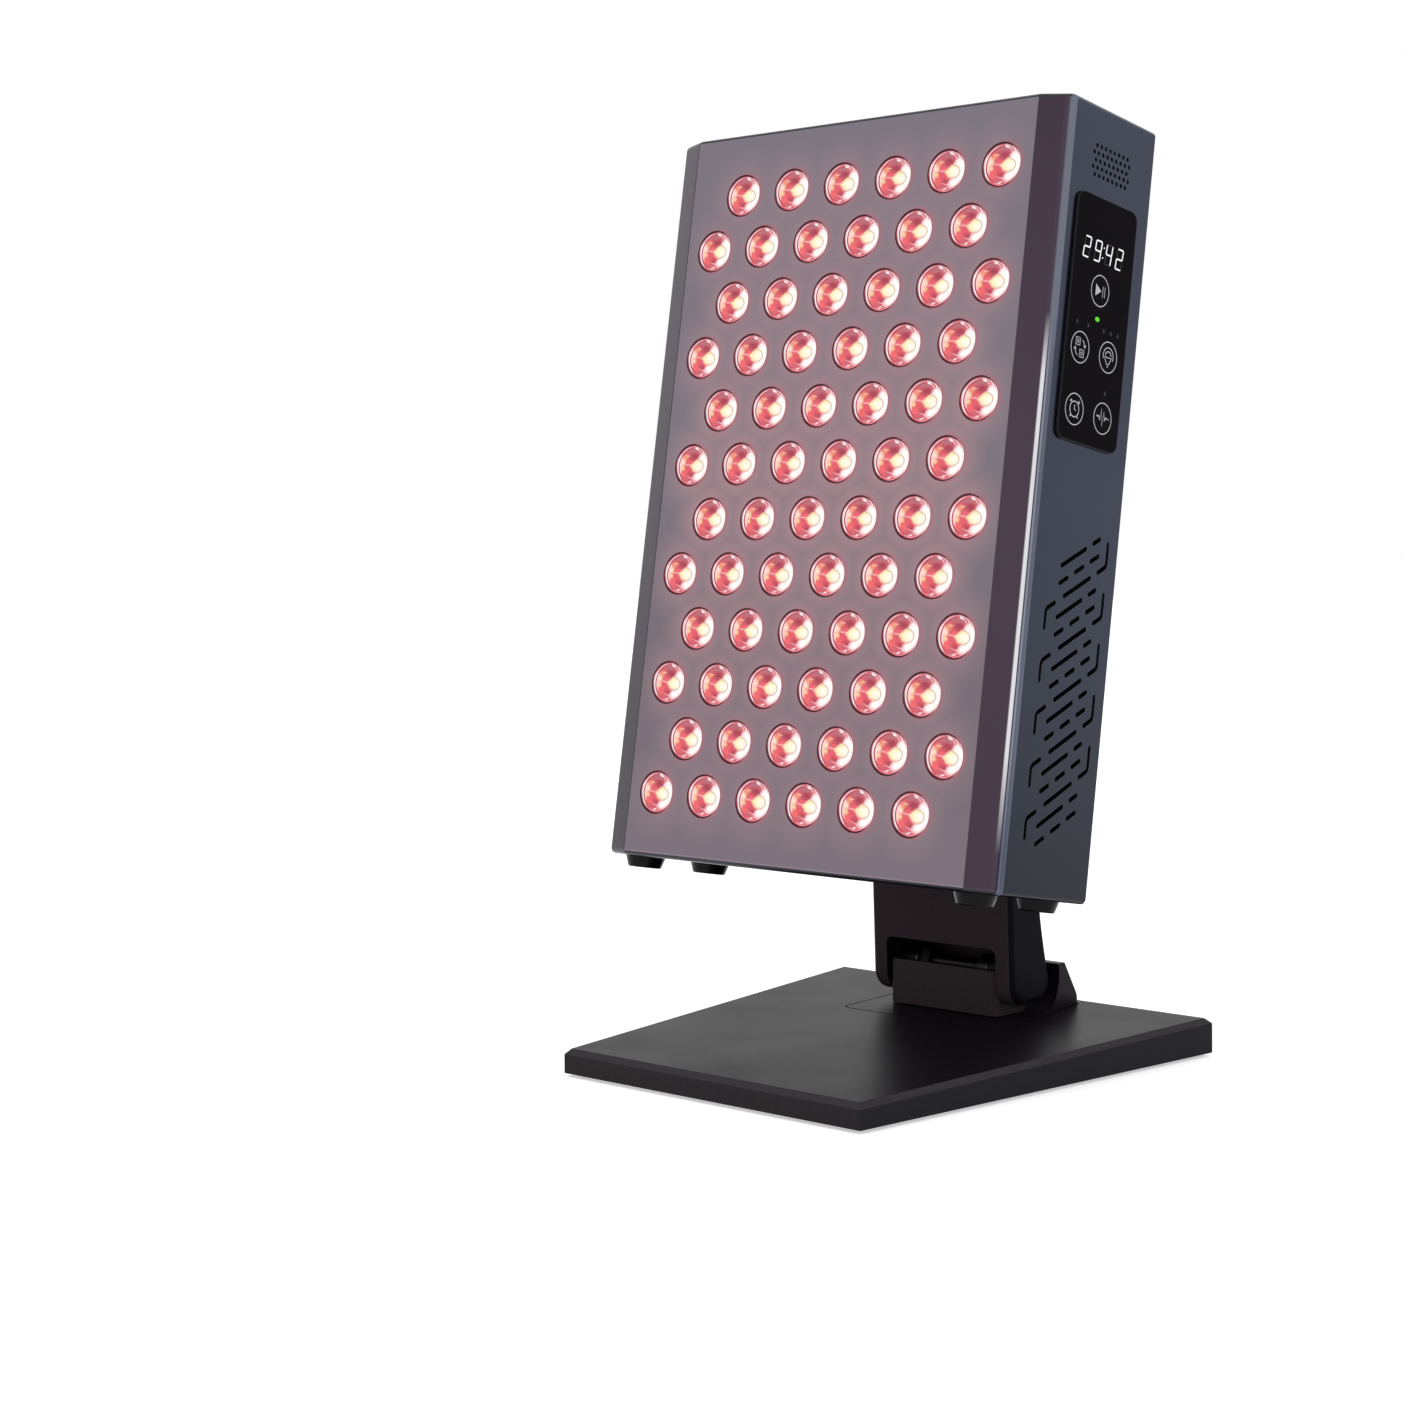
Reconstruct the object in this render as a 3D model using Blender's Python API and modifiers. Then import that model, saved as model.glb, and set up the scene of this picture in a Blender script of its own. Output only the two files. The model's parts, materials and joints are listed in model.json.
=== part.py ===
"""Red light therapy panel on a tilting desk stand, in metres, +Z up.

The origin is on the floor, under the middle of the base. The lamps face -Y.
Three frames carry the pieces: the base stands still, the arm turns on the
base hinge, and the lamp panel turns on the head hinge at the arm's top.
"""

import math

import bmesh
import bpy
from mathutils import Matrix, Vector

# Clearances
GAP = 0.0003
OVERRUN = 0.002
MERGE_DISTANCE = 0.00001

# Base: a wedge that is wider and thicker at the back
BASE_FRONT_WIDTH = 0.1726
BASE_BACK_WIDTH = 0.2229
BASE_DEPTH = 0.2317
BASE_FRONT_HEIGHT = 0.0127
BASE_BACK_HEIGHT = 0.0180
BASE_RIM_CHAMFER = 0.0025
BASE_WALL = 0.0025
PAD_THICKNESS = 0.0012
PAD_INSET = 0.0050
BALLAST_THICKNESS = 0.0070

# Base hinge: seat, cradle and cover
HINGE_BACK_OFFSET = 0.0690
HINGE_HEIGHT = 0.0370
SEAT_HALF_WIDTH = 0.0435
SEAT_FRONT_REACH = 0.0360
SEAT_BACK_REACH = 0.0383
SEAT_CORNER_ROUND = 0.0040
CRADLE_RADIUS = 0.0205
CRADLE_DROP = 0.0030
CRADLE_TOP_RISE = 0.0024
CRADLE_CREST_REACH = 0.0250
CRADLE_CREST_ROUND = 0.0030
COVER_HALF_WIDTH = 0.0320
COVER_FRONT_REACH = 0.0142
COVER_BACK_REACH = 0.0106
COVER_TOP_RISE = 0.0016
COVER_CORNER_ROUND = 0.0030
COVER_WALL = 0.0016

# Base hinge: steel bracket, shaft and friction stack
SHAFT_RADIUS = 0.0040
COLLAR_RADIUS = 0.0070
KNUCKLE_RADIUS = 0.0078
KNUCKLE_THICKNESS = 0.0070
KNUCKLE_SIDE_ROOM = 0.0012
BRACKET_FOOT_THICKNESS = 0.0030
DISC_SPRING_RADIUS = 0.0080
DISC_SPRING_THICKNESS = 0.0020
NUT_RADIUS = 0.0075
NUT_THICKNESS = 0.0050
BRACKET_SCREW_OFFSET = 0.0090
BRACKET_SCREW_RADIUS = 0.0025
BRACKET_SCREW_HEAD_RADIUS = 0.0045
BRACKET_SCREW_HEAD_HEIGHT = 0.0026

# Arm
ARM_REACH = 0.2145
ARM_LEAN = math.radians(3.45)
ARM_HALF_WIDTH = 0.0416
ARM_HEEL_FRONT = 0.0160
ARM_HEEL_BACK = 0.0158
ARM_HEEL_DROP = 0.0144
ARM_HEEL_ROUND = 0.0103
ARM_BACK = 0.0105
ARM_NECK_RISE = 0.0370
ARM_EDGE_ROUND = 0.0032
ARM_WALL = 0.0040
LOWER_EAR_THICKNESS = 0.0091
LOWER_NOTCH_RISE = 0.0134
LOWER_NOTCH_ROUND = 0.0035
EAR_CAP_RADIUS = 0.0065
EAR_CAP_THICKNESS = 0.0017
ARM_COVER_THICKNESS = 0.0020
ARM_COVER_LEDGE = 0.0030

# Head hinge at the arm's top
HEAD_NOTCH_HALF_WIDTH = 0.0200
HEAD_NOTCH_DEPTH = 0.0135
HEAD_KNUCKLE_RADIUS = 0.0090
HEAD_WASHER_RADIUS = 0.0080
HEAD_WASHER_THICKNESS = 0.0020
HEAD_STANDOFF = 0.0209
HEAD_BOLT_RADIUS = 0.0040
HEAD_BOLT_HEAD_RADIUS = 0.0065
HEAD_BOLT_HEAD_HEIGHT = 0.0042
BOLT_RECESS_DEPTH = 0.0058
HEAD_PLATE_WIDTH = 0.1000
HEAD_PLATE_HEIGHT = 0.0800
HEAD_PLATE_THICKNESS = 0.0030
HEAD_PLATE_ROUND = 0.0060
HEAD_SCREW_INSET = 0.0100
HEAD_SCREW_RADIUS = 0.0025
HEAD_SCREW_HEAD_RADIUS = 0.0045
HEAD_SCREW_HEAD_HEIGHT = 0.0028

# Panel housing: folded sheet with two chamfered long edges
PANEL_WIDTH = 0.2284
PANEL_HEIGHT = 0.3468
PANEL_DEPTH = 0.0701
PANEL_LEAN = math.radians(9.62)
CHAMFER_WIDTH = 0.0150
CHAMFER_DEPTH = 0.0058
SHEET = 0.0015
BEND_RADIUS = 0.0026

# Lens field: staggered rows at sixty degrees
LENS_PITCH = 0.0300
LENS_RADIUS = 0.0100
LENS_NECK_RADIUS = 0.0050
LENS_HEIGHT = 0.0120
LENS_RECESS = 0.0003
LENS_TOP_MARGIN = 0.0304
LENS_SIDE_MARGIN = 0.0166
ROW_PITCH_SHARE = math.sin(math.radians(60))
FIT_SHARE = 0.02

# Side vents: lines of slots that rise to the back, and bent slots at both ends
VENT_SLOT_WIDTH = 0.0015
VENT_ANGLE = math.radians(30)
VENT_LINE_PITCH = 0.0075
VENT_FRONT_MARGIN = 0.0199
VENT_BACK_MARGIN = 0.0078
VENT_FOOT = 0.0187
VENT_GROUPS = 6
VENT_FRONT_LEG = 0.0093
VENT_BACK_LEG = 0.0110
VENT_BEND = 0.0030
VENT_LONG_A_SHARES = (0.205, 0.604)
VENT_SINGLE_SHARES = (0.736, 0.840)
VENT_LONG_B_SHARES = (0.295, 0.722)
VENT_SHORT_SHARES = ((0.198, 0.321), (0.453, 0.583), (0.715, 0.840))
VENT_FRONT_END_SHARE = 0.163
VENT_BACK_END_SHARE = 0.859

# Speaker holes and touch glass on the right side wall
SPEAKER_BELOW_TOP = 0.0246
SPEAKER_SETBACK = 0.0379
SPEAKER_HOLE_RADIUS = 0.0009
SPEAKER_HOLE_PITCH = 0.00345
SPEAKER_ROW_PITCH = 0.00323
SPEAKER_ROWS = 5
SPEAKER_LONG_ROW = 9
SPEAKER_RADIUS = 0.0150
SPEAKER_MAGNET_RADIUS = 0.0085
SPEAKER_FRAME_DEPTH = 0.0040
SPEAKER_MAGNET_DEPTH = 0.0050
TOUCH_WIDTH = 0.0460
TOUCH_HEIGHT = 0.1090
TOUCH_THICKNESS = 0.0014
TOUCH_SETBACK = 0.0368
TOUCH_BELOW_TOP = 0.0950
TOUCH_CORNER_ROUND = 0.0048
TOUCH_WINDOW_INSET = 0.0030
DISPLAY_DEPTH = 0.0070
DISPLAY_BOARD_THICKNESS = 0.0016

# Inside the panel
BOARD_THICKNESS = 0.0020
BOARD_SIDE_MARGIN = 0.0147
BOARD_END_MARGIN = 0.0080
SPACER_RADIUS = 0.0030
HEATSINK_BASE = 0.0030
HEATSINK_FIN_HEIGHT = 0.0190
HEATSINK_FIN_THICKNESS = 0.0022
HEATSINK_FINS = 15
FAN_SIZE = 0.0800
FAN_DEPTH = 0.0200
FAN_BORE_RADIUS = 0.0375
FAN_CORNER_ROUND = 0.0050
FAN_SPACING = 0.1720
FAN_MOTOR_RADIUS = 0.0170
FAN_MOTOR_THICKNESS = 0.0030
FAN_STRUT_WIDTH = 0.0050
FAN_STRUTS = 4
FAN_BLADES = 5
FAN_BLADE_THICKNESS = 0.0012
FAN_BLADE_TIP_GAP = 0.0010
FAN_BLADE_RISE = 0.0110
FAN_BLADE_SWEEP = math.radians(44)
FAN_PIN_RADIUS = 0.0015
GRILLE_SLOTS = 9
GRILLE_SLOT_HEIGHT = 0.0040
BACKING_THICKNESS = 0.0030
SUPPLY_SIDE_ROOM = 0.0030
SUPPLY_HEIGHT = 0.1050
SUPPLY_DEPTH = 0.0260
SUPPLY_EDGE_ROUND = 0.0015
CONTROL_STANDOFF = 0.0060
CONTROL_STANDOFF_RADIUS = 0.0030
CONTROL_PART_HEIGHT = 0.0120
CONTROL_PART_RADIUS = 0.0060

# Rear cover fittings
INLET_WIDTH = 0.0270
INLET_HEIGHT = 0.0200
INLET_DEPTH = 0.0200
INLET_FLANGE = 0.0030
INLET_FLANGE_THICKNESS = 0.0022
INLET_WALL = 0.0015
INLET_FLOOR = 0.0030
INLET_PIN_WIDTH = 0.0020
INLET_PIN_HEIGHT = 0.0040
INLET_PIN_LENGTH = 0.0100
INLET_PIN_PITCH = 0.0070
INLET_PIN_OFFSET = 0.0020
FITTING_SIDE_INSET = 0.0362
FITTING_RISE = 0.0240
SWITCH_WIDTH = 0.0130
SWITCH_HEIGHT = 0.0190
SWITCH_DEPTH = 0.0150
SWITCH_WALL = 0.0012
SWITCH_FLANGE = 0.0018
SWITCH_FLANGE_THICKNESS = 0.0015
ROCKER_TILT = math.radians(8)
ROCKER_THICKNESS = 0.0045
ROCKER_PROUD = 0.0012
ROCKER_PIN_RADIUS = 0.0012

# Rubber feet under the panel
FOOT_TOP_RADIUS = 0.0095
FOOT_BOTTOM_RADIUS = 0.0078
FOOT_HEIGHT = 0.0050
FOOT_STEM_RADIUS = 0.0022
FOOT_STEM_LENGTH = 0.0040
FOOT_SIDE_INSET = 0.0175
FOOT_FRONT_SETBACK = 0.0129
FOOT_BACK_SETBACK = 0.0590

# Facets round a full turn
LENS_SIDES = 9
HOLE_SIDES = 5
SLOT_END_STEPS = 1
SMALL_SIDES = 8
BORE_SIDES = 10
ROUND_SIDES = 16
FOOT_SIDES = 12
WIDE_SIDES = 20

# Places worked out from the sizes above
BASE_BOTTOM = PAD_THICKNESS + GAP
BALLAST_TOP = BASE_BOTTOM + BALLAST_THICKNESS
SEAT_FRONT = HINGE_BACK_OFFSET - SEAT_FRONT_REACH
SEAT_BACK = HINGE_BACK_OFFSET + SEAT_BACK_REACH
LOWER_EAR_INNER = ARM_HALF_WIDTH - LOWER_EAR_THICKNESS
KNUCKLE_OUTER = COVER_HALF_WIDTH - COVER_WALL - KNUCKLE_SIDE_ROOM
KNUCKLE_INNER = KNUCKLE_OUTER - KNUCKLE_THICKNESS
STACK_INNER = KNUCKLE_INNER - GAP - DISC_SPRING_THICKNESS - GAP
SHAFT_END = ARM_HALF_WIDTH - EAR_CAP_THICKNESS - GAP
PANEL_HALF = PANEL_WIDTH / 2
FLAT_HALF = PANEL_HALF - CHAMFER_WIDTH
HEAD_SETBACK = PANEL_DEPTH + HEAD_STANDOFF
HEAD_RISE = PANEL_HEIGHT / 2
COVER_FRONT = PANEL_DEPTH - SHEET
BOARD_FRONT = LENS_RECESS + LENS_HEIGHT
BOARD_BACK = BOARD_FRONT + BOARD_THICKNESS
INNER_HALF = PANEL_HALF - SHEET
BOARD_HALF_WIDTH = INNER_HALF - BOARD_SIDE_MARGIN
SUPPLY_WIDTH = INNER_HALF - HEAD_PLATE_WIDTH / 2 - 2 * SUPPLY_SIDE_ROOM
FITTING_OFFSET = PANEL_HALF - FITTING_SIDE_INSET
FOOT_OFFSET = PANEL_HALF - FOOT_SIDE_INSET
TOUCH_RISE = PANEL_HEIGHT - TOUCH_BELOW_TOP
SPEAKER_RISE = PANEL_HEIGHT - SPEAKER_BELOW_TOP
REAR_SEAT = COVER_FRONT - GAP

# Planes that an outline can lie in: its u and v run along the named axes
SIDE_PLANE = Matrix(((0, 0, 1), (1, 0, 0), (0, 1, 0))).to_4x4()
FRONT_PLANE = Matrix(((1, 0, 0), (0, 0, -1), (0, 1, 0))).to_4x4()
FLOOR_PLANE = Matrix.Identity(4)


for old in list(bpy.data.objects):
    bpy.data.objects.remove(old, do_unlink=True)


def new_collection(name):
    """Collection of that name, linked to the scene."""
    group = bpy.data.collections.new(name)
    bpy.context.scene.collection.children.link(group)
    return group


PARTS = new_collection("red_light_therapy_panel")
CUTTERS = new_collection("cutters")
FRAMES = new_collection("frames")


def finish(name, colour, roughness, metallic):
    """Principled material."""
    material = bpy.data.materials.new(name)
    material.use_nodes = True
    shader = material.node_tree.nodes["Principled BSDF"]
    shader.inputs["Base Color"].default_value = (*colour, 1.0)
    shader.inputs["Roughness"].default_value = roughness
    shader.inputs["Metallic"].default_value = metallic
    return material


def frame(name, parent, place, turn=0.0):
    """Empty that carries pieces, turned about X."""
    empty = bpy.data.objects.new(name, None)
    FRAMES.objects.link(empty)
    empty.parent = parent
    empty.location = place
    empty.rotation_euler.x = turn
    return empty


ARM_PIVOT = frame("arm_pivot", None, (0, HINGE_BACK_OFFSET, HINGE_HEIGHT), ARM_LEAN)
HEAD_PIVOT = frame("head_pivot", ARM_PIVOT, (0, 0, ARM_REACH), -PANEL_LEAN - ARM_LEAN)
PANEL = frame("panel_frame", HEAD_PIVOT, (0, -HEAD_SETBACK, -HEAD_RISE))


def make(name, bm, parent, group=PARTS):
    """Object from a bmesh, with its faces pointing out."""
    bmesh.ops.remove_doubles(bm, verts=bm.verts, dist=MERGE_DISTANCE)
    bmesh.ops.recalc_face_normals(bm, faces=bm.faces)
    mesh = bpy.data.meshes.new(name)
    bm.to_mesh(mesh)
    bm.free()
    ob = bpy.data.objects.new(name, mesh)
    group.objects.link(ob)
    ob.parent = parent
    return ob


def as_cutter(ob):
    """Keep a cutting solid out of the finished part."""
    for group in list(ob.users_collection):
        group.objects.unlink(ob)
    CUTTERS.objects.link(ob)
    ob.hide_render = True
    ob.display_type = "WIRE"
    return ob


def paint(ob, colour, roughness, metallic=0.0):
    """Give a piece its own material."""
    ob.data.materials.append(finish(ob.name, colour, roughness, metallic))
    return ob


def smooth(ob, angle=30):
    """Smooth shading between the sharp edges of a round piece."""
    ob.data.shade_smooth()
    ob.data.set_sharp_from_angle(angle=math.radians(angle))
    return ob


def boolean(ob, tool, operation):
    """Exact Boolean with a cutting solid."""
    modifier = ob.modifiers.new(tool.name, "BOOLEAN")
    modifier.operation = operation
    modifier.solver = "EXACT"
    modifier.object = as_cutter(tool)
    return ob


def cut(ob, *tools):
    """Take each tool away from a piece."""
    for tool in tools:
        boolean(ob, tool, "DIFFERENCE")
    return ob


def fuse(ob, *tools):
    """Join each tool to a piece."""
    for tool in tools:
        boolean(ob, tool, "UNION")
    return ob


def bevel(ob, width, segments, angle):
    """Round the edges that are sharper than an angle in degrees."""
    modifier = ob.modifiers.new("edge_round", "BEVEL")
    modifier.width = width
    modifier.segments = segments
    modifier.limit_method = "ANGLE"
    modifier.angle_limit = math.radians(angle)
    return ob


def add_box(bm, low, high):
    """Box between two corners."""
    low, high = Vector(low), Vector(high)
    corners = bmesh.ops.create_cube(bm, size=1.0)["verts"]
    bmesh.ops.scale(bm, vec=high - low, verts=corners)
    bmesh.ops.translate(bm, vec=(low + high) / 2, verts=corners)
    return corners


def add_rod(bm, radius, start, end, sides, end_radius=None):
    """Cylinder or cone between two points."""
    start, end = Vector(start), Vector(end)
    along = end - start
    turn = along.to_track_quat("Z", "Y").to_matrix().to_4x4()
    place = Matrix.Translation((start + end) / 2) @ turn
    bmesh.ops.create_cone(
        bm, cap_ends=True, segments=sides, radius1=radius,
        radius2=radius if end_radius is None else end_radius,
        depth=along.length, matrix=place)


def box(name, low, high, parent=None):
    """Box object between two corners."""
    bm = bmesh.new()
    add_box(bm, low, high)
    return make(name, bm, parent)


def rod(name, radius, start, end, sides, parent=None, end_radius=None):
    """Cylinder or cone object between two points."""
    bm = bmesh.new()
    add_rod(bm, radius, start, end, sides, end_radius)
    return smooth(make(name, bm, parent))


def arc(centre, radius, start, end, steps):
    """Points on an arc, with its angles in degrees."""
    points = []
    for step in range(steps + 1):
        angle = math.radians(start + (end - start) * step / steps)
        points.append((centre[0] + radius * math.cos(angle),
                       centre[1] + radius * math.sin(angle)))
    return points


def clear_of(radius, sides):
    """Corner radius of a hole whose flats clear a round piece of that radius."""
    return (radius + GAP) / math.cos(math.pi / sides)


def ring(centre, radius, sides):
    """Points of a circle."""
    return arc(centre, radius, 0, 360, sides)[:-1]


def rounded_rectangle(left, right, bottom, top, radius, steps=3):
    """Points of a rectangle with round corners."""
    return (arc((left + radius, bottom + radius), radius, 180, 270, steps)
            + arc((right - radius, bottom + radius), radius, 270, 360, steps)
            + arc((right - radius, top - radius), radius, 0, 90, steps)
            + arc((left + radius, top - radius), radius, 90, 180, steps))


def extruded(name, outlines, start, end, plane, parent=None):
    """Solid from flat outlines, run along the plane's normal from start to end."""
    curve = bpy.data.curves.new(name, "CURVE")
    curve.dimensions = "2D"
    curve.fill_mode = "BOTH"
    curve.extrude = (end - start) / 2
    for outline in outlines:
        spline = curve.splines.new("POLY")
        spline.points.add(len(outline) - 1)
        for point, (u, v) in zip(spline.points, outline):
            point.co = (u, v, 0, 1)
        spline.use_cyclic_u = True
    flat = bpy.data.objects.new(name, curve)
    bpy.context.scene.collection.objects.link(flat)
    graph = bpy.context.evaluated_depsgraph_get()
    mesh = bpy.data.meshes.new_from_object(flat.evaluated_get(graph))
    bpy.data.objects.remove(flat)
    bpy.data.curves.remove(curve)
    bm = bmesh.new()
    bm.from_mesh(mesh)
    bpy.data.meshes.remove(mesh)
    bm.transform(plane @ Matrix.Translation((0, 0, (start + end) / 2)))
    return make(name, bm, parent)


def turned(name, profile, sides, parent=None):
    """Solid of revolution about Z from a profile of radius and height, top first."""
    bm = bmesh.new()
    points = [bm.verts.new((radius, 0, height)) for radius, height in profile]
    for upper, lower in zip(points, points[1:]):
        bm.edges.new((upper, lower))
    mesh = bpy.data.meshes.new(name)
    bm.to_mesh(mesh)
    bm.free()
    ob = bpy.data.objects.new(name, mesh)
    PARTS.objects.link(ob)
    ob.parent = parent
    screw = ob.modifiers.new("turn", "SCREW")
    screw.steps = sides
    screw.render_steps = sides
    screw.use_merge_vertices = True
    screw.merge_threshold = MERGE_DISTANCE
    graph = bpy.context.evaluated_depsgraph_get()
    ob.data = bpy.data.meshes.new_from_object(ob.evaluated_get(graph))
    ob.modifiers.clear()
    bpy.data.meshes.remove(mesh)
    return smooth(ob)


def base_top(y):
    """Height of the base's sloping top at a distance from its middle."""
    share = y / BASE_DEPTH + 1 / 2
    return BASE_FRONT_HEIGHT + (BASE_BACK_HEIGHT - BASE_FRONT_HEIGHT) * share


def base_half_width(y):
    """Half the width of the base at a distance from its middle."""
    share = y / BASE_DEPTH + 1 / 2
    return (BASE_FRONT_WIDTH + (BASE_BACK_WIDTH - BASE_FRONT_WIDTH) * share) / 2


def base_block(name, inset, low, top_drop):
    """Tapered block that follows the base's outline and its sloping top."""
    half = BASE_DEPTH / 2 - inset
    bm = bmesh.new()
    for corner in bmesh.ops.create_cube(bm, size=1.0)["verts"]:
        y = math.copysign(half, corner.co.y)
        x = math.copysign(base_half_width(y) - inset, corner.co.x)
        z = low if corner.co.z < 0 else base_top(y) - top_drop
        corner.co = (x, y, z)
    return make(name, bm, None)


def base_slab(name, inset, low, high):
    """Flat slab that follows the base's outline."""
    half = BASE_DEPTH / 2 - inset
    front, back = base_half_width(-half) - inset, base_half_width(half) - inset
    outline = [(-front, -half), (front, -half), (back, half), (-back, half)]
    return extruded(name, [outline], low, high, FLOOR_PLANE)


def seat_outline(grow):
    """Plan of the hinge seat, with round front corners."""
    half = SEAT_HALF_WIDTH + grow
    return rounded_rectangle(-half, half, SEAT_FRONT - grow, SEAT_BACK + grow,
                             SEAT_CORNER_ROUND + grow)


def base_shell():
    """Moulded base cover, open below, with a window for the hinge seat."""
    ob = base_block("base_shell", 0, BASE_BOTTOM, 0)
    bm = bmesh.new()
    bm.from_mesh(ob.data)
    rim = [edge for edge in bm.edges if min(v.co.z for v in edge.verts) > BASE_BOTTOM + GAP]
    bmesh.ops.bevel(bm, geom=rim, offset=BASE_RIM_CHAMFER, segments=1, affect="EDGES")
    bm.to_mesh(ob.data)
    bm.free()
    hollow = base_block("base_hollow", BASE_WALL, BASE_BOTTOM - OVERRUN, BASE_WALL)
    window = extruded("seat_window", [seat_outline(GAP)], BASE_BOTTOM,
                      BASE_BACK_HEIGHT + OVERRUN, FLOOR_PLANE)
    cut(ob, hollow, window)
    return paint(ob, (0.022, 0.021, 0.023), 0.42)


def ballast_plate():
    """Steel plate that fills the base and weighs the stand down."""
    ob = base_slab("ballast_plate", BASE_WALL + GAP, BASE_BOTTOM, BALLAST_TOP)
    cut(ob, bracket_screw_holes("ballast_holes"))
    return paint(ob, (0.30, 0.31, 0.33), 0.45, 1.0)


def base_pad():
    """Rubber sheet under the base."""
    return paint(base_slab("base_pad", PAD_INSET, 0, PAD_THICKNESS), (0.012, 0.012, 0.013), 0.85)


def seat_profile():
    """Side view of the hinge seat: flat plate in front, cradle block behind."""
    bottom = BALLAST_TOP + GAP
    centre = (HINGE_BACK_OFFSET, HINGE_HEIGHT - CRADLE_DROP)
    top = HINGE_HEIGHT + CRADLE_TOP_RISE
    crest = HINGE_BACK_OFFSET + CRADLE_CREST_REACH
    floor = base_top(centre[0] + CRADLE_RADIUS / 2)
    low_angle = math.degrees(math.asin((floor - centre[1]) / CRADLE_RADIUS))
    high_angle = math.degrees(math.asin((top - centre[1]) / CRADLE_RADIUS))
    hollow = arc(centre, CRADLE_RADIUS, low_angle, high_angle, 6)
    crest_round = arc((crest - CRADLE_CREST_ROUND, top - CRADLE_CREST_ROUND),
                      CRADLE_CREST_ROUND, 90, 30, 3)
    return ([(SEAT_FRONT, bottom), (SEAT_FRONT, base_top(SEAT_FRONT))] + hollow
            + crest_round + [(SEAT_BACK, base_top(SEAT_BACK)), (SEAT_BACK, bottom)])


def hinge_seat():
    """Insert in the base's top that carries the hinge, with the cradle behind it."""
    ob = extruded("hinge_seat", [seat_profile()], -SEAT_HALF_WIDTH - OVERRUN,
                  SEAT_HALF_WIDTH + OVERRUN, SIDE_PLANE)
    plan = extruded("seat_plan", [seat_outline(0)], 0, HINGE_HEIGHT + CRADLE_RADIUS, FLOOR_PLANE)
    boolean(ob, plan, "INTERSECT")
    cut(ob, bracket_screw_holes("seat_holes"))
    return paint(ob, (0.020, 0.019, 0.021), 0.42)


def cover_outline(inset):
    """Plan of the hinge cover."""
    half = COVER_HALF_WIDTH - inset
    return rounded_rectangle(-half, half, HINGE_BACK_OFFSET - COVER_FRONT_REACH + inset,
                             HINGE_BACK_OFFSET + COVER_BACK_REACH - inset,
                             COVER_CORNER_ROUND - inset)


def hinge_cover():
    """Open box round the hinge bracket, notched for the shaft."""
    top = HINGE_HEIGHT + COVER_TOP_RISE
    ob = extruded("hinge_cover", [cover_outline(0)], BALLAST_TOP, top, FLOOR_PLANE)
    hollow = extruded("cover_hollow", [cover_outline(COVER_WALL)], BALLAST_TOP - OVERRUN,
                      top + OVERRUN, FLOOR_PLANE)
    ground = base_block("cover_ground", -OVERRUN, 0, -GAP)
    radius = clear_of(SHAFT_RADIUS, ROUND_SIDES)
    notch_outline = (arc((HINGE_BACK_OFFSET, HINGE_HEIGHT), radius, 180, 360, ROUND_SIDES // 2)
                     + [(HINGE_BACK_OFFSET + radius, top + OVERRUN),
                        (HINGE_BACK_OFFSET - radius, top + OVERRUN)])
    notch = extruded("cover_notch", [notch_outline], -COVER_HALF_WIDTH - OVERRUN,
                     COVER_HALF_WIDTH + OVERRUN, SIDE_PLANE)
    cut(ob, hollow, ground, notch)
    return paint(ob, (0.021, 0.019, 0.020), 0.40)


def bracket_foot_bottom():
    """Underside of the bracket's foot, on the seat's highest point below it."""
    return base_top(HINGE_BACK_OFFSET + KNUCKLE_RADIUS) + GAP


def base_bracket():
    """Steel bracket: a foot with two round-topped ears that hold the shaft."""
    low = bracket_foot_bottom()
    centre = (HINGE_BACK_OFFSET, HINGE_HEIGHT)
    ear = (arc(centre, KNUCKLE_RADIUS, 0, 180, 8)
           + [(centre[0] - KNUCKLE_RADIUS, low), (centre[0] + KNUCKLE_RADIUS, low)])
    ob = extruded("base_bracket", [ear], -KNUCKLE_OUTER, KNUCKLE_OUTER, SIDE_PLANE)
    throat = box("bracket_throat",
                 (-KNUCKLE_INNER, centre[0] - KNUCKLE_RADIUS - OVERRUN, low + BRACKET_FOOT_THICKNESS),
                 (KNUCKLE_INNER, centre[0] + KNUCKLE_RADIUS + OVERRUN,
                  HINGE_HEIGHT + KNUCKLE_RADIUS + OVERRUN))
    bore = hinge_rod("bracket_bore", clear_of(SHAFT_RADIUS, BORE_SIDES), -COVER_HALF_WIDTH,
                     COVER_HALF_WIDTH, BORE_SIDES)
    cut(ob, throat, bore, bracket_screw_holes("bracket_holes"))
    return paint(smooth(ob), (0.62, 0.62, 0.63), 0.25, 1.0)


def hinge_rod(name, radius, left, right, sides):
    """Cylinder on the base hinge's axis, in the base's own frame."""
    return rod(name, radius, (left, HINGE_BACK_OFFSET, HINGE_HEIGHT),
               (right, HINGE_BACK_OFFSET, HINGE_HEIGHT), sides)


def bracket_screw_holes(name):
    """Two clearance holes for the bracket's screws."""
    bm = bmesh.new()
    radius = clear_of(BRACKET_SCREW_RADIUS, SMALL_SIDES)
    for side in (-1, 1):
        x = side * BRACKET_SCREW_OFFSET
        add_rod(bm, radius, (x, HINGE_BACK_OFFSET, BASE_BOTTOM + GAP),
                (x, HINGE_BACK_OFFSET, HINGE_HEIGHT - SHAFT_RADIUS), SMALL_SIDES)
    return make(name, bm, None)


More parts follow.
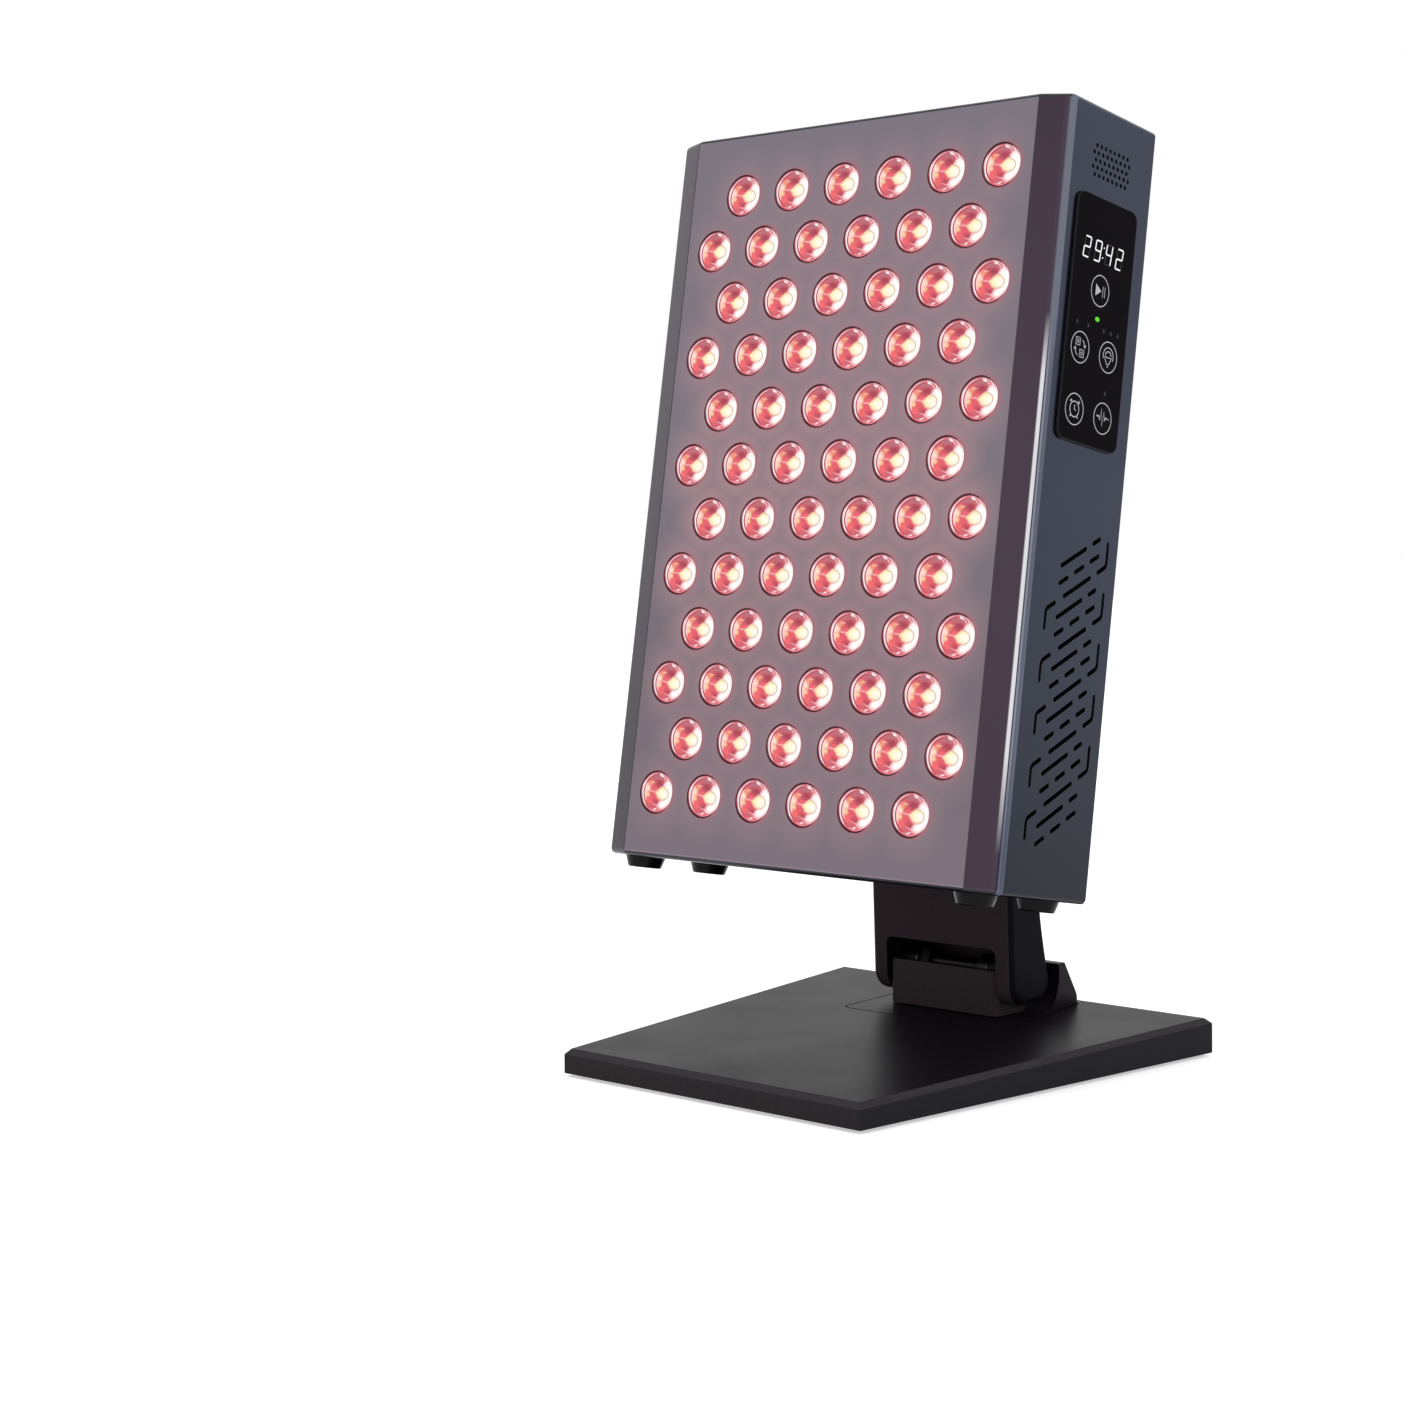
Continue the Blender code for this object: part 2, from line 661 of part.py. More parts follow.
def bracket_screw(name, side):
    """Screw that holds the bracket and the seat down on the steel plate."""
    seat = bracket_foot_bottom() + BRACKET_FOOT_THICKNESS + GAP
    tip = BASE_BOTTOM + 2 * GAP
    ob = turned(name, [(0, seat + BRACKET_SCREW_HEAD_HEIGHT),
                       (BRACKET_SCREW_HEAD_RADIUS, seat + BRACKET_SCREW_HEAD_HEIGHT),
                       (BRACKET_SCREW_HEAD_RADIUS, seat),
                       (BRACKET_SCREW_RADIUS, seat),
                       (BRACKET_SCREW_RADIUS, tip), (0, tip)], SMALL_SIDES)
    ob.location = (side * BRACKET_SCREW_OFFSET, HINGE_BACK_OFFSET, 0)
    return paint(ob, (0.55, 0.55, 0.56), 0.30, 1.0)


def base_shaft():
    """Steel shaft of the base hinge, with a collar against the right disc spring."""
    ob = turned("base_shaft", [(0, SHAFT_END), (SHAFT_RADIUS, SHAFT_END),
                               (SHAFT_RADIUS, STACK_INNER),
                               (COLLAR_RADIUS, STACK_INNER),
                               (COLLAR_RADIUS, STACK_INNER - NUT_THICKNESS),
                               (SHAFT_RADIUS, STACK_INNER - NUT_THICKNESS),
                               (SHAFT_RADIUS, -SHAFT_END), (0, -SHAFT_END)],
                ROUND_SIDES, ARM_PIVOT)
    ob.rotation_euler.y = math.radians(90)
    return paint(ob, (0.58, 0.58, 0.60), 0.22, 1.0)


def washer(name, outer, shaft, start, end, sides, parent):
    """Flat ring on the local X axis, round a shaft."""
    bore = clear_of(shaft, BORE_SIDES)
    ob = extruded(name, [ring((0, 0), outer, sides), ring((0, 0), bore, BORE_SIDES)],
                  start, end, SIDE_PLANE, parent)
    return smooth(ob)


def disc_spring(name, side):
    """Spring washer between a knuckle and the collar or the nut."""
    near = STACK_INNER + GAP
    far = near + DISC_SPRING_THICKNESS
    start, end = sorted((side * near, side * far))
    ob = washer(name, DISC_SPRING_RADIUS, SHAFT_RADIUS, start, end, ROUND_SIDES, ARM_PIVOT)
    return paint(ob, (0.50, 0.50, 0.52), 0.30, 1.0)


def lock_nut():
    """Nut that sets the base hinge's friction."""
    ob = washer("lock_nut", NUT_RADIUS, SHAFT_RADIUS,
                -STACK_INNER, -STACK_INNER + NUT_THICKNESS, 6, ARM_PIVOT)
    return paint(ob, (0.55, 0.54, 0.50), 0.32, 1.0)


def arm_outline():
    """Side view of the arm: round-cornered heel, drawn-in back, round head."""
    low = ARM_HEEL_ROUND - ARM_HEEL_DROP
    heel = (arc((ARM_HEEL_ROUND - ARM_HEEL_FRONT, low), ARM_HEEL_ROUND, 180, 270, 3)
            + arc((ARM_HEEL_BACK - ARM_HEEL_ROUND, low), ARM_HEEL_ROUND, 270, 360, 3))
    steps = 4
    neck = []
    for step in range(1, steps + 1):
        share = step / steps
        reach = ARM_BACK + (ARM_HEEL_BACK - ARM_BACK) * (1 - share) ** 1.5
        neck.append((reach, low + (ARM_NECK_RISE - low) * share))
    head = arc((0, ARM_REACH), ARM_BACK, 0, 180, 7)
    return heel + neck + head


def arm_notches():
    """Openings between the ears at both ends of the arm."""
    half = LOWER_EAR_INNER
    far = ARM_HEEL_DROP + OVERRUN
    low_points = ([(-half, -far), (half, -far)]
                  + arc((half - LOWER_NOTCH_ROUND, LOWER_NOTCH_RISE - LOWER_NOTCH_ROUND),
                        LOWER_NOTCH_ROUND, 0, 90, 3)
                  + arc((LOWER_NOTCH_ROUND - half, LOWER_NOTCH_RISE - LOWER_NOTCH_ROUND),
                        LOWER_NOTCH_ROUND, 90, 180, 3))
    reach = ARM_HEEL_FRONT + OVERRUN
    lower = extruded("lower_notch", [low_points], -reach, reach, FRONT_PLANE, ARM_PIVOT)
    upper = box("upper_notch", (-HEAD_NOTCH_HALF_WIDTH, -reach, ARM_REACH - HEAD_NOTCH_DEPTH),
                (HEAD_NOTCH_HALF_WIDTH, reach, ARM_REACH + ARM_BACK + OVERRUN), ARM_PIVOT)
    return lower, upper


def arm_pocket_span():
    """Lowest and highest point of the arm's rear pocket."""
    return ARM_NECK_RISE, ARM_REACH - HEAD_NOTCH_DEPTH - ARM_WALL


def arm_shell():
    """Cast arm with ears at both ends and a pocket in its back."""
    ob = extruded("arm_shell", [arm_outline()], -ARM_HALF_WIDTH, ARM_HALF_WIDTH,
                  SIDE_PLANE, ARM_PIVOT)
    bevel(ob, ARM_EDGE_ROUND, 2, 60)
    low, high = arm_pocket_span()
    mouth = ARM_HALF_WIDTH - ARM_EDGE_ROUND - ARM_WALL / 2
    inner = mouth - ARM_COVER_LEDGE
    recess = box("cover_recess", (-mouth, ARM_BACK - ARM_COVER_THICKNESS - GAP, low),
                 (mouth, ARM_BACK + OVERRUN, high), ARM_PIVOT)
    pocket = box("arm_pocket", (-inner, ARM_WALL - ARM_BACK, low + ARM_COVER_LEDGE),
                 (inner, ARM_BACK, high - ARM_COVER_LEDGE), ARM_PIVOT)
    bore = rod("ear_bore", clear_of(SHAFT_RADIUS, BORE_SIDES), (-ARM_HALF_WIDTH, 0, 0),
               (SHAFT_END + GAP, 0, 0), BORE_SIDES, ARM_PIVOT)
    cap_seat = rod("ear_cap_seat", clear_of(EAR_CAP_RADIUS, ROUND_SIDES),
                   (-ARM_HALF_WIDTH - OVERRUN, 0, 0), (-SHAFT_END, 0, 0), ROUND_SIDES, ARM_PIVOT)
    top = Vector((0, 0, ARM_REACH))
    reach = Vector((ARM_HALF_WIDTH + OVERRUN, 0, 0))
    bolt_bore = rod("bolt_bore", clear_of(HEAD_BOLT_RADIUS, BORE_SIDES), top - reach,
                    top + reach, BORE_SIDES, ARM_PIVOT)
    recess_radius = clear_of(HEAD_BOLT_HEAD_RADIUS, BORE_SIDES)
    recess_face = Vector((ARM_HALF_WIDTH - BOLT_RECESS_DEPTH, 0, 0))
    right_recess = rod("bolt_recess_right", recess_radius, top + recess_face, top + reach,
                       BORE_SIDES, ARM_PIVOT)
    left_recess = rod("bolt_recess_left", recess_radius, top - reach, top - recess_face,
                      BORE_SIDES, ARM_PIVOT)
    cut(ob, *arm_notches(), pocket, recess, bore, cap_seat, bolt_bore, right_recess, left_recess)
    return paint(smooth(ob), (0.020, 0.017, 0.018), 0.45)


def arm_rear_cover():
    """Plate that closes the pocket in the arm's back."""
    low, high = arm_pocket_span()
    mouth = ARM_HALF_WIDTH - ARM_EDGE_ROUND - ARM_WALL / 2 - GAP
    ob = box("arm_rear_cover", (-mouth, ARM_BACK - ARM_COVER_THICKNESS, low + GAP),
             (mouth, ARM_BACK, high - GAP), ARM_PIVOT)
    return paint(ob, (0.022, 0.019, 0.020), 0.50)


def hinge_cap():
    """Plug over the open end of the base hinge's bore."""
    ob = rod("hinge_cap", EAR_CAP_RADIUS, (-ARM_HALF_WIDTH, 0, 0), (-SHAFT_END - GAP, 0, 0),
             ROUND_SIDES, ARM_PIVOT)
    return paint(ob, (0.020, 0.017, 0.018), 0.50)


def head_bolt():
    """Bolt of the head hinge, its head sunk in the arm's right ear."""
    seat = ARM_HALF_WIDTH - BOLT_RECESS_DEPTH + GAP
    end = seat + HEAD_BOLT_HEAD_HEIGHT
    ob = turned("head_bolt", [(0, end), (HEAD_BOLT_HEAD_RADIUS, end),
                              (HEAD_BOLT_HEAD_RADIUS, seat), (HEAD_BOLT_RADIUS, seat),
                              (HEAD_BOLT_RADIUS, -end), (0, -end)], ROUND_SIDES, ARM_PIVOT)
    ob.location = (0, 0, ARM_REACH)
    ob.rotation_euler.y = math.radians(90)
    return paint(ob, (0.50, 0.50, 0.52), 0.28, 1.0)


def head_nut():
    """Nut of the head hinge, sunk in the arm's left ear."""
    seat = ARM_HALF_WIDTH - BOLT_RECESS_DEPTH + GAP
    ob = washer("head_nut", HEAD_BOLT_HEAD_RADIUS, HEAD_BOLT_RADIUS,
                -seat - HEAD_BOLT_HEAD_HEIGHT, -seat, 6, ARM_PIVOT)
    ob.location = (0, 0, ARM_REACH)
    return paint(ob, (0.55, 0.54, 0.50), 0.32, 1.0)


def head_washer(name, side):
    """Friction washer between the head knuckle and an ear of the arm."""
    far = HEAD_NOTCH_HALF_WIDTH - GAP
    start, end = sorted((side * (far - HEAD_WASHER_THICKNESS), side * far))
    ob = washer(name, HEAD_WASHER_RADIUS, HEAD_BOLT_RADIUS, start, end,
                ROUND_SIDES, ARM_PIVOT)
    ob.location = (0, 0, ARM_REACH)
    return paint(ob, (0.45, 0.40, 0.30), 0.45, 1.0)


def head_screw_places():
    """Places of the four screws that hold the head bracket on the panel."""
    across = HEAD_PLATE_WIDTH / 2 - HEAD_SCREW_INSET
    up = HEAD_PLATE_HEIGHT / 2 - HEAD_SCREW_INSET
    return [(-across, HEAD_RISE - up), (across, HEAD_RISE - up),
            (-across, HEAD_RISE + up), (across, HEAD_RISE + up)]


def head_screw_holes(name):
    """Clearance holes through the bracket, the rear cover and the backing plate."""
    bm = bmesh.new()
    for x, z in head_screw_places():
        add_rod(bm, clear_of(HEAD_SCREW_RADIUS, SMALL_SIDES),
                (x, REAR_SEAT - BACKING_THICKNESS - OVERRUN, z),
                (x, PANEL_DEPTH + HEAD_PLATE_THICKNESS + OVERRUN, z), SMALL_SIDES)
    return make(name, bm, PANEL)


def plate_outline(width, height, radius):
    """Round-cornered plate about the head hinge."""
    return rounded_rectangle(-width / 2, width / 2, HEAD_RISE - height / 2,
                             HEAD_RISE + height / 2, radius)


def head_bracket():
    """Steel plate on the panel's back with the knuckle of the head hinge."""
    face = PANEL_DEPTH + GAP
    ob = extruded("head_bracket",
                  [plate_outline(HEAD_PLATE_WIDTH, HEAD_PLATE_HEIGHT, HEAD_PLATE_ROUND)],
                  -face - HEAD_PLATE_THICKNESS, -face, FRONT_PLANE, PANEL)
    half = HEAD_NOTCH_HALF_WIDTH - HEAD_WASHER_THICKNESS - 2 * GAP
    root = face + HEAD_PLATE_THICKNESS / 2
    lug = ([(root, HEAD_RISE - HEAD_KNUCKLE_RADIUS)]
           + arc((HEAD_SETBACK, HEAD_RISE), HEAD_KNUCKLE_RADIUS, -90, 90, 8)
           + [(root, HEAD_RISE + HEAD_KNUCKLE_RADIUS)])
    knuckle = extruded("head_knuckle", [lug], -half, half, SIDE_PLANE, PANEL)
    bore = rod("knuckle_bore", clear_of(HEAD_BOLT_RADIUS, BORE_SIDES),
               (-HEAD_NOTCH_HALF_WIDTH, HEAD_SETBACK, HEAD_RISE),
               (HEAD_NOTCH_HALF_WIDTH, HEAD_SETBACK, HEAD_RISE), BORE_SIDES, PANEL)
    fuse(ob, knuckle)
    cut(ob, bore, head_screw_holes("bracket_screw_holes"))
    return paint(smooth(ob), (0.030, 0.030, 0.032), 0.45, 0.6)


def head_screw(name, place):
    """Screw through the head bracket into the backing plate."""
    seat = HEAD_PLATE_THICKNESS + 2 * GAP
    tip = -SHEET - GAP - BACKING_THICKNESS
    ob = turned(name, [(0, seat + HEAD_SCREW_HEAD_HEIGHT),
                       (HEAD_SCREW_HEAD_RADIUS, seat + HEAD_SCREW_HEAD_HEIGHT),
                       (HEAD_SCREW_HEAD_RADIUS, seat),
                       (HEAD_SCREW_RADIUS, seat),
                       (HEAD_SCREW_RADIUS, tip), (0, tip)], SMALL_SIDES, PANEL)
    ob.location = (place[0], PANEL_DEPTH, place[1])
    ob.rotation_euler.x = math.radians(-90)
    return paint(ob, (0.40, 0.40, 0.42), 0.30, 1.0)


def lens_places():
    """Centres of the lenses: staggered rows, the highest one moved to the right."""
    row_pitch = LENS_PITCH * ROW_PITCH_SHARE
    rows = int((PANEL_HEIGHT - 2 * LENS_TOP_MARGIN) / row_pitch + FIT_SHARE) + 1
    room = 2 * (FLAT_HALF - LENS_SIDE_MARGIN) - LENS_PITCH / 2
    columns = int(room / LENS_PITCH + FIT_SHARE) + 1
    places = []
    for row in range(rows):
        z = PANEL_HEIGHT / 2 + (rows - 1 - 2 * row) / 2 * row_pitch
        shift = LENS_PITCH / 4 if row % 2 == 0 else -LENS_PITCH / 4
        for column in range(columns):
            x = (2 * column - columns + 1) / 2 * LENS_PITCH + shift
            places.append((x, z))
    return places


def lens_holes():
    """Holes of the front plate, one round each lens."""
    radius = clear_of(LENS_RADIUS, LENS_SIDES)
    outlines = [ring(place, radius, LENS_SIDES) for place in lens_places()]
    return extruded("lens_holes", outlines, -CHAMFER_DEPTH, OVERRUN, FRONT_PLANE, PANEL)


def slot_outline(start, end, width):
    """Slot between two points."""
    turn = math.degrees(math.atan2(end[1] - start[1], end[0] - start[0]))
    return (arc(start, width / 2, turn + 90, turn + 270, SLOT_END_STEPS)
            + arc(end, width / 2, turn - 90, turn + 90, SLOT_END_STEPS))


def bent_outline(upright_end, corner, slope_end, width):
    """Slot with an upright leg, a round bend and a sloping leg."""
    path = [Vector(upright_end)]
    first = (Vector(upright_end) - Vector(corner)).normalized() * VENT_BEND
    second = (Vector(slope_end) - Vector(corner)).normalized() * VENT_BEND
    for share in (1 / 4, 3 / 4):
        near, far = Vector(corner) + first * (1 - share), Vector(corner) + second * share
        path.append(near.lerp(far, share))
    path.append(Vector(slope_end))
    left, right = [], []
    for index, point in enumerate(path):
        ahead = path[min(index + 1, len(path) - 1)] - path[max(index - 1, 0)]
        across = Vector((-ahead.y, ahead.x)).normalized() * width / 2
        left.append(tuple(point + across))
        right.append(tuple(point - across))
    return left + right[::-1]


def vent_outlines():
    """All the slots of one side wall, in setback and height."""
    field = PANEL_DEPTH - VENT_FRONT_MARGIN - VENT_BACK_MARGIN
    rise = math.tan(VENT_ANGLE)

    def on_line(level, share):
        reach = field * share
        return (VENT_FRONT_MARGIN + reach, level + reach * rise)

    outlines = []
    for group in range(VENT_GROUPS):
        short_line = VENT_FOOT + 3 * group * VENT_LINE_PITCH
        long_line = short_line + VENT_LINE_PITCH
        for start, end in VENT_SHORT_SHARES:
            outlines.append((on_line(short_line, start), on_line(short_line, end)))
        for start, end in (VENT_LONG_A_SHARES, VENT_SINGLE_SHARES):
            outlines.append((on_line(long_line, start), on_line(long_line, end)))
        if group < VENT_GROUPS - 1:
            bent_line = long_line + VENT_LINE_PITCH
            start, end = VENT_LONG_B_SHARES
            outlines.append((on_line(bent_line, start), on_line(bent_line, end)))
    slots = [slot_outline(start, end, VENT_SLOT_WIDTH) for start, end in outlines]
    for group in range(VENT_GROUPS - 1):
        level = VENT_FOOT + (3 * group + 2) * VENT_LINE_PITCH
        front, back = on_line(level, 0), on_line(level, 1)
        slots.append(bent_outline((front[0], front[1] - VENT_FRONT_LEG), front,
                                  on_line(level, VENT_FRONT_END_SHARE), VENT_SLOT_WIDTH))
        slots.append(bent_outline((back[0], back[1] + VENT_BACK_LEG), back,
                                  on_line(level, VENT_BACK_END_SHARE), VENT_SLOT_WIDTH))
    return slots


def wall_cutter(name, outlines, side):
    """Cutter through one side wall from outlines in setback and height."""
    start, end = sorted((side * (INNER_HALF - OVERRUN), side * (PANEL_HALF + OVERRUN)))
    return extruded(name, outlines, start, end, SIDE_PLANE, PANEL)


def speaker_outlines():
    """Rows of speaker holes, long and short in turn."""
    outlines = []
    for row in range(SPEAKER_ROWS):
        count = SPEAKER_LONG_ROW - (row + 1) % 2
        z = SPEAKER_RISE + (SPEAKER_ROWS - 1 - 2 * row) / 2 * SPEAKER_ROW_PITCH
        for place in range(count):
            y = SPEAKER_SETBACK + (2 * place - count + 1) / 2 * SPEAKER_HOLE_PITCH
            outlines.append(ring((y, z), SPEAKER_HOLE_RADIUS, HOLE_SIDES))
    return outlines


def touch_outline(inset):
    """Outline of the touch glass in setback and height."""
    half, tall = TOUCH_WIDTH / 2 - inset, TOUCH_HEIGHT / 2 - inset
    return rounded_rectangle(TOUCH_SETBACK - half, TOUCH_SETBACK + half, TOUCH_RISE - tall,
                             TOUCH_RISE + tall, TOUCH_CORNER_ROUND - inset / 2)


def foot_places():
    """Places of the four feet, named by corner."""
    return {
        "foot_front_left": (-FOOT_OFFSET, FOOT_FRONT_SETBACK),
        "foot_front_right": (FOOT_OFFSET, FOOT_FRONT_SETBACK),
        "foot_rear_left": (-FOOT_OFFSET, FOOT_BACK_SETBACK),
        "foot_rear_right": (FOOT_OFFSET, FOOT_BACK_SETBACK),
    }


def foot_holes():
    """Holes in the bottom wall for the stems of the feet."""
    bm = bmesh.new()
    for x, y in foot_places().values():
        add_rod(bm, clear_of(FOOT_STEM_RADIUS, SMALL_SIDES), (x, y, -OVERRUN),
                (x, y, SHEET + OVERRUN), SMALL_SIDES)
    return make("foot_holes", bm, PANEL)


def front_housing():
    """Folded sheet housing: front plate, chamfers and four walls, open at the back."""
    outline = [(-PANEL_HALF, PANEL_DEPTH), (-PANEL_HALF, CHAMFER_DEPTH), (-FLAT_HALF, 0),
               (FLAT_HALF, 0), (PANEL_HALF, CHAMFER_DEPTH), (PANEL_HALF, PANEL_DEPTH)]
    ob = extruded("front_housing", [outline], 0, PANEL_HEIGHT, FLOOR_PLANE, PANEL)
    bm = bmesh.new()
    bm.from_mesh(ob.data)
    back = [face for face in bm.faces if face.normal.y > 1 / 2]
    bmesh.ops.delete(bm, geom=back, context="FACES")
    ends = [face for face in bm.faces if abs(face.normal.z) > 1 / 2]
    bmesh.ops.dissolve_faces(bm, faces=ends)
    bm.to_mesh(ob.data)
    bm.free()
    bevel(ob, BEND_RADIUS, 2, 15)
    skin = ob.modifiers.new("sheet", "SOLIDIFY")
    skin.thickness = SHEET
    skin.offset = -1
    skin.use_even_offset = True
    skin.use_quality_normals = True
    cut(ob, lens_holes(),
        wall_cutter("vents_right", vent_outlines(), 1),
        wall_cutter("vents_left", vent_outlines(), -1),
        wall_cutter("speaker_holes", speaker_outlines(), 1),
        wall_cutter("touch_window", [touch_outline(TOUCH_WINDOW_INSET)], 1),
        foot_holes())
    return paint(ob, (0.070, 0.076, 0.110), 0.28, 0.65)


def fan_centres():
    """Heights of the two fans, above and below the head bracket."""
    return {"upper": HEAD_RISE + FAN_SPACING / 2, "lower": HEAD_RISE - FAN_SPACING / 2}


def grille_outlines(height):
    """Level slots behind a fan, as long as its bore is wide there."""
    outlines = []
    pitch = 2 * FAN_BORE_RADIUS / GRILLE_SLOTS
    for slot in range(GRILLE_SLOTS):
        level = (2 * slot - GRILLE_SLOTS + 1) / 2 * pitch
        reach = math.sqrt(FAN_BORE_RADIUS ** 2 - level ** 2) - GRILLE_SLOT_HEIGHT / 2
        outlines.append(slot_outline((-reach, height + level), (reach, height + level),
                                     GRILLE_SLOT_HEIGHT))
    return outlines


def rear_cutter(name, outlines):
    """Cutter through the rear cover from outlines in width and height."""
    return extruded(name, outlines, -PANEL_DEPTH - OVERRUN, -COVER_FRONT + OVERRUN,
                    FRONT_PLANE, PANEL)


def fitting_outline(side, width, height):
    """Rectangular cut-out for the inlet or the switch."""
    x = side * FITTING_OFFSET
    return [(x - width / 2, FITTING_RISE - height / 2), (x + width / 2, FITTING_RISE - height / 2),
            (x + width / 2, FITTING_RISE + height / 2), (x - width / 2, FITTING_RISE + height / 2)]


def rear_cover():
    """Plate inside the housing's rim, with the fan grilles and fitting cut-outs."""
    half = INNER_HALF - GAP
    outline = rounded_rectangle(-half, half, SHEET + GAP, PANEL_HEIGHT - SHEET - GAP,
                                BEND_RADIUS - SHEET + GAP, 2)
    ob = extruded("rear_cover", [outline], -PANEL_DEPTH, -COVER_FRONT, FRONT_PLANE, PANEL)
    slots = []
    for height in fan_centres().values():
        slots += grille_outlines(height)
    openings = [fitting_outline(-1, INLET_WIDTH + 2 * GAP, INLET_HEIGHT + 2 * GAP),
                fitting_outline(1, SWITCH_WIDTH + 2 * GAP, SWITCH_HEIGHT + 2 * GAP)]
    cut(ob, rear_cutter("grille_slots", slots), rear_cutter("fitting_openings", openings),
        head_screw_holes("cover_screw_holes"))
    return paint(ob, (0.060, 0.065, 0.090), 0.35, 0.6)


def backing_plate():
    """Steel plate inside the rear cover that takes the head screws."""
    ob = extruded("backing_plate",
                  [plate_outline(HEAD_PLATE_WIDTH, HEAD_PLATE_HEIGHT, HEAD_PLATE_ROUND)],
                  -REAR_SEAT, BACKING_THICKNESS - REAR_SEAT, FRONT_PLANE, PANEL)
    cut(ob, head_screw_holes("backing_screw_holes"))
    return paint(ob, (0.45, 0.45, 0.47), 0.40, 1.0)


def led_board():
    """Circuit board with a conical lens over each lamp."""
    ob = box("led_board", (-BOARD_HALF_WIDTH, BOARD_FRONT, BOARD_END_MARGIN),
             (BOARD_HALF_WIDTH, BOARD_BACK, PANEL_HEIGHT - BOARD_END_MARGIN), PANEL)
    bm = bmesh.new()
    for x, z in lens_places():
        add_rod(bm, LENS_RADIUS, (x, LENS_RECESS, z), (x, BOARD_FRONT + BOARD_THICKNESS / 2, z),
                LENS_SIDES, LENS_NECK_RADIUS)
    lenses = make("lenses", bm, PANEL)
    fuse(ob, lenses)
    return paint(ob, (0.85, 0.30, 0.32), 0.15)


def spacer_places():
    """Places of the spacers, between lenses near the board's corners."""
    xs, zs = zip(*lens_places())
    row_pitch = LENS_PITCH * ROW_PITCH_SHARE
    low, high = min(zs) + row_pitch / 3, max(zs) - row_pitch / 3
    left, right = min(xs), max(xs)
    return {"spacer_lower_left": (left + LENS_PITCH / 2, low),
            "spacer_lower_right": (right - LENS_PITCH, low),
            "spacer_upper_left": (left + LENS_PITCH, high),
            "spacer_upper_right": (right - LENS_PITCH / 2, high)}


def spacer(name, place):
    """Hexagonal post between the front plate and the lens board."""
    x, z = place
    ob = rod(name, SPACER_RADIUS, (x, SHEET + GAP, z), (x, BOARD_FRONT - GAP, z), 6, PANEL)
    return paint(ob, (0.60, 0.55, 0.35), 0.30, 1.0)


def heatsink():
    """Finned aluminium plate behind the lens board."""
    half = BOARD_HALF_WIDTH
    front = BOARD_BACK + GAP
    back = front + HEATSINK_BASE
    tip = back + HEATSINK_FIN_HEIGHT
    pitch = (2 * half - HEATSINK_FIN_THICKNESS) / (HEATSINK_FINS - 1)
    outline = [(-half, front), (half, front), (half, tip)]
    for valley in range(HEATSINK_FINS - 1):
        right = half - HEATSINK_FIN_THICKNESS - valley * pitch
        left = right + HEATSINK_FIN_THICKNESS - pitch
        outline += [(right, tip), (right, back), (left, back), (left, tip)]
    outline.append((-half, tip))
    ob = extruded("heatsink", [outline], BOARD_END_MARGIN, PANEL_HEIGHT - BOARD_END_MARGIN,
                  FLOOR_PLANE, PANEL)
    return paint(ob, (0.70, 0.71, 0.73), 0.35, 1.0)


def fan_frame(level, height):
    """Square fan frame with struts that carry the motor plate."""
    front, back = REAR_SEAT - FAN_DEPTH, REAR_SEAT
    half = FAN_SIZE / 2
    outer = rounded_rectangle(-half, half, height - half, height + half, FAN_CORNER_ROUND, 2)
    bore = ring((0, height), FAN_BORE_RADIUS, WIDE_SIDES)
    ob = extruded("fan_frame_" + level, [outer, bore], -back, -front, FRONT_PLANE, PANEL)
    inner = back - FAN_MOTOR_THICKNESS
    spider = rod("fan_motor_plate_" + level, FAN_MOTOR_RADIUS, (0, inner, height),
                 (0, back, height), ROUND_SIDES, PANEL)
    bm = bmesh.new()
    reach = FAN_BORE_RADIUS + OVERRUN / 2
    for strut in range(FAN_STRUTS):
        turn = Matrix.Rotation(math.radians(45) + strut * math.tau / FAN_STRUTS, 4, "Y")
        corners = add_box(bm, (FAN_MOTOR_RADIUS - OVERRUN, inner, -FAN_STRUT_WIDTH / 2),
                          (reach, back - GAP, FAN_STRUT_WIDTH / 2))
        bmesh.ops.transform(bm, matrix=Matrix.Translation((0, 0, height)) @ turn, verts=corners)
    struts = make("fan_struts_" + level, bm, PANEL)
    pin_hole = rod("fan_pin_hole_" + level, clear_of(FAN_PIN_RADIUS, SMALL_SIDES),
                   (0, inner - OVERRUN, height), (0, back + OVERRUN, height),
                   SMALL_SIDES, PANEL)
    fuse(ob, struts, spider)
    cut(ob, pin_hole)
    return paint(ob, (0.020, 0.020, 0.022), 0.55)


def fan_blades(name, parent):
    """Curved blades about the local Z axis, each from a bent grid."""
    root = FAN_MOTOR_RADIUS - 2 * GAP
    tip = FAN_BORE_RADIUS - FAN_BLADE_TIP_GAP
    bm = bmesh.new()
    for blade in range(FAN_BLADES):
        made = bmesh.ops.create_grid(bm, x_segments=2, y_segments=1, size=1 / 2)["verts"]
        for corner in made:
            along, out = corner.co.x + 1 / 2, corner.co.y + 1 / 2
            radius = root + (tip - root) * out
            angle = blade * math.tau / FAN_BLADES + FAN_BLADE_SWEEP * (along + out / 3)
            height = FAN_BLADE_RISE * (along - along * along / 3)
            corner.co = (radius * math.cos(angle), radius * math.sin(angle), height)
    ob = make(name, bm, parent)
    skin = ob.modifiers.new("blade_skin", "SOLIDIFY")
    skin.thickness = FAN_BLADE_THICKNESS
    skin.offset = 0
    return ob


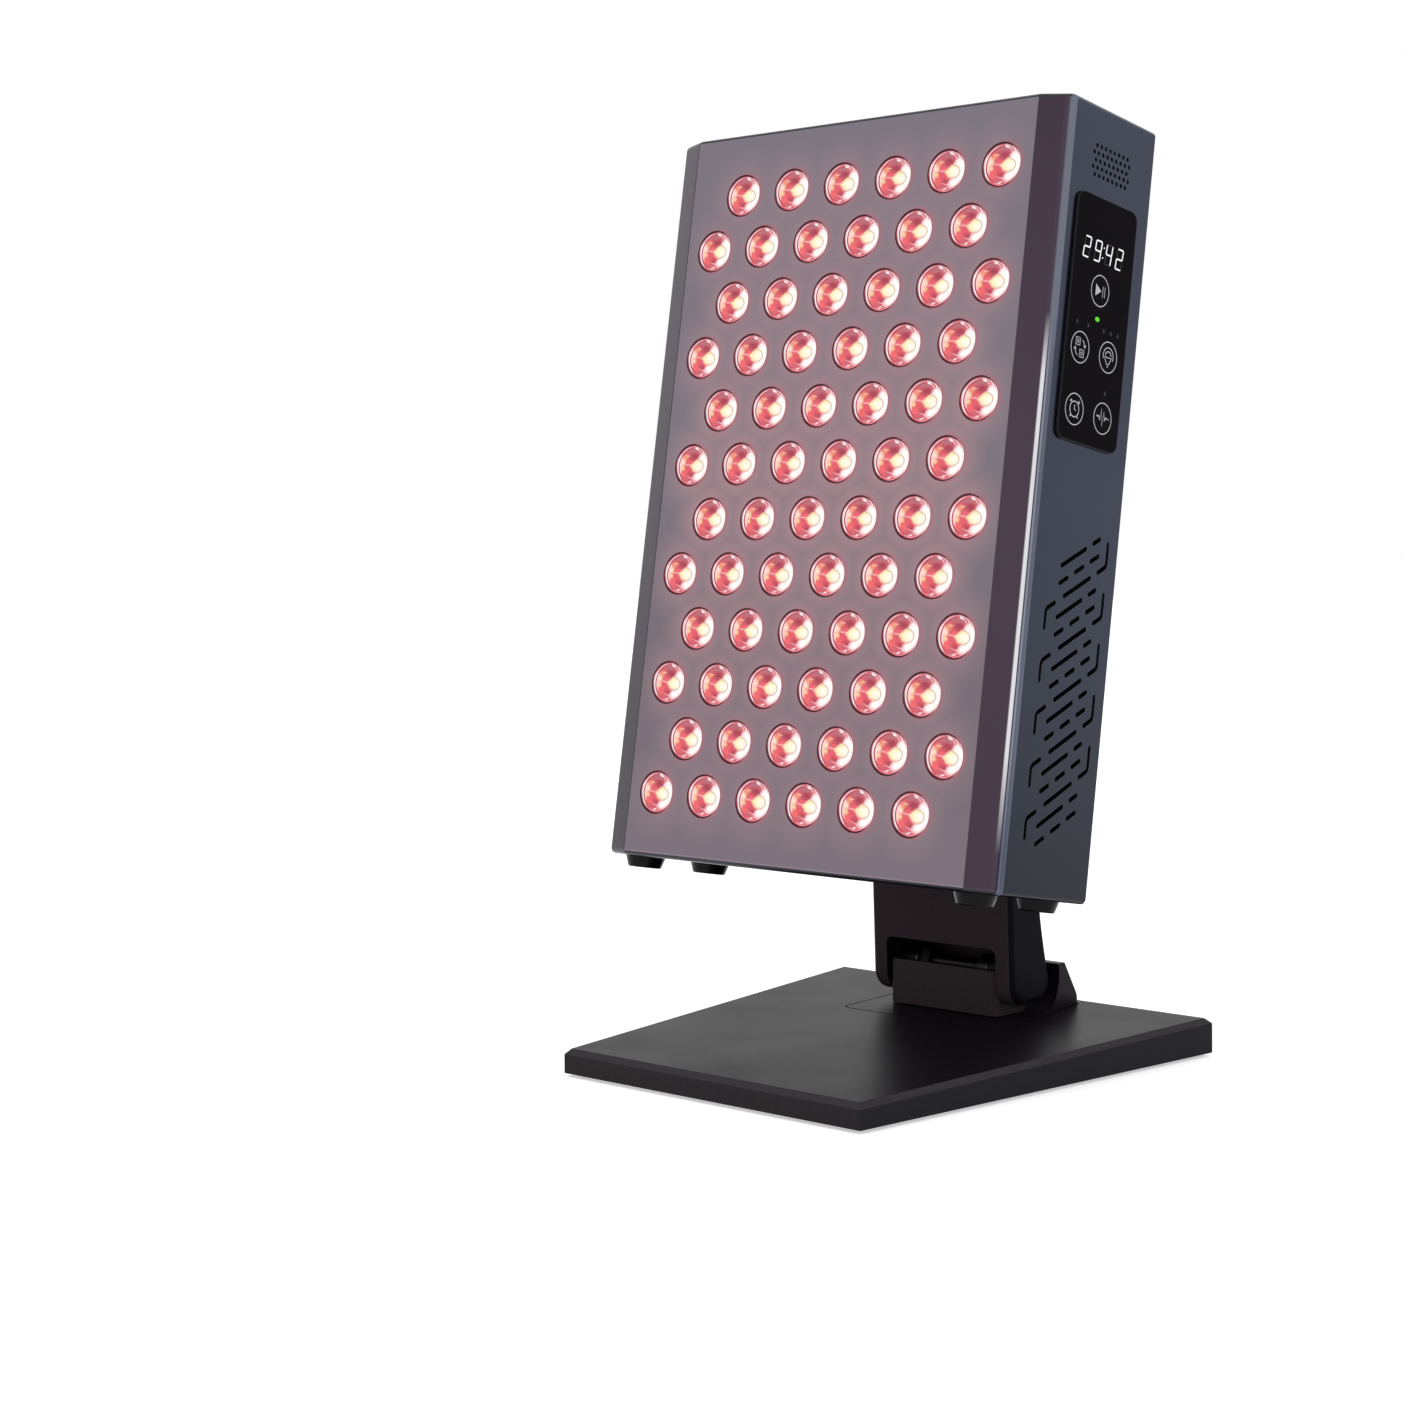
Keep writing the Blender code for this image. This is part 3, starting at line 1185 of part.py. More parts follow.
def fan_rotor(level, height):
    """Fan wheel: hub, pin and curved blades."""
    front = REAR_SEAT - FAN_DEPTH
    name = "fan_rotor_" + level
    top = FAN_DEPTH - FAN_MOTOR_THICKNESS - 2 * GAP
    pin_top = FAN_DEPTH - GAP
    hub = FAN_MOTOR_RADIUS
    ob = turned(name, [(0, pin_top), (FAN_PIN_RADIUS, pin_top), (FAN_PIN_RADIUS, top),
                       (hub, top), (hub, GAP), (0, GAP)], ROUND_SIDES, PANEL)
    ob.location = (0, front, height)
    ob.rotation_euler.x = math.radians(-90)
    blades = fan_blades("fan_blades_" + level, PANEL)
    blades.location = (0, front + OVERRUN, height)
    blades.rotation_euler.x = math.radians(-90)
    fuse(ob, blades)
    return paint(ob, (0.025, 0.025, 0.028), 0.45)


def side_middle():
    """Middle of the space between the backing plate and the side wall."""
    return (HEAD_PLATE_WIDTH / 2 + INNER_HALF) / 2


def power_supply():
    """Driver in a metal case on the left."""
    x = -side_middle()
    low, high = HEAD_RISE - SUPPLY_HEIGHT / 2, HEAD_RISE + SUPPLY_HEIGHT / 2
    ob = box("power_supply", (x - SUPPLY_WIDTH / 2, REAR_SEAT - SUPPLY_DEPTH, low),
             (x + SUPPLY_WIDTH / 2, REAR_SEAT, high), PANEL)
    bevel(ob, SUPPLY_EDGE_ROUND, 1, 60)
    return paint(ob, (0.55, 0.56, 0.58), 0.35, 1.0)


def control_board():
    """Control circuit on the right, on four posts, with its capacitors."""
    x = side_middle()
    half_width, half_height = SUPPLY_WIDTH / 2, SUPPLY_HEIGHT / 2
    back = REAR_SEAT - CONTROL_STANDOFF
    front = back - DISPLAY_BOARD_THICKNESS
    ob = box("control_board", (x - half_width, front, HEAD_RISE - half_height),
             (x + half_width, back, HEAD_RISE + half_height), PANEL)
    inset = 2 * CONTROL_STANDOFF_RADIUS
    posts, parts = bmesh.new(), bmesh.new()
    for side in (-1, 1):
        for end in (-1, 1):
            place = (x + side * (half_width - inset), HEAD_RISE + end * (half_height - inset))
            add_rod(posts, CONTROL_STANDOFF_RADIUS, (place[0], front + GAP, place[1]),
                    (place[0], REAR_SEAT, place[1]), 6)
    for step in (-1, 0, 1):
        z = HEAD_RISE + step * half_height / 2
        add_rod(parts, CONTROL_PART_RADIUS, (x, front - CONTROL_PART_HEIGHT, z),
                (x, back - GAP, z), SMALL_SIDES)
    fuse(ob, make("control_posts", posts, PANEL), make("control_capacitors", parts, PANEL))
    return paint(ob, (0.020, 0.120, 0.060), 0.45)


def touch_panel():
    """Black glass with the touch keys, proud of the right side wall."""
    ob = extruded("touch_panel", [touch_outline(0)], PANEL_HALF + GAP,
                  PANEL_HALF + GAP + TOUCH_THICKNESS, SIDE_PLANE, PANEL)
    return paint(ob, (0.008, 0.007, 0.009), 0.06)


def display_module():
    """Display and key board, its face in the window under the glass."""
    face = PANEL_HALF - GAP
    ob = extruded("display_module", [touch_outline(TOUCH_WINDOW_INSET + 2 * GAP)],
                  INNER_HALF - DISPLAY_DEPTH, face, SIDE_PLANE, PANEL)
    half = (TOUCH_WIDTH - TOUCH_WINDOW_INSET) / 2
    tall = (TOUCH_HEIGHT - TOUCH_WINDOW_INSET) / 2
    board = box("display_board",
                (INNER_HALF - DISPLAY_DEPTH / 2 - DISPLAY_BOARD_THICKNESS, TOUCH_SETBACK - half,
                 TOUCH_RISE - tall),
                (INNER_HALF - DISPLAY_DEPTH / 2, TOUCH_SETBACK + half, TOUCH_RISE + tall), PANEL)
    fuse(ob, board)
    return paint(ob, (0.020, 0.090, 0.050), 0.50)


def speaker():
    """Round speaker behind the holes in the side wall."""
    face = -GAP
    step = face - SPEAKER_FRAME_DEPTH
    back = step - SPEAKER_MAGNET_DEPTH
    ob = turned("speaker", [(0, face), (SPEAKER_RADIUS, face), (SPEAKER_RADIUS, step),
                            (SPEAKER_MAGNET_RADIUS, step), (SPEAKER_MAGNET_RADIUS, back),
                            (0, back)], ROUND_SIDES, PANEL)
    ob.location = (INNER_HALF, SPEAKER_SETBACK, SPEAKER_RISE)
    ob.rotation_euler.y = math.radians(90)
    return paint(ob, (0.030, 0.030, 0.032), 0.60)


def power_inlet():
    """Mains inlet: flanged socket in the rear cover with three pins."""
    x, z = -FITTING_OFFSET, FITTING_RISE
    wide, tall = INLET_WIDTH / 2, INLET_HEIGHT / 2
    face = PANEL_DEPTH + GAP
    outer = face + INLET_FLANGE_THICKNESS
    inner = face - INLET_DEPTH
    ob = box("power_inlet", (x - wide, inner, z - tall), (x + wide, outer - GAP, z + tall), PANEL)
    flange = box("inlet_flange", (x - wide - INLET_FLANGE, face, z - tall - INLET_FLANGE),
                 (x + wide + INLET_FLANGE, outer, z + tall + INLET_FLANGE), PANEL)
    reach, deep = wide - INLET_WALL, tall - INLET_WALL
    socket = box("inlet_socket", (x - reach, inner + INLET_FLOOR, z - deep),
                 (x + reach, outer + OVERRUN, z + deep), PANEL)
    bm = bmesh.new()
    for step in (-1, 0, 1):
        shift = INLET_PIN_OFFSET if step == 0 else -INLET_PIN_OFFSET
        centre = Vector((x + step * INLET_PIN_PITCH, 0, z + shift))
        half = Vector((INLET_PIN_WIDTH / 2, 0, INLET_PIN_HEIGHT / 2))
        add_box(bm, centre - half + Vector((0, inner + INLET_FLOOR / 2, 0)),
                centre + half + Vector((0, inner + INLET_FLOOR + INLET_PIN_LENGTH, 0)))
    fuse(ob, flange)
    cut(ob, socket)
    fuse(ob, make("inlet_pins", bm, PANEL))
    return paint(ob, (0.018, 0.018, 0.020), 0.40)


def switch_body():
    """Frame and well of the power switch."""
    x, z = FITTING_OFFSET, FITTING_RISE
    wide, tall = SWITCH_WIDTH / 2, SWITCH_HEIGHT / 2
    face = PANEL_DEPTH + GAP
    outer = face + SWITCH_FLANGE_THICKNESS
    inner = face - SWITCH_DEPTH
    ob = box("switch_body", (x - wide, inner, z - tall), (x + wide, outer - GAP, z + tall), PANEL)
    flange = box("switch_flange", (x - wide - SWITCH_FLANGE, face, z - tall - SWITCH_FLANGE),
                 (x + wide + SWITCH_FLANGE, outer, z + tall + SWITCH_FLANGE), PANEL)
    reach, deep = wide - SWITCH_WALL, tall - SWITCH_WALL
    well = box("switch_well", (x - reach, inner + SWITCH_DEPTH / 2, z - deep),
               (x + reach, outer + OVERRUN, z + deep), PANEL)
    end = wide - SWITCH_WALL / 2
    pin = rod("switch_pin_bore", clear_of(ROCKER_PIN_RADIUS, SMALL_SIDES),
              (x - end, rocker_axis(), z), (x + end, rocker_axis(), z), SMALL_SIDES, PANEL)
    fuse(ob, flange)
    cut(ob, well, pin)
    return paint(ob, (0.015, 0.015, 0.017), 0.40)


def rocker_axis():
    """Setback of the rocker's pin."""
    return PANEL_DEPTH + SWITCH_FLANGE_THICKNESS - ROCKER_THICKNESS / 2


def switch_rocker():
    """Rocker of the power switch, pressed in at its top."""
    half = SWITCH_HEIGHT / 2 - SWITCH_WALL - 3 * GAP
    low, high = -ROCKER_THICKNESS / 2, ROCKER_THICKNESS / 2
    crown = high + ROCKER_PROUD
    outline = [(low, -half), (low, half), (crown, half), (high, 0), (crown, -half)]
    wide = SWITCH_WIDTH / 2 - SWITCH_WALL - GAP
    ob = extruded("switch_rocker", [outline], -wide, wide, SIDE_PLANE, PANEL)
    pin_reach = wide + SWITCH_WALL / 2
    pin = rod("rocker_pin", ROCKER_PIN_RADIUS, (-pin_reach, 0, 0), (pin_reach, 0, 0),
              SMALL_SIDES, PANEL)
    for piece in (ob, pin):
        piece.location = (FITTING_OFFSET, rocker_axis(), FITTING_RISE)
        piece.rotation_euler.x = ROCKER_TILT
    fuse(ob, pin)
    return paint(ob, (0.015, 0.015, 0.017), 0.30)


def foot(name, place):
    """Tapered rubber foot with a stem in the housing's bottom wall."""
    ob = turned(name, [(0, FOOT_STEM_LENGTH), (FOOT_STEM_RADIUS, FOOT_STEM_LENGTH),
                       (FOOT_STEM_RADIUS, -GAP), (FOOT_TOP_RADIUS, -GAP),
                       (FOOT_BOTTOM_RADIUS, -GAP - FOOT_HEIGHT), (0, -GAP - FOOT_HEIGHT)],
                FOOT_SIDES, PANEL)
    ob.location = (place[0], place[1], 0)
    return paint(ob, (0.012, 0.012, 0.013), 0.75)


def build_stand():
    """Base, base hinge and arm."""
    base_shell()
    ballast_plate()
    base_pad()
    hinge_seat()
    hinge_cover()
    base_bracket()
    bracket_screw("bracket_screw_left", -1)
    bracket_screw("bracket_screw_right", 1)
    base_shaft()
    disc_spring("disc_spring_left", -1)
    disc_spring("disc_spring_right", 1)
    lock_nut()
    arm_shell()
    arm_rear_cover()
    hinge_cap()


def build_head():
    """Head hinge and the bracket on the panel's back."""
    head_bolt()
    head_nut()
    head_washer("head_washer_left", -1)
    head_washer("head_washer_right", 1)
    head_bracket()
    for number, place in enumerate(head_screw_places(), start=1):
        head_screw("head_screw_%d" % number, place)


def build_panel():
    """Lamp panel with everything inside it."""
    front_housing()
    rear_cover()
    backing_plate()
    led_board()
    for name, place in spacer_places().items():
        spacer(name, place)
    heatsink()
    for level, height in fan_centres().items():
        fan_frame(level, height)
        fan_rotor(level, height)
    power_supply()
    control_board()
    touch_panel()
    display_module()
    speaker()
    power_inlet()
    switch_body()
    switch_rocker()
    for name, place in foot_places().items():
        foot(name, place)


build_stand()
build_head()
build_panel()
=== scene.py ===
"""Visual model of a red light therapy panel on a desk stand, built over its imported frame."""
import json
import math

import bmesh
import bpy
from bpy.props import FloatProperty, FloatVectorProperty, PointerProperty
from mathutils import Matrix, Vector

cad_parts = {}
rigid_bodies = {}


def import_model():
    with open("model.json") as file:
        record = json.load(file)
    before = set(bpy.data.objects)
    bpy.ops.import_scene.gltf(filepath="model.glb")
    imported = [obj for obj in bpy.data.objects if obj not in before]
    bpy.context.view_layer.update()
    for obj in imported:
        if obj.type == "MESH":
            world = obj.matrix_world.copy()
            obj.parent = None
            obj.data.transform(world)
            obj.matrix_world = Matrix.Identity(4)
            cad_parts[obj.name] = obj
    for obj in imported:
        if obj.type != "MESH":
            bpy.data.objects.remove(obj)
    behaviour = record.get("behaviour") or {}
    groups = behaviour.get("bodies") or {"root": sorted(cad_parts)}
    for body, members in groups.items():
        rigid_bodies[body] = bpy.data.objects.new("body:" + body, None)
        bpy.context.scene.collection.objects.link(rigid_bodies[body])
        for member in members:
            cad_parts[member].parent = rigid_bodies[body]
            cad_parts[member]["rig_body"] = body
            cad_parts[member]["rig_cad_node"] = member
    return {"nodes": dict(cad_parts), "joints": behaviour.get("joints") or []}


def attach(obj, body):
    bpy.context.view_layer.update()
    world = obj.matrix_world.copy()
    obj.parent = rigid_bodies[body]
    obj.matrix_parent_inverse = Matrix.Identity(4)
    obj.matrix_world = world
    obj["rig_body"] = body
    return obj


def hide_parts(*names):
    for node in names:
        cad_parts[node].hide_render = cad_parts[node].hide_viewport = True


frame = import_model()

bl_info = {
    "name": "Red light therapy panel",
    "version": (1, 0, 0),
    "blender": (4, 5, 0),
    "location": "3D View > Sidebar > Light Panel",
    "description": "Models and paints the pieces of a desk-top red light therapy panel",
    "category": "Object",
}

# Frame of the panel and of the arm
NODES = frame["nodes"]
JOINTS = {joint["name"]: joint for joint in frame["joints"]}
RIGHT = Vector((1, 0, 0))
PANEL_BACK = Vector(JOINTS["fan_spin_upper"]["axis"]).normalized()
PANEL_AXES = Matrix((RIGHT, PANEL_BACK, RIGHT.cross(PANEL_BACK))).transposed()
BASE_HINGE = Vector(JOINTS["base_tilt"]["pos_m"])
HEAD_HINGE = Vector(JOINTS["head_tilt"]["pos_m"])
ARM_UP = (HEAD_HINGE - BASE_HINGE).normalized()
ARM_AXES = Matrix((RIGHT, ARM_UP.cross(RIGHT), ARM_UP)).transposed()
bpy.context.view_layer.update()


def span(node, place):
    """Lowest and highest corner of a frame node, measured along the axes of a place."""
    inward = place.inverted()
    points = [inward @ vertex.co for vertex in NODES[node].data.vertices]
    return (Vector([min(p[i] for p in points) for i in range(3)]),
            Vector([max(p[i] for p in points) for i in range(3)]))


def heart_of(node, place):
    """Middle of a frame node, measured along the axes of a place."""
    low, high = span(node, place)
    return (low + high) / 2


def panel_place():
    """Place of the panel: origin at the foot of the front plate's middle line."""
    low = span("front_housing", PANEL_AXES.to_4x4())[0]
    return Matrix.Translation(PANEL_AXES @ Vector((0, low.y, low.z))) @ PANEL_AXES.to_4x4()


WORLD = Matrix.Identity(4)
PANEL = panel_place()
ARM = Matrix.Translation(BASE_HINGE) @ ARM_AXES.to_4x4()

# Sizes read from the frame
PANEL_HALF, PANEL_DEPTH, PANEL_HEIGHT = span("front_housing", PANEL)[1]
TOUCH_LOW, TOUCH_HIGH = span("touch_panel", PANEL)
BOARD_LOW, BOARD_HIGH = span("led_board", PANEL)
BASE_LOW, BASE_HIGH = span("base_shell", WORLD)
SEAT_LOW, SEAT_HIGH = span("hinge_seat", WORLD)
ARM_LOW, ARM_HIGH = span("arm_shell", ARM)
ARM_REACH = (HEAD_HINGE - BASE_HINGE).length

# Clearance round a fitted piece, overrun of a cutter, and what counts as near or the same place
GAP = 0.0003
OVERRUN = 0.002
NEAR = 0.00002
MERGE_REACH = 0.000002

# Sheet housing
SHEET = 0.0015
CHAMFER_WIDTH = 0.0150
CHAMFER_DEPTH = 0.0058
FLAT_HALF = PANEL_HALF - CHAMFER_WIDTH
CREASE_ROUND = 0.0008
RIM_BREAK = 0.00018

# Lens field
LENS_ROWS = 12
LENS_COLUMNS = 6
ROW_SHARE = math.sin(math.radians(60))
LENS_DEPTH = 0.0120
LENS_TIP_SHARE = 0.5
# Steps of a lens's face from its rim inwards: width and depth
LENS_STEPS = ((0.0005, 0.0), (0.00015, 0.0003), (0.0008, 0.0), (0.0012, -0.00012),
              (0.0022, -0.00008), (0.0028, -0.00004))
LAMP_BOARD_THICKNESS = 0.0020
LAMP_BOARD_ROUND = 0.003

# Radius of a slot's round end, as a share of its width
ROUND_END = 0.499

# Side wall openings
VENT_WIDTH = 0.0021
VENT_ANGLE = math.radians(30)
VENT_PITCH = 0.0075
VENT_FRONT = 0.0199
VENT_BACK = PANEL_DEPTH - 0.0078
VENT_FOOT = 0.0187
VENT_GROUPS = 6
VENT_FRONT_LEG = 0.0093
VENT_BACK_LEG = 0.0110
VENT_BEND = 0.0030
VENT_SHORT_SHARES = ((0.198, 0.321), (0.453, 0.583), (0.715, 0.840))
VENT_LONG_SHARES = ((0.205, 0.604), (0.736, 0.840))
VENT_MIDDLE_SHARES = ((0.295, 0.722),)
VENT_FRONT_SHARE = 0.163
SPEAKER_SETBACK = 0.0379
SPEAKER_RISE = PANEL_HEIGHT - 0.0246
SPEAKER_RADIUS = 0.00102
SPEAKER_PITCH = 0.00345
SPEAKER_ROW_PITCH = 0.00323
SPEAKER_ROWS = (8, 9, 8, 9, 8)
TOUCH_ROUND = 0.0048
TOUCH_WINDOW_INSET = 0.0030
FOOT_STEM_HOLE = 0.0025
FOOT_NODES = ("foot_front_left", "foot_front_right", "foot_rear_left", "foot_rear_right")

# Marks on the touch glass, measured from its middle
PRINT_DEPTH = 0.00008
MARK_DEPTH = 0.9 * PRINT_DEPTH
RING_RADIUS = 0.0068
RING_LINE = 0.00044
ICON_LINE = 0.00048
KEY_FRONT = -0.0123
KEY_BACK = 0.0096
KEY_UPPER = -0.0133
KEY_LOWER = -0.0405
RUN_KEY = (-0.0011, 0.0140)
RUN_LAMP = (-0.0013, 0.0014)
UNLIT_LAMPS = ((-0.0162, -0.0027), (-0.0076, -0.0027), (0.0043, -0.0027), (0.0100, -0.0027),
               (0.0154, -0.0027), (KEY_BACK, -0.0295))
CLOCK_MIDDLE = (-0.0013, 0.0309)
DIGIT_PITCH = 0.0084
DIGIT_WIDTH = 0.0043
DIGIT_HEIGHT = 0.0090
DIGIT_LINE = 0.00065
DIGIT_LEAN = math.radians(8)
DIGIT_TRIM = 0.10
DIGIT_TIP = 0.42
GLASS_RIM = 0.0006

# Stand
SEAT_ROUND = 0.0040
SEAT_CREST_DEPTH = 0.0005
SEAT_CREST_ROUND = 0.0020
SEAM = 0.0008
COVER_ROUND = 0.0030
COVER_WALL = 0.0016
BASE_WALL = 0.0025
BASE_FRONT_HALF = 0.0863
BASE_FRONT_HEIGHT = 0.0127
BASE_BREAK = 0.0002
CRADLE_RADIUS = 0.0205
CRADLE_DROP = 0.0030
CRADLE_REACH = 0.0250
ARM_HALF = ARM_HIGH.x
ARM_HEEL_FRONT = 0.0160
ARM_HEEL_BACK = 0.0158
ARM_HEEL_ROUND = 0.0103
ARM_BACK = 0.0105
ARM_NECK_RISE = 0.0370
ARM_NECK_STEPS = 6
ARM_NECK_CURVE = 1.5
ARM_PLATE_ROUND = 0.002
ARM_EAR = 0.0091
ARM_NOTCH_RISE = 0.0134
ARM_NOTCH_ROUND = 0.0035
NOTCH_SWING = 0.0129
HEAD_NOTCH_HALF = 0.0200
HEAD_NOTCH_DEPTH = 0.0135
HEAD_NOTCH_ROUND = 0.002
SHAFT_BORE = 0.0043
NUT_RECESS = 0.0068
NUT_WIDTH = 0.0047
FOOT_RADIUS = 0.0095
FOOT_TIP_RADIUS = 0.0078
FOOT_STEM_RADIUS = 0.0022
FOOT_RIM = 0.0008
EDGE_BREAK = 0.0003
WIDE_BREAK = 0.0004


def paint(name, description, default):
    """Colour that a user can change."""
    return FloatVectorProperty(name=name, description=description, default=default, size=3,
                               min=0, max=1, subtype="COLOR")


def length(name, description, default, low, high):
    """Length that a user can change."""
    return FloatProperty(name=name, description=description, default=default, min=low, max=high,
                         subtype="DISTANCE", unit="LENGTH")


class PanelLook(bpy.types.PropertyGroup):
    """Sizes and colours of the sheet housing and its lenses."""
    bend_round: length("Bend radius", "Radius of the sheet's bends", 0.0026, 0.0005, 0.004)
    hole_radius: length("Lens hole radius", "Radius of the holes in the plate",
                        0.01025, 0.009, 0.0108)
    lens_radius: length("Lens radius", "Radius of a lens at its face", 0.0100, 0.008, 0.0105)
    lens_pitch: length("Lens pitch", "Distance between neighbouring lenses",
                       0.0300, 0.025, 0.030)
    plate_colour: paint("Plate", "Paint of the front plate", (0.205, 0.175, 0.208))
    # Painted red light from the lenses, on the plate round them.
    plate_red_light: paint("Glow on plate", "Colour of the plate between the lit lenses",
                      (0.385, 0.240, 0.268))
    # The chamfers and walls are the plate's one paint. Their colours are painted light and shade:
    # the left chamfer lighter, the right chamfer darker, the walls a darker blue-grey.
    left_chamfer_lit_colour: paint("Left chamfer", "Paint of the left chamfer", (0.0720, 0.0600, 0.0770))
    right_chamfer_shaded_colour: paint("Right chamfer", "Paint of the right chamfer", (0.068, 0.048, 0.070))
    wall_shaded_colour: paint("Walls", "Paint of the side walls", (0.0362, 0.0430, 0.0670))
    # The fold colour is a painted highlight along the bend.
    fold_highlight_colour: paint("Fold", "Bright line along the wall's bend", (0.80, 0.80, 0.84))
    lens_glow: FloatProperty(name="Glow strength", description="Strength of the lamps' light",
                             default=1.0, min=0, max=5)


class TouchLook(bpy.types.PropertyGroup):
    """Colours of the touch glass."""
    glass_colour: paint("Glass", "Colour of the black glass", (0.0038, 0.0030, 0.0046))
    print_colour: paint("Print", "Colour of the key marks", (0.50, 0.50, 0.52))
    unlit_colour: paint("Unlit bars", "Colour of the unlit bars", (0.034, 0.029, 0.033))
    dot_colour: paint("Unlit lamps", "Colour of the unlit lamps", (0.034, 0.037, 0.050))
    digit_colour: paint("Digits", "Colour of the lit display segments", (0.95, 0.96, 1.0))
    lamp_colour: paint("Run lamp", "Colour of the small running lamp", (0.10, 0.60, 0.03))


class StandLook(bpy.types.PropertyGroup):
    """Sizes and colours of the arm and the base."""
    base_colour: paint("Base", "Colour of the base's plastic", (0.0048, 0.0034, 0.0056))
    arm_colour: paint("Arm", "Colour of the arm's paint", (0.0400, 0.0290, 0.0340))
    rim_chamfer: length("Base rim", "Width of the chamfer round the base's top",
                        0.0025, 0.0005, 0.003)
    arm_round: length("Arm edge", "Radius of the arm's long edges", 0.0032, 0.001, 0.006)
    grain: length("Grain", "Size of the plastic's grain", 0.0006, 0.0002, 0.002)


class StageLook(bpy.types.PropertyGroup):
    """Floor, lights and camera."""
    floor_colour: paint("Floor", "Colour of the floor", (0.90, 0.90, 0.90))
    floor_lift: FloatProperty(name="Floor lift", description="White added where the floor is seen",
                              default=0.45, min=0, max=1)
    key_power: FloatProperty(name="Key light", description="Power of the large lamp", default=14.0,
                             min=0, unit="POWER")
    fill_power: FloatProperty(name="Fill light", description="Power of the weaker lamp",
                              default=6.0, min=0, unit="POWER")
    world_light: FloatProperty(name="Surroundings", default=0.92, min=0, max=2,
                               description="Strength of the plain surroundings")


# Workbench
def let_go():
    """Leaves edit mode with nothing selected."""
    if bpy.context.mode != "OBJECT":
        bpy.ops.object.mode_set(mode="OBJECT")
    bpy.ops.object.select_all(action="DESELECT")


def take(*pieces):
    """Selects pieces, the last one active."""
    let_go()
    for piece in pieces:
        piece.select_set(True)
    bpy.context.view_layer.objects.active = pieces[-1]
    return pieces[-1]


def edit_all(piece):
    """Opens a piece for editing with all of it selected."""
    take(piece)
    bpy.ops.object.mode_set(mode="EDIT")
    bpy.ops.mesh.select_all(action="SELECT")


def settle(piece):
    """Puts a piece's place, turn and size into its mesh."""
    take(piece)
    bpy.ops.object.transform_apply(location=True, rotation=True, scale=True)
    return piece


def block(name, low, high):
    """Box between two corners, ready to be shaped."""
    let_go()
    low, high = Vector(low), Vector(high)
    bpy.ops.mesh.primitive_cube_add(size=1, location=(low + high) / 2)
    piece = bpy.context.object
    piece.name = piece.data.name = name
    piece.scale = high - low
    return settle(piece)


def bar(name, radius, start, end, sides, far_radius=None):
    """Round bar between two points, or a cone where the far radius differs."""
    let_go()
    start, end = Vector(start), Vector(end)
    along = end - start
    turn = along.to_track_quat("Z", "Y").to_euler()
    far = radius if far_radius is None else far_radius
    bpy.ops.mesh.primitive_cone_add(vertices=sides, radius1=radius, radius2=far,
                                    depth=along.length, location=(start + end) / 2, rotation=turn)
    piece = bpy.context.object
    piece.name = piece.data.name = name
    return settle(piece)


def pick(piece, kind, test):
    """Selects the faces, edges or corners of a piece that pass a test, in edit mode."""
    take(piece)
    bpy.ops.object.mode_set(mode="EDIT")
    bpy.ops.mesh.select_mode(type=kind)
    bpy.ops.mesh.select_all(action="DESELECT")
    form = bmesh.from_edit_mesh(piece.data)
    parts = {"FACE": form.faces, "EDGE": form.edges, "VERT": form.verts}[kind]
    chosen = [part for part in parts if test(part)]
    for part in chosen:
        part.select_set(True)
    bmesh.update_edit_mesh(piece.data)
    return len(chosen)


def middle(part):
    """Middle of an edge or a face."""
    if hasattr(part, "calc_center_median"):
        return part.calc_center_median()
    return (part.verts[0].co + part.verts[1].co) / 2


def along(edge, axis):
    """Whether an edge runs along an axis."""
    run = (edge.verts[1].co - edge.verts[0].co).normalized()
    return abs(run[axis]) > 0.999


def slice_at(piece, point, normal):
    """Cuts new edges where a plane crosses a piece."""
    edit_all(piece)
    bpy.ops.mesh.bisect(plane_co=point, plane_no=normal)
    let_go()


def shift(piece, test, step):
    """Moves the corners that pass a test."""
    pick(piece, "VERT", test)
    bpy.ops.transform.translate(value=step)
    let_go()


def round_edges(piece, test, width, segments, profile=0.5):
    """Bevels the edges that pass a test."""
    if pick(piece, "EDGE", test):
        bpy.ops.mesh.bevel(offset=width, segments=segments, profile=profile, affect="EDGES",
                           clamp_overlap=True)
    let_go()
    return piece


def modify(piece, kind, **settings):
    """Adds a modifier with its settings and applies it."""
    take(piece)
    made = piece.modifiers.new(kind.lower(), kind)
    for key, value in settings.items():
        setattr(made, key, value)
    bpy.ops.object.modifier_apply(modifier=made.name)
    return piece


def break_edges(piece, width, segments, angle=40):
    """Takes the sharpness off all edges steeper than an angle."""
    modify(piece, "BEVEL", width=width, segments=segments, limit_method="ANGLE",
           angle_limit=math.radians(angle), use_clamp_overlap=True)
    edit_all(piece)
    bpy.ops.mesh.dissolve_degenerate(threshold=MERGE_REACH)
    let_go()
    return piece


def copy_of(piece, name, place=WORLD):
    """Copy of a piece with its own mesh, moved by a matrix."""
    twin = piece.copy()
    twin.data = piece.data.copy()
    twin.name = twin.data.name = name
    bpy.context.scene.collection.objects.link(twin)
    twin.matrix_world = place
    return settle(twin)


def joined(name, pieces):
    """One piece from several."""
    whole = take(*pieces)
    if len(pieces) > 1:
        bpy.ops.object.join()
    whole.name = whole.data.name = name
    return whole


def cut(piece, *tools):
    """Cuts each tool out of a piece and takes the tool away."""
    for tool in tools:
        modify(piece, "BOOLEAN", operation="DIFFERENCE", solver="EXACT", object=tool)
        mesh = tool.data
        bpy.data.objects.remove(tool)
        bpy.data.meshes.remove(mesh)
    return piece


def weld(piece):
    """Merges corners that share a place, with faces round holes cut up first."""
    edit_all(piece)
    bpy.ops.mesh.quads_convert_to_tris(quad_method="BEAUTY", ngon_method="BEAUTY")
    bpy.ops.mesh.remove_doubles(threshold=MERGE_REACH)
    let_go()
    return piece


def clean(piece, angle=0.5):
    """Dissolves edges between level faces."""
    edit_all(piece)
    bpy.ops.mesh.remove_doubles(threshold=MERGE_REACH)
    bpy.ops.mesh.dissolve_limited(angle_limit=math.radians(angle))
    let_go()
    return piece


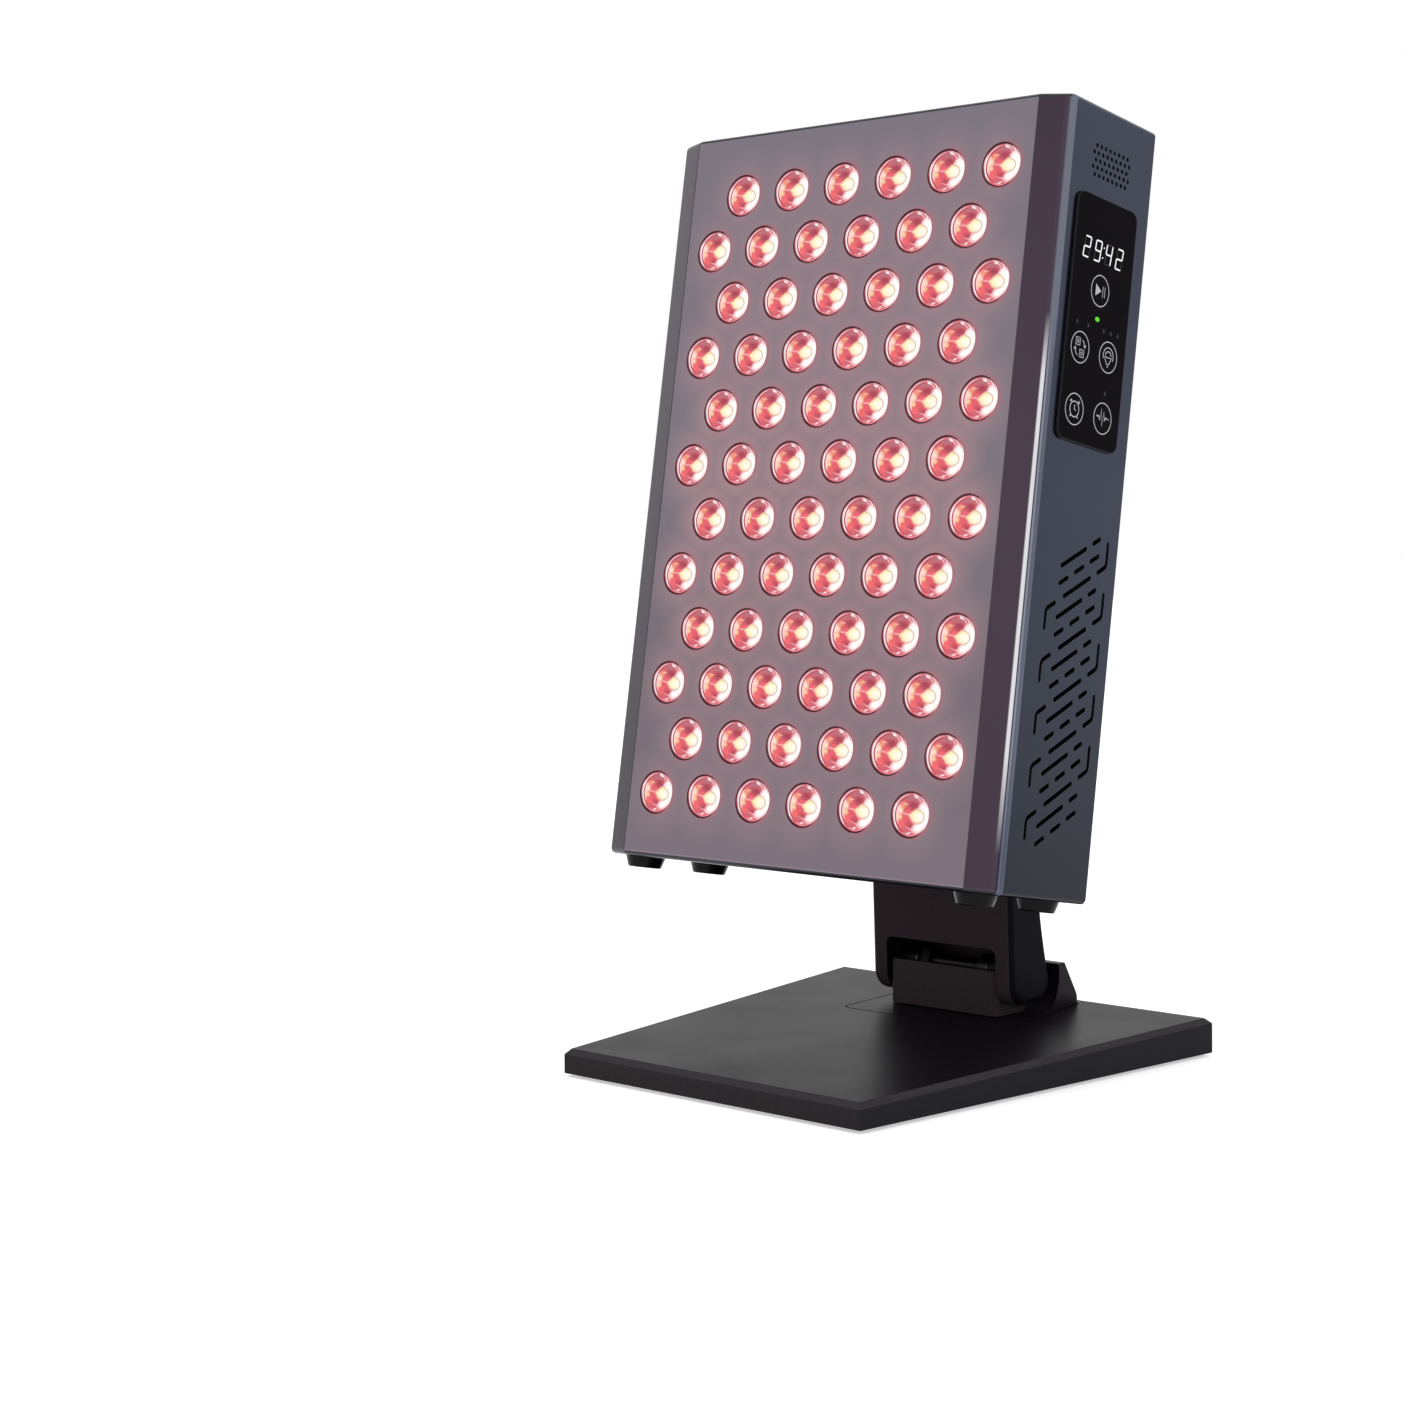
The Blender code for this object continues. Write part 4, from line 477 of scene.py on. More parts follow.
def smooth(piece, angle=32, weighted=True):
    """Shades a piece smooth but for its sharp edges, flat faces staying flat."""
    take(piece)
    bpy.ops.object.shade_smooth_by_angle(angle=math.radians(angle))
    if weighted:
        modify(piece, "WEIGHTED_NORMAL", mode="FACE_AREA", keep_sharp=True)
    return piece


def deliver(piece, place, body, finishes, stands_for=()):
    """Stands a finished piece in its place, on its body, with its finish."""
    piece.matrix_world = place
    settle(piece)
    let_go()
    piece.data.materials.clear()
    for finish in finishes:
        piece.data.materials.append(finish)
    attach(piece, body)
    if stands_for:
        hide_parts(*stands_for)
    return piece


# Finishes
NOISE_SPREAD = (0.3, 0.7)


class Finish:
    """Node material with a few maker's tools."""

    def __init__(self, name, colour, roughness, metallic=0.0):
        self.material = bpy.data.materials.get(name)
        self.fresh = self.material is None
        if self.fresh:
            self.material = bpy.data.materials.new(name)
            self.material.use_nodes = True
        self.tree = self.material.node_tree
        self.shader = next(n for n in self.tree.nodes if n.type == "BSDF_PRINCIPLED")
        self.set("Base Color", (*colour, 1))
        self.set("Roughness", roughness)
        self.set("Metallic", metallic)
        self.coordinates = None

    def set(self, socket, value):
        """Sets one of the shader's own values."""
        self.shader.inputs[socket].default_value = value
        return self

    def node(self, kind, **values):
        """Adds a node with its settings."""
        made = self.tree.nodes.new(kind)
        for key, value in values.items():
            setattr(made, key, value)
        return made

    def link(self, source, target):
        """Joins two sockets."""
        self.tree.links.new(source, target)

    def feed(self, socket, value):
        """Gives a socket a number, a colour or another socket's output."""
        if isinstance(value, bpy.types.NodeSocket):
            self.link(value, socket)
        elif isinstance(value, (int, float)):
            socket.default_value = value
        else:
            socket.default_value = (*value[:3], 1)

    def place(self):
        """Object coordinates."""
        if self.coordinates is None:
            self.coordinates = self.node("ShaderNodeTexCoord").outputs["Object"]
        return self.coordinates

    def noise(self, size, detail=2.0, stretch=None):
        """Noise whose grain has a size in metres."""
        source = self.place()
        if stretch is not None:
            mapping = self.node("ShaderNodeMapping")
            mapping.inputs["Scale"].default_value = stretch
            self.link(source, mapping.inputs["Vector"])
            source = mapping.outputs["Vector"]
        made = self.node("ShaderNodeTexNoise")
        made.inputs["Scale"].default_value = 1 / size
        made.inputs["Detail"].default_value = detail
        self.link(source, made.inputs["Vector"])
        return made.outputs["Fac"]

    def cloud(self, size, detail, start, end):
        """Noise of a size in metres, spread over a range."""
        return self.ramp(self.noise(size, detail), *NOISE_SPREAD, start, end)

    def ramp(self, source, low, high, start, end):
        """Maps a range of a value to another."""
        made = self.node("ShaderNodeMapRange")
        for name, value in (("Value", source), ("From Min", low), ("From Max", high),
                            ("To Min", start), ("To Max", end)):
            self.feed(made.inputs[name], value)
        return made.outputs["Result"]

    def along(self, direction, start):
        """Distance along a direction, from a point of the frame."""
        run = self.node("ShaderNodeVectorMath", operation="DOT_PRODUCT")
        self.link(self.place(), run.inputs[0])
        run.inputs[1].default_value = direction
        return self.math("SUBTRACT", run.outputs["Value"], direction.dot(start))

    def math(self, operation, first, second=0.0, third=0.0):
        """Reckons with numbers or sockets, such as a sum or the larger of two."""
        made = self.node("ShaderNodeMath", operation=operation)
        for socket, value in zip(made.inputs, (first, second, third)):
            self.feed(socket, value)
        return made.outputs[0]

    def graded(self, amount, stops):
        """Colour that runs through stops as a value goes from 0 to 1."""
        made = self.node("ShaderNodeValToRGB")
        scale = made.color_ramp
        first, last = scale.elements[0], scale.elements[1]
        first.position, last.position = stops[0][0], stops[-1][0]
        first.color, last.color = (*stops[0][1], 1), (*stops[-1][1], 1)
        for place, colour in stops[1:-1]:
            scale.elements.new(place).color = (*colour, 1)
        self.link(amount, made.inputs["Fac"])
        return made.outputs["Color"]

    def mix(self, amount, first, second):
        """Mixes two colours, each a colour or a socket."""
        made = self.node("ShaderNodeMix", data_type="RGBA")
        for place, value in ((0, amount), (6, first), (7, second)):
            self.feed(made.inputs[place], value)
        return made.outputs[2]

    def colour(self, source):
        """Feeds the base colour."""
        self.link(source, self.shader.inputs["Base Color"])
        return self

    def roughness(self, source):
        """Feeds the roughness."""
        self.link(source, self.shader.inputs["Roughness"])
        return self

    def bump(self, source, depth, strength=1.0):
        """Bumps the surface by a height in metres."""
        made = self.node("ShaderNodeBump")
        made.inputs["Strength"].default_value = strength
        made.inputs["Distance"].default_value = depth
        self.link(source, made.inputs["Height"])
        self.link(made.outputs["Normal"], self.shader.inputs["Normal"])
        return self


STAND_TINT = (1.0, 0.80, 1.0)
MOULDED_GRAIN = 0.0006


def toned(colour, share, lift=0.0):
    """Lighter or darker tone of a colour."""
    return tuple(min(1, c * share + lift) for c in colour)


def moulded(name, colour, roughness, grain, depth=0.00003, gloss=0.5, tint=(1, 1, 1)):
    """Moulded plastic with a fine grain and slightly uneven gloss."""
    made = Finish(name, colour, roughness)
    if made.fresh:
        made.roughness(made.cloud(0.03, 3, roughness - 0.025, roughness + 0.025))
        made.colour(made.mix(made.noise(grain * 3, 2), toned(colour, 0.86),
                             toned(colour, 1.18, 0.001)))
        made.bump(made.noise(grain, 3), depth)
        made.set("Specular IOR Level", gloss)
        made.set("Specular Tint", (*tint, 1))
    return made.material


def metal_paint(name, colour, roughness, metallic=0.9, shade=None):
    """Gloss metallic paint with fine flakes and soft unevenness."""
    made = Finish(name, colour, roughness, metallic)
    if made.fresh:
        ground = shade(made) if shade else colour
        flakes = made.ramp(made.noise(0.00035, 2), 0.25, 0.75, 0, 0.12)
        worn = made.cloud(0.04, 3, 0, 0.06)
        speckled = made.mix(flakes, ground, toned(colour, 1.6))
        made.colour(made.mix(worn, speckled, toned(colour, 0.6)))
        made.roughness(made.cloud(0.05, 2, roughness - 0.03, roughness + 0.03))
        made.bump(made.noise(0.0012, 2), 0.000004, 0.5)
        made.set("Specular IOR Level", 0.3)
    return made.material


def panel_height(made):
    """Height on the panel, from 0 at its foot to 1 at its top."""
    up = Vector(PANEL_AXES.col[2])
    return made.ramp(made.along(up, PANEL.translation), 0, PANEL_HEIGHT, 0, 1)


def panel_aside(made):
    """Distance to the side of the panel's middle plane."""
    return made.math("ABSOLUTE", made.along(RIGHT, Vector((0, 0, 0))))


def panel_setback(made):
    """Distance behind the front plate's face."""
    return made.along(PANEL_BACK, PANEL.translation)


def lens_distance(made, pitch, aside):
    """Distance to the nearest lens axis, moved aside, over the two sets of rows."""
    def step(operation, first, second=None):
        done = made.node("ShaderNodeVectorMath", operation=operation)
        made.link(first, done.inputs[0])
        if isinstance(second, bpy.types.NodeSocket):
            made.link(second, done.inputs[1])
        elif second is not None:
            done.inputs[1].default_value = second
        return done

    spot = made.node("ShaderNodeCombineXYZ")
    made.link(made.along(RIGHT, Vector((aside, 0, 0))), spot.inputs[0])
    made.link(made.along(Vector(PANEL_AXES.col[2]), PANEL.translation), spot.inputs[1])
    places = lens_places(pitch)
    fold = (pitch / 2, pitch * ROW_SHARE, 1)
    half = Vector(((LENS_COLUMNS - 1) / 2 * pitch, (LENS_ROWS / 2 - 1) * pitch * ROW_SHARE, 0))
    found = []
    for anchor in (places[0], places[LENS_COLUMNS]):
        folded = step("WRAP", step("SUBTRACT", spot.outputs[0], (*anchor, 0)).outputs[0], fold)
        folded.inputs[2].default_value = tuple(-f for f in fold)
        heart = Vector((*anchor, 0)) + Vector((half.x, -half.y, 0))
        beyond = step("ABSOLUTE", step("SUBTRACT", spot.outputs[0], heart).outputs[0])
        beyond = step("SUBTRACT", beyond.outputs[0], half)
        near = step("ABSOLUTE", folded.outputs[0])
        either = step("MAXIMUM", near.outputs[0], beyond.outputs[0])
        found.append(step("LENGTH", either.outputs[0]).outputs["Value"])
    return made.math("MINIMUM", *found)


# Painted reflection: share of the plate's colour at its foot and at its top
PLATE_FOOT_REFLECTION = (0.98, 0.93, 0.92)
PLATE_TOP_REFLECTION = (0.98, 1.00, 1.02)
# Distance aside beyond which the painted red light weakens towards the chamfers
GLOW_EDGE = 0.0780
# Start and end of the painted red light round a hole and of its painted bright fringe, in hole
# radii
GLOW_REACH = (1.05, 2.36)
FRINGE_REACH = (0.99, 1.12)
FRINGE_SHIFT = 0.12
FRINGE_PAINTED_LIGHT = (0.46, 0.13, 0.17)
# Strength of the painted red light from the panel's foot to its top
GLOW_LEVELS = ((0, 0.30), (0.10, 0.42), (0.5, 1.0), (0.90, 0.45), (1, 0.32))


def plate_shade(look):
    """Plate paint, its tone changing with height as painted reflection, with the lamps' red light
    painted between and beside the lenses.
    """
    def shade(made):
        height = panel_height(made)
        colour = Vector(look.plate_colour)
        foot, top = colour * Vector(PLATE_FOOT_REFLECTION), colour * Vector(PLATE_TOP_REFLECTION)
        plain = made.graded(height, ((0, foot), (0.24, foot * 0.92), (0.55, colour), (1, top)))
        within = made.ramp(panel_aside(made), GLOW_EDGE, FLAT_HALF, 1, 0.35)
        start, end = (share * look.hole_radius for share in GLOW_REACH)
        reach = made.ramp(lens_distance(made, look.lens_pitch, 0), start, end, 1, 0)
        level = made.graded(height, [(place, (share,) * 3) for place, share in GLOW_LEVELS])
        amount = made.math("MULTIPLY", reach, made.math("MULTIPLY", level, within))
        glowing = made.mix(amount, plain, look.plate_red_light)
        start, end = (share * look.hole_radius for share in FRINGE_REACH)
        distance = lens_distance(made, look.lens_pitch, look.hole_radius * FRINGE_SHIFT)
        return made.mix(made.ramp(distance, start, end, 0.50, 0), glowing, FRINGE_PAINTED_LIGHT)
    return shade


def height_shaded(made, colour, foot, top):
    """Painted shade by height: paint that runs from a share of its colour at the foot to another
    at the top.
    """
    base = Vector(colour)
    return made.graded(panel_height(made), ((0, base * foot), (0.5, base), (1, base * top)))


# Painted reflection lines along the right bend: setback in metres and tone
FOLD_START = 0.0040
FOLD_END = 0.0100
FOLD_LOWER = ((0.00440, "chamfer"), (0.00462, "line"), (0.00512, "line"), (0.00528, "dark"),
              (0.00546, "dark"), (0.00562, "thin"), (0.00605, "thin"), (0.00630, "band"),
              (0.00800, "band"), (0.00840, "wall"))
FOLD_FOOT = ((0.00490, "chamfer"), (0.00520, "dark"), (0.00546, "dark"), (0.00562, "band"),
             (0.00605, "band"), (0.00630, "soft"), (0.00780, "soft"), (0.00840, "wall"))
FOLD_UPPER = ((0.00490, "chamfer"), (0.00540, "glint"), (0.00780, "glint"), (0.00840, "wall"))


def fold_shade(look, colour, foot, top):
    """Side paint with painted shade by height and the painted reflections that run along the right
    bend between chamfer and wall.
    """
    def shade(made):
        height = panel_height(made)
        plain = height_shaded(made, colour, foot, top)
        tones = {"chamfer": tuple(look.right_chamfer_shaded_colour), "line": tuple(look.fold_highlight_colour),
                 "dark": (0.025, 0.030, 0.048), "thin": (0.26, 0.27, 0.33),
                 "band": (0.125, 0.135, 0.180), "wall": tuple(look.wall_shaded_colour),
                 "soft": (0.080, 0.089, 0.120), "glint": (0.170, 0.182, 0.228)}
        setback = made.ramp(panel_setback(made), FOLD_START, FOLD_END, 0, 1)
        reach = FOLD_END - FOLD_START
        upper, lower, low = (
            made.graded(setback, [((place - FOLD_START) / reach, tones[tone])
                                  for place, tone in steps])
            for steps in (FOLD_UPPER, FOLD_LOWER, FOLD_FOOT))
        lower = made.mix(made.ramp(height, 0.05, 0.17, 0, 1), low, lower)
        folded = made.mix(made.ramp(height, 0.64, 0.72, 0, 1), lower, upper)
        last = FOLD_LOWER[-1][0]
        on_fold = made.math("MULTIPLY", made.ramp(panel_setback(made), last - 0.0004, last, 1, 0),
                            made.ramp(panel_setback(made), FOLD_LOWER[0][0] - 0.0001,
                                      FOLD_LOWER[0][0], 0, 1))
        right_side = made.ramp(made.along(RIGHT, Vector((0, 0, 0))), PANEL_HALF - 0.0050,
                               PANEL_HALF - 0.0045, 0, 1)
        return made.mix(made.math("MULTIPLY", on_fold, right_side), plain, folded)
    return shade


def bare_metal(name, colour, roughness):
    """Bare metal with machining marks and small stains."""
    made = Finish(name, colour, roughness, 1.0)
    if made.fresh:
        marks = made.noise(0.0005, 3)
        made.roughness(made.ramp(marks, *NOISE_SPREAD, roughness - 0.08, roughness + 0.10))
        stain = made.ramp(made.noise(0.008, 3), 0.45, 0.75, 0, 1)
        made.colour(made.mix(stain, colour, toned(colour, 0.72)))
        made.bump(marks, 0.000008, 0.7)
    return made.material


def rubber(name, colour):
    """Matt rubber with a fine skin."""
    made = Finish(name, colour, 0.78)
    if made.fresh:
        made.colour(made.mix(made.noise(0.01, 3), toned(colour, 0.8), toned(colour, 1.4)))
        made.roughness(made.cloud(0.004, 3, 0.70, 0.86))
        made.bump(made.noise(0.0004, 2), 0.00002)
    return made.material


# Front housing
def folded_shell(look):
    """Housing sheet folded from a block: plate, two chamfers and four walls, open behind."""
    shell = block("housing", (-PANEL_HALF, 0, 0), (PANEL_HALF, PANEL_DEPTH, PANEL_HEIGHT))
    for side in (-1, 1):
        slice_at(shell, (side * FLAT_HALF, 0, 0), (1, 0, 0))
    shift(shell, lambda v: v.co.y < NEAR and abs(v.co.x) > PANEL_HALF - NEAR,
          (0, CHAMFER_DEPTH, 0))
    pick(shell, "FACE", lambda f: f.normal.y > 0.9)
    bpy.ops.mesh.delete(type="FACE")
    clean(shell)
    round_edges(shell, lambda e: along(e, 2) and abs(middle(e).x) < PANEL_HALF - NEAR
                and middle(e).y < NEAR, CREASE_ROUND, 2)
    round_edges(shell, lambda e: not e.is_boundary and e.calc_face_angle(0) > math.radians(15),
                look.bend_round, 6)
    return in_strips(shell)


def in_strips(shell):
    """Slices the walls between the rows of slots, so that no face holds many openings."""
    slope = Vector((0, -math.sin(VENT_ANGLE), math.cos(VENT_ANGLE)))
    for row in range(-2, 3 * VENT_GROUPS + 1):
        level = VENT_FOOT + (row + 0.5) * VENT_PITCH
        slice_at(shell, (0, VENT_FRONT, level), slope)
    for level in range(5):
        rise = TOUCH_HIGH.z + (PANEL_HEIGHT - TOUCH_HIGH.z) * (level + 0.5) / 5.5
        slice_at(shell, (0, 0, rise), (0, 0, 1))
    return shell


def with_thickness(shell):
    """Gives the folded sheet its thickness, inwards."""
    return modify(shell, "SOLIDIFY", thickness=SHEET, offset=-1, use_even_offset=True,
                  use_quality_normals=True)


def lens_places(pitch):
    """Centres of the lenses, in staggered rows."""
    places = []
    for row in range(LENS_ROWS):
        rise = PANEL_HEIGHT / 2 + (LENS_ROWS - 1 - 2 * row) / 2 * pitch * ROW_SHARE
        sway = pitch / 4 if row % 2 == 0 else -pitch / 4
        for column in range(LENS_COLUMNS):
            places.append(((2 * column - LENS_COLUMNS + 1) / 2 * pitch + sway, rise))
    return places


def lens_holes(look):
    """Drills for the round holes of the front plate."""
    drill = bar("lens_drill", look.hole_radius, (0, -OVERRUN, 0), (0, SHEET + OVERRUN, 0), 48)
    drills = [copy_of(drill, "lens_drill", Matrix.Translation((x, 0, z)))
              for x, z in lens_places(look.lens_pitch)]
    bpy.data.objects.remove(drill)
    return joined("lens_drills", drills)


def slot_tool(start, end):
    """Round-ended cutter across both side walls, from one slot end to the other."""
    run = Vector((0, end[0] - start[0], end[1] - start[1]))
    half = PANEL_HALF + OVERRUN
    tool = block("slot", (-half, -VENT_WIDTH / 2, -VENT_WIDTH / 2),
                 (half, run.length + VENT_WIDTH / 2, VENT_WIDTH / 2))
    round_edges(tool, lambda e: along(e, 0), VENT_WIDTH * ROUND_END, 5)
    turn = Matrix.Rotation(math.atan2(run.z, run.y), 4, "X")
    tool.matrix_world = Matrix.Translation((0, start[0], start[1])) @ turn
    return settle(tool)


def bent_tool():
    """Cutter for a bent slot: sloping leg, round bend and upright leg, swept from one end face."""
    half = PANEL_HALF + OVERRUN
    field = VENT_BACK - VENT_FRONT
    trim = VENT_BEND * math.tan((math.pi / 2 - VENT_ANGLE) / 2)
    slope = field * VENT_FRONT_SHARE / math.cos(VENT_ANGLE) - trim
    upright = VENT_FRONT_LEG - trim
    tool = block("bent_slot", (-half, -VENT_WIDTH / 2, -upright),
                 (half, VENT_WIDTH / 2, 0))
    pick(tool, "FACE", lambda f: f.normal.z > 0.9)
    bpy.ops.mesh.spin(steps=6, angle=math.pi / 2 - VENT_ANGLE, axis=(1, 0, 0),
                      center=(0, VENT_BEND, 0))
    ahead = Vector((0, math.cos(VENT_ANGLE), math.sin(VENT_ANGLE)))
    bpy.ops.mesh.extrude_region_move(
        TRANSFORM_OT_translate={"value": ahead * slope})
    bpy.ops.mesh.select_all(action="SELECT")
    bpy.ops.mesh.normals_make_consistent(inside=False)
    let_go()
    across = Vector((0, -math.sin(VENT_ANGLE), math.cos(VENT_ANGLE)))
    tip = Vector((0, VENT_BEND, 0)) + across * VENT_BEND + ahead * slope
    round_edges(tool, lambda e: along(e, 0) and (
        middle(e).z < -upright + NEAR or (middle(e) - tip).length < VENT_WIDTH),
        VENT_WIDTH * ROUND_END, 4)
    tool.matrix_world = Matrix.Translation((0, 0, -trim))
    return settle(tool)


def vent_cutters():
    """Cutters for all the slots, which go through both side walls."""
    field = VENT_BACK - VENT_FRONT
    rise = math.tan(VENT_ANGLE)

    def on_line(level, share):
        return (VENT_FRONT + field * share, level + field * share * rise)

    tools = []
    bent = bent_tool()
    stretch = (VENT_BACK_LEG - VENT_FRONT_LEG)
    for group in range(VENT_GROUPS):
        short = VENT_FOOT + 3 * group * VENT_PITCH
        lines = [(short, VENT_SHORT_SHARES), (short + VENT_PITCH, VENT_LONG_SHARES)]
        if group < VENT_GROUPS - 1:
            lines.append((short + 2 * VENT_PITCH, VENT_MIDDLE_SHARES))
            front = on_line(short + 2 * VENT_PITCH, 0)
            back = on_line(short + 2 * VENT_PITCH, 1)
            tools.append(copy_of(bent, "bent_front", Matrix.Translation((0, *front))))
            half_turn = Matrix.Rotation(math.pi, 4, "X")
            twin = copy_of(bent, "bent_back", half_turn)
            shift(twin, lambda v: v.co.z > VENT_BACK_LEG / 3, (0, 0, stretch))
            twin.matrix_world = Matrix.Translation((0, *back))
            tools.append(settle(twin))
        for level, shares in lines:
            for start, end in shares:
                tools.append(slot_tool(on_line(level, start), on_line(level, end)))
    bpy.data.objects.remove(bent)
    return joined("vent_cutters", tools)


def speaker_drills():
    """Drills for the rows of speaker holes in the right wall."""
    drill = bar("speaker_drill", SPEAKER_RADIUS, (PANEL_HALF - SHEET - OVERRUN, 0, 0),
                (PANEL_HALF + OVERRUN, 0, 0), 16)
    drills = []
    for row, count in enumerate(SPEAKER_ROWS):
        rise = SPEAKER_RISE + (len(SPEAKER_ROWS) - 1 - 2 * row) / 2 * SPEAKER_ROW_PITCH
        for hole in range(count):
            setback = SPEAKER_SETBACK + (2 * hole - count + 1) / 2 * SPEAKER_PITCH
            drills.append(copy_of(drill, "speaker_drill",
                                  Matrix.Translation((0, setback, rise))))
    bpy.data.objects.remove(drill)
    return joined("speaker_drills", drills)


def touch_window():
    """Cutter for the window behind the touch glass."""
    inset = TOUCH_WINDOW_INSET
    tool = block("touch_window",
                 (PANEL_HALF - SHEET - OVERRUN, TOUCH_LOW.y + inset, TOUCH_LOW.z + inset),
                 (PANEL_HALF + OVERRUN, TOUCH_HIGH.y - inset, TOUCH_HIGH.z - inset))
    return round_edges(tool, lambda e: along(e, 0), TOUCH_ROUND - inset / 2, 6)


def foot_holes():
    """Drills for the stems of the feet."""
    hearts = [heart_of(node, PANEL) for node in FOOT_NODES]
    drills = [bar("foot_drill", FOOT_STEM_HOLE, (heart.x, heart.y, -OVERRUN),
                  (heart.x, heart.y, SHEET + OVERRUN), 16) for heart in hearts]
    return joined("foot_drills", drills)


HOUSING_FINISHES = ("wall", "plate", "left", "right", "cut", "cut_highlight", "edge", "hole", "crease",
                    "rim_highlight", "rim_shade")


# Setback behind the chamfer at which the wall's openings can start
PAST_BEND = 0.0035


def housing_region(face):
    """Name of the finish that a face of the housing takes."""
    level, spot = face.normal, face.center
    aside = abs(spot.x)
    inner_height = SHEET < spot.z < PANEL_HEIGHT - SHEET
    # Cut faces of the slots: painted shade, with a painted highlight near the outer face on those
    # turned forward
    if abs(level.x) < 0.35 and aside > PANEL_HALF - SHEET and inner_height:
        if CHAMFER_DEPTH < spot.y < PANEL_DEPTH - SHEET:
            return "cut_highlight" if level.y < -0.3 else "cut"
    # Broken rims of the slots: painted highlight where they face forward, painted shade elsewhere
    if 0.4 < abs(level.x) < 0.9 and aside > PANEL_HALF - RIM_BREAK:
        if CHAMFER_DEPTH + PAST_BEND < spot.y < PANEL_DEPTH - SHEET:
            if SHEET < spot.z < PANEL_HEIGHT - 2 * SHEET:
                return "rim_highlight" if level.y < -0.2 else "rim_shade"
    # Walls of the lens holes, painted with the lenses' red light
    if abs(level.y) < 0.3 and spot.y < SHEET - NEAR and aside < FLAT_HALF - SHEET:
        if inner_height:
            return "hole"
    # The front's top and bottom bends: painted shade
    if abs(level.z) > 0.25 and spot.y < CHAMFER_DEPTH and level.y < -0.1:
        return "edge"
    if level.y < -0.5 and spot.y < CHAMFER_DEPTH + SHEET and abs(level.z) < 0.3:
        slope = math.degrees(math.atan2(abs(level.x), -level.y))
        if slope < 11:
            return "plate"
        # The bend between plate and left chamfer: a painted dark line of shade
        if slope < 19 and spot.x < 0:
            return "crease"
        if slope < 24:
            return "right" if spot.x > 0 else "left"
    return "wall"


def housing_paints(look):
    """Finishes of the housing, in the order of its regions."""
    # Painted highlight on the slots' cut faces near the outer face, painted shade deeper in
    def cut_highlight(made):
        return made.graded(made.ramp(panel_aside(made), PANEL_HALF - 0.0008,
                                     PANEL_HALF - 0.0001, 0, 1),
                           ((0, (0.004, 0.004, 0.006)), (0.45, (0.02, 0.022, 0.03)),
                            (0.6, (0.16, 0.17, 0.22)), (1, (0.20, 0.21, 0.26))))

    # Painted red light from the lenses on the hole walls, with painted shade at their front
    def hole_glow(made):
        return made.graded(made.ramp(panel_setback(made), 0, SHEET, 0, 1),
                           ((0, (0.020, 0.003, 0.006)), (0.30, (0.050, 0.008, 0.014)),
                            (0.48, (0.62, 0.30, 0.33)), (1, (0.72, 0.44, 0.46))))
    return {
        # Painted shade and reflections: the walls and chamfers take lit and shaded tones of one
        # paint, changing with height.
        "wall": metal_paint("wall_painted_shade_and_reflections", look.wall_shaded_colour, 0.22, 0.9,
                            fold_shade(look, look.wall_shaded_colour, 0.26, 1.07)),
        "plate": metal_paint("plate_paint_and_painted_light", look.plate_colour, 0.16, 0.9, plate_shade(look)),
        "left": metal_paint("left_chamfer_painted_light", look.left_chamfer_lit_colour, 0.18, 0.9,
                            lambda made: height_shaded(made, look.left_chamfer_lit_colour, 0.56, 1.30)),
        "right": metal_paint("right_chamfer_painted_shade", look.right_chamfer_shaded_colour, 0.18, 0.9,
                             fold_shade(look, look.right_chamfer_shaded_colour, 0.88, 0.80)),
        "crease": metal_paint("crease_painted_shade", (0.026, 0.024, 0.030), 0.25, 0.9),
        "rim_highlight": metal_paint("rim_painted_highlight", (0.22, 0.23, 0.27), 0.3, 0.9),
        "rim_shade": metal_paint("rim_painted_shade", (0.006, 0.006, 0.008), 0.5, 0.5),
        "cut": metal_paint("cut_painted_shade", (0.006, 0.006, 0.008), 0.6, 0.2),
        "cut_highlight": metal_paint("cut_rim_painted_highlight", (0.02, 0.02, 0.03), 0.4, 0.8, cut_highlight),
        "edge": metal_paint("edge_painted_shade", (0.040, 0.038, 0.048), 0.3, 0.9),
        "hole": metal_paint("hole_painted_glow", (0.020, 0.003, 0.006), 0.5, 0.2, hole_glow),
    }


class LIGHTPANEL_OT_housing(bpy.types.Operator):
    """Folds the housing from sheet and cuts its holes, slots and windows"""
    bl_idname = "lightpanel.housing"
    bl_label = "Front housing"

    def execute(self, context):
        look = context.scene.light_panel
        shell = with_thickness(folded_shell(look))
        weld(cut(shell, lens_holes(look), vent_cutters(), speaker_drills(), touch_window(),
                 foot_holes()))
        smooth(break_edges(shell, RIM_BREAK, 1, 50), 31)
        regions = [housing_region(face) for face in shell.data.polygons]
        paints = housing_paints(look)
        deliver(shell, PANEL, "panel", [paints[n] for n in HOUSING_FINISHES],
                ("front_housing",))
        for face, region in zip(shell.data.polygons, regions):
            face.material_index = HOUSING_FINISHES.index(region)
        return {"FINISHED"}


# Lenses
def lens_body(look):
    """One lens: cone with a rim, a groove and a shallow crown, its face along the front."""
    face = BOARD_LOW.y
    tip = face + LENS_DEPTH
    lens = bar("lens", look.lens_radius, (0, tip, 0), (0, face, 0), 40)
    pick(lens, "VERT", lambda v: v.co.y > tip - NEAR)
    bpy.ops.transform.resize(value=(LENS_TIP_SHARE, 1, LENS_TIP_SHARE),
                             center_override=(0, 0, 0))
    pick(lens, "FACE", lambda f: f.normal.y < -0.9)
    for inset, depth in LENS_STEPS:
        bpy.ops.mesh.inset(thickness=inset, depth=0)
        if depth:
            bpy.ops.transform.translate(value=(0, depth, 0))
    let_go()
    return lens


def map_face(lens, radius):
    """Gives a lens its own map: its face seen from the front, from 0 to 1."""
    layer = lens.data.uv_layers.get("face") or lens.data.uv_layers.new(name="face")
    for loop in lens.data.loops:
        spot = lens.data.vertices[loop.vertex_index].co
        layer.data[loop.index].uv = (spot.x / radius / 2 + 0.5, spot.z / radius / 2 + 0.5)
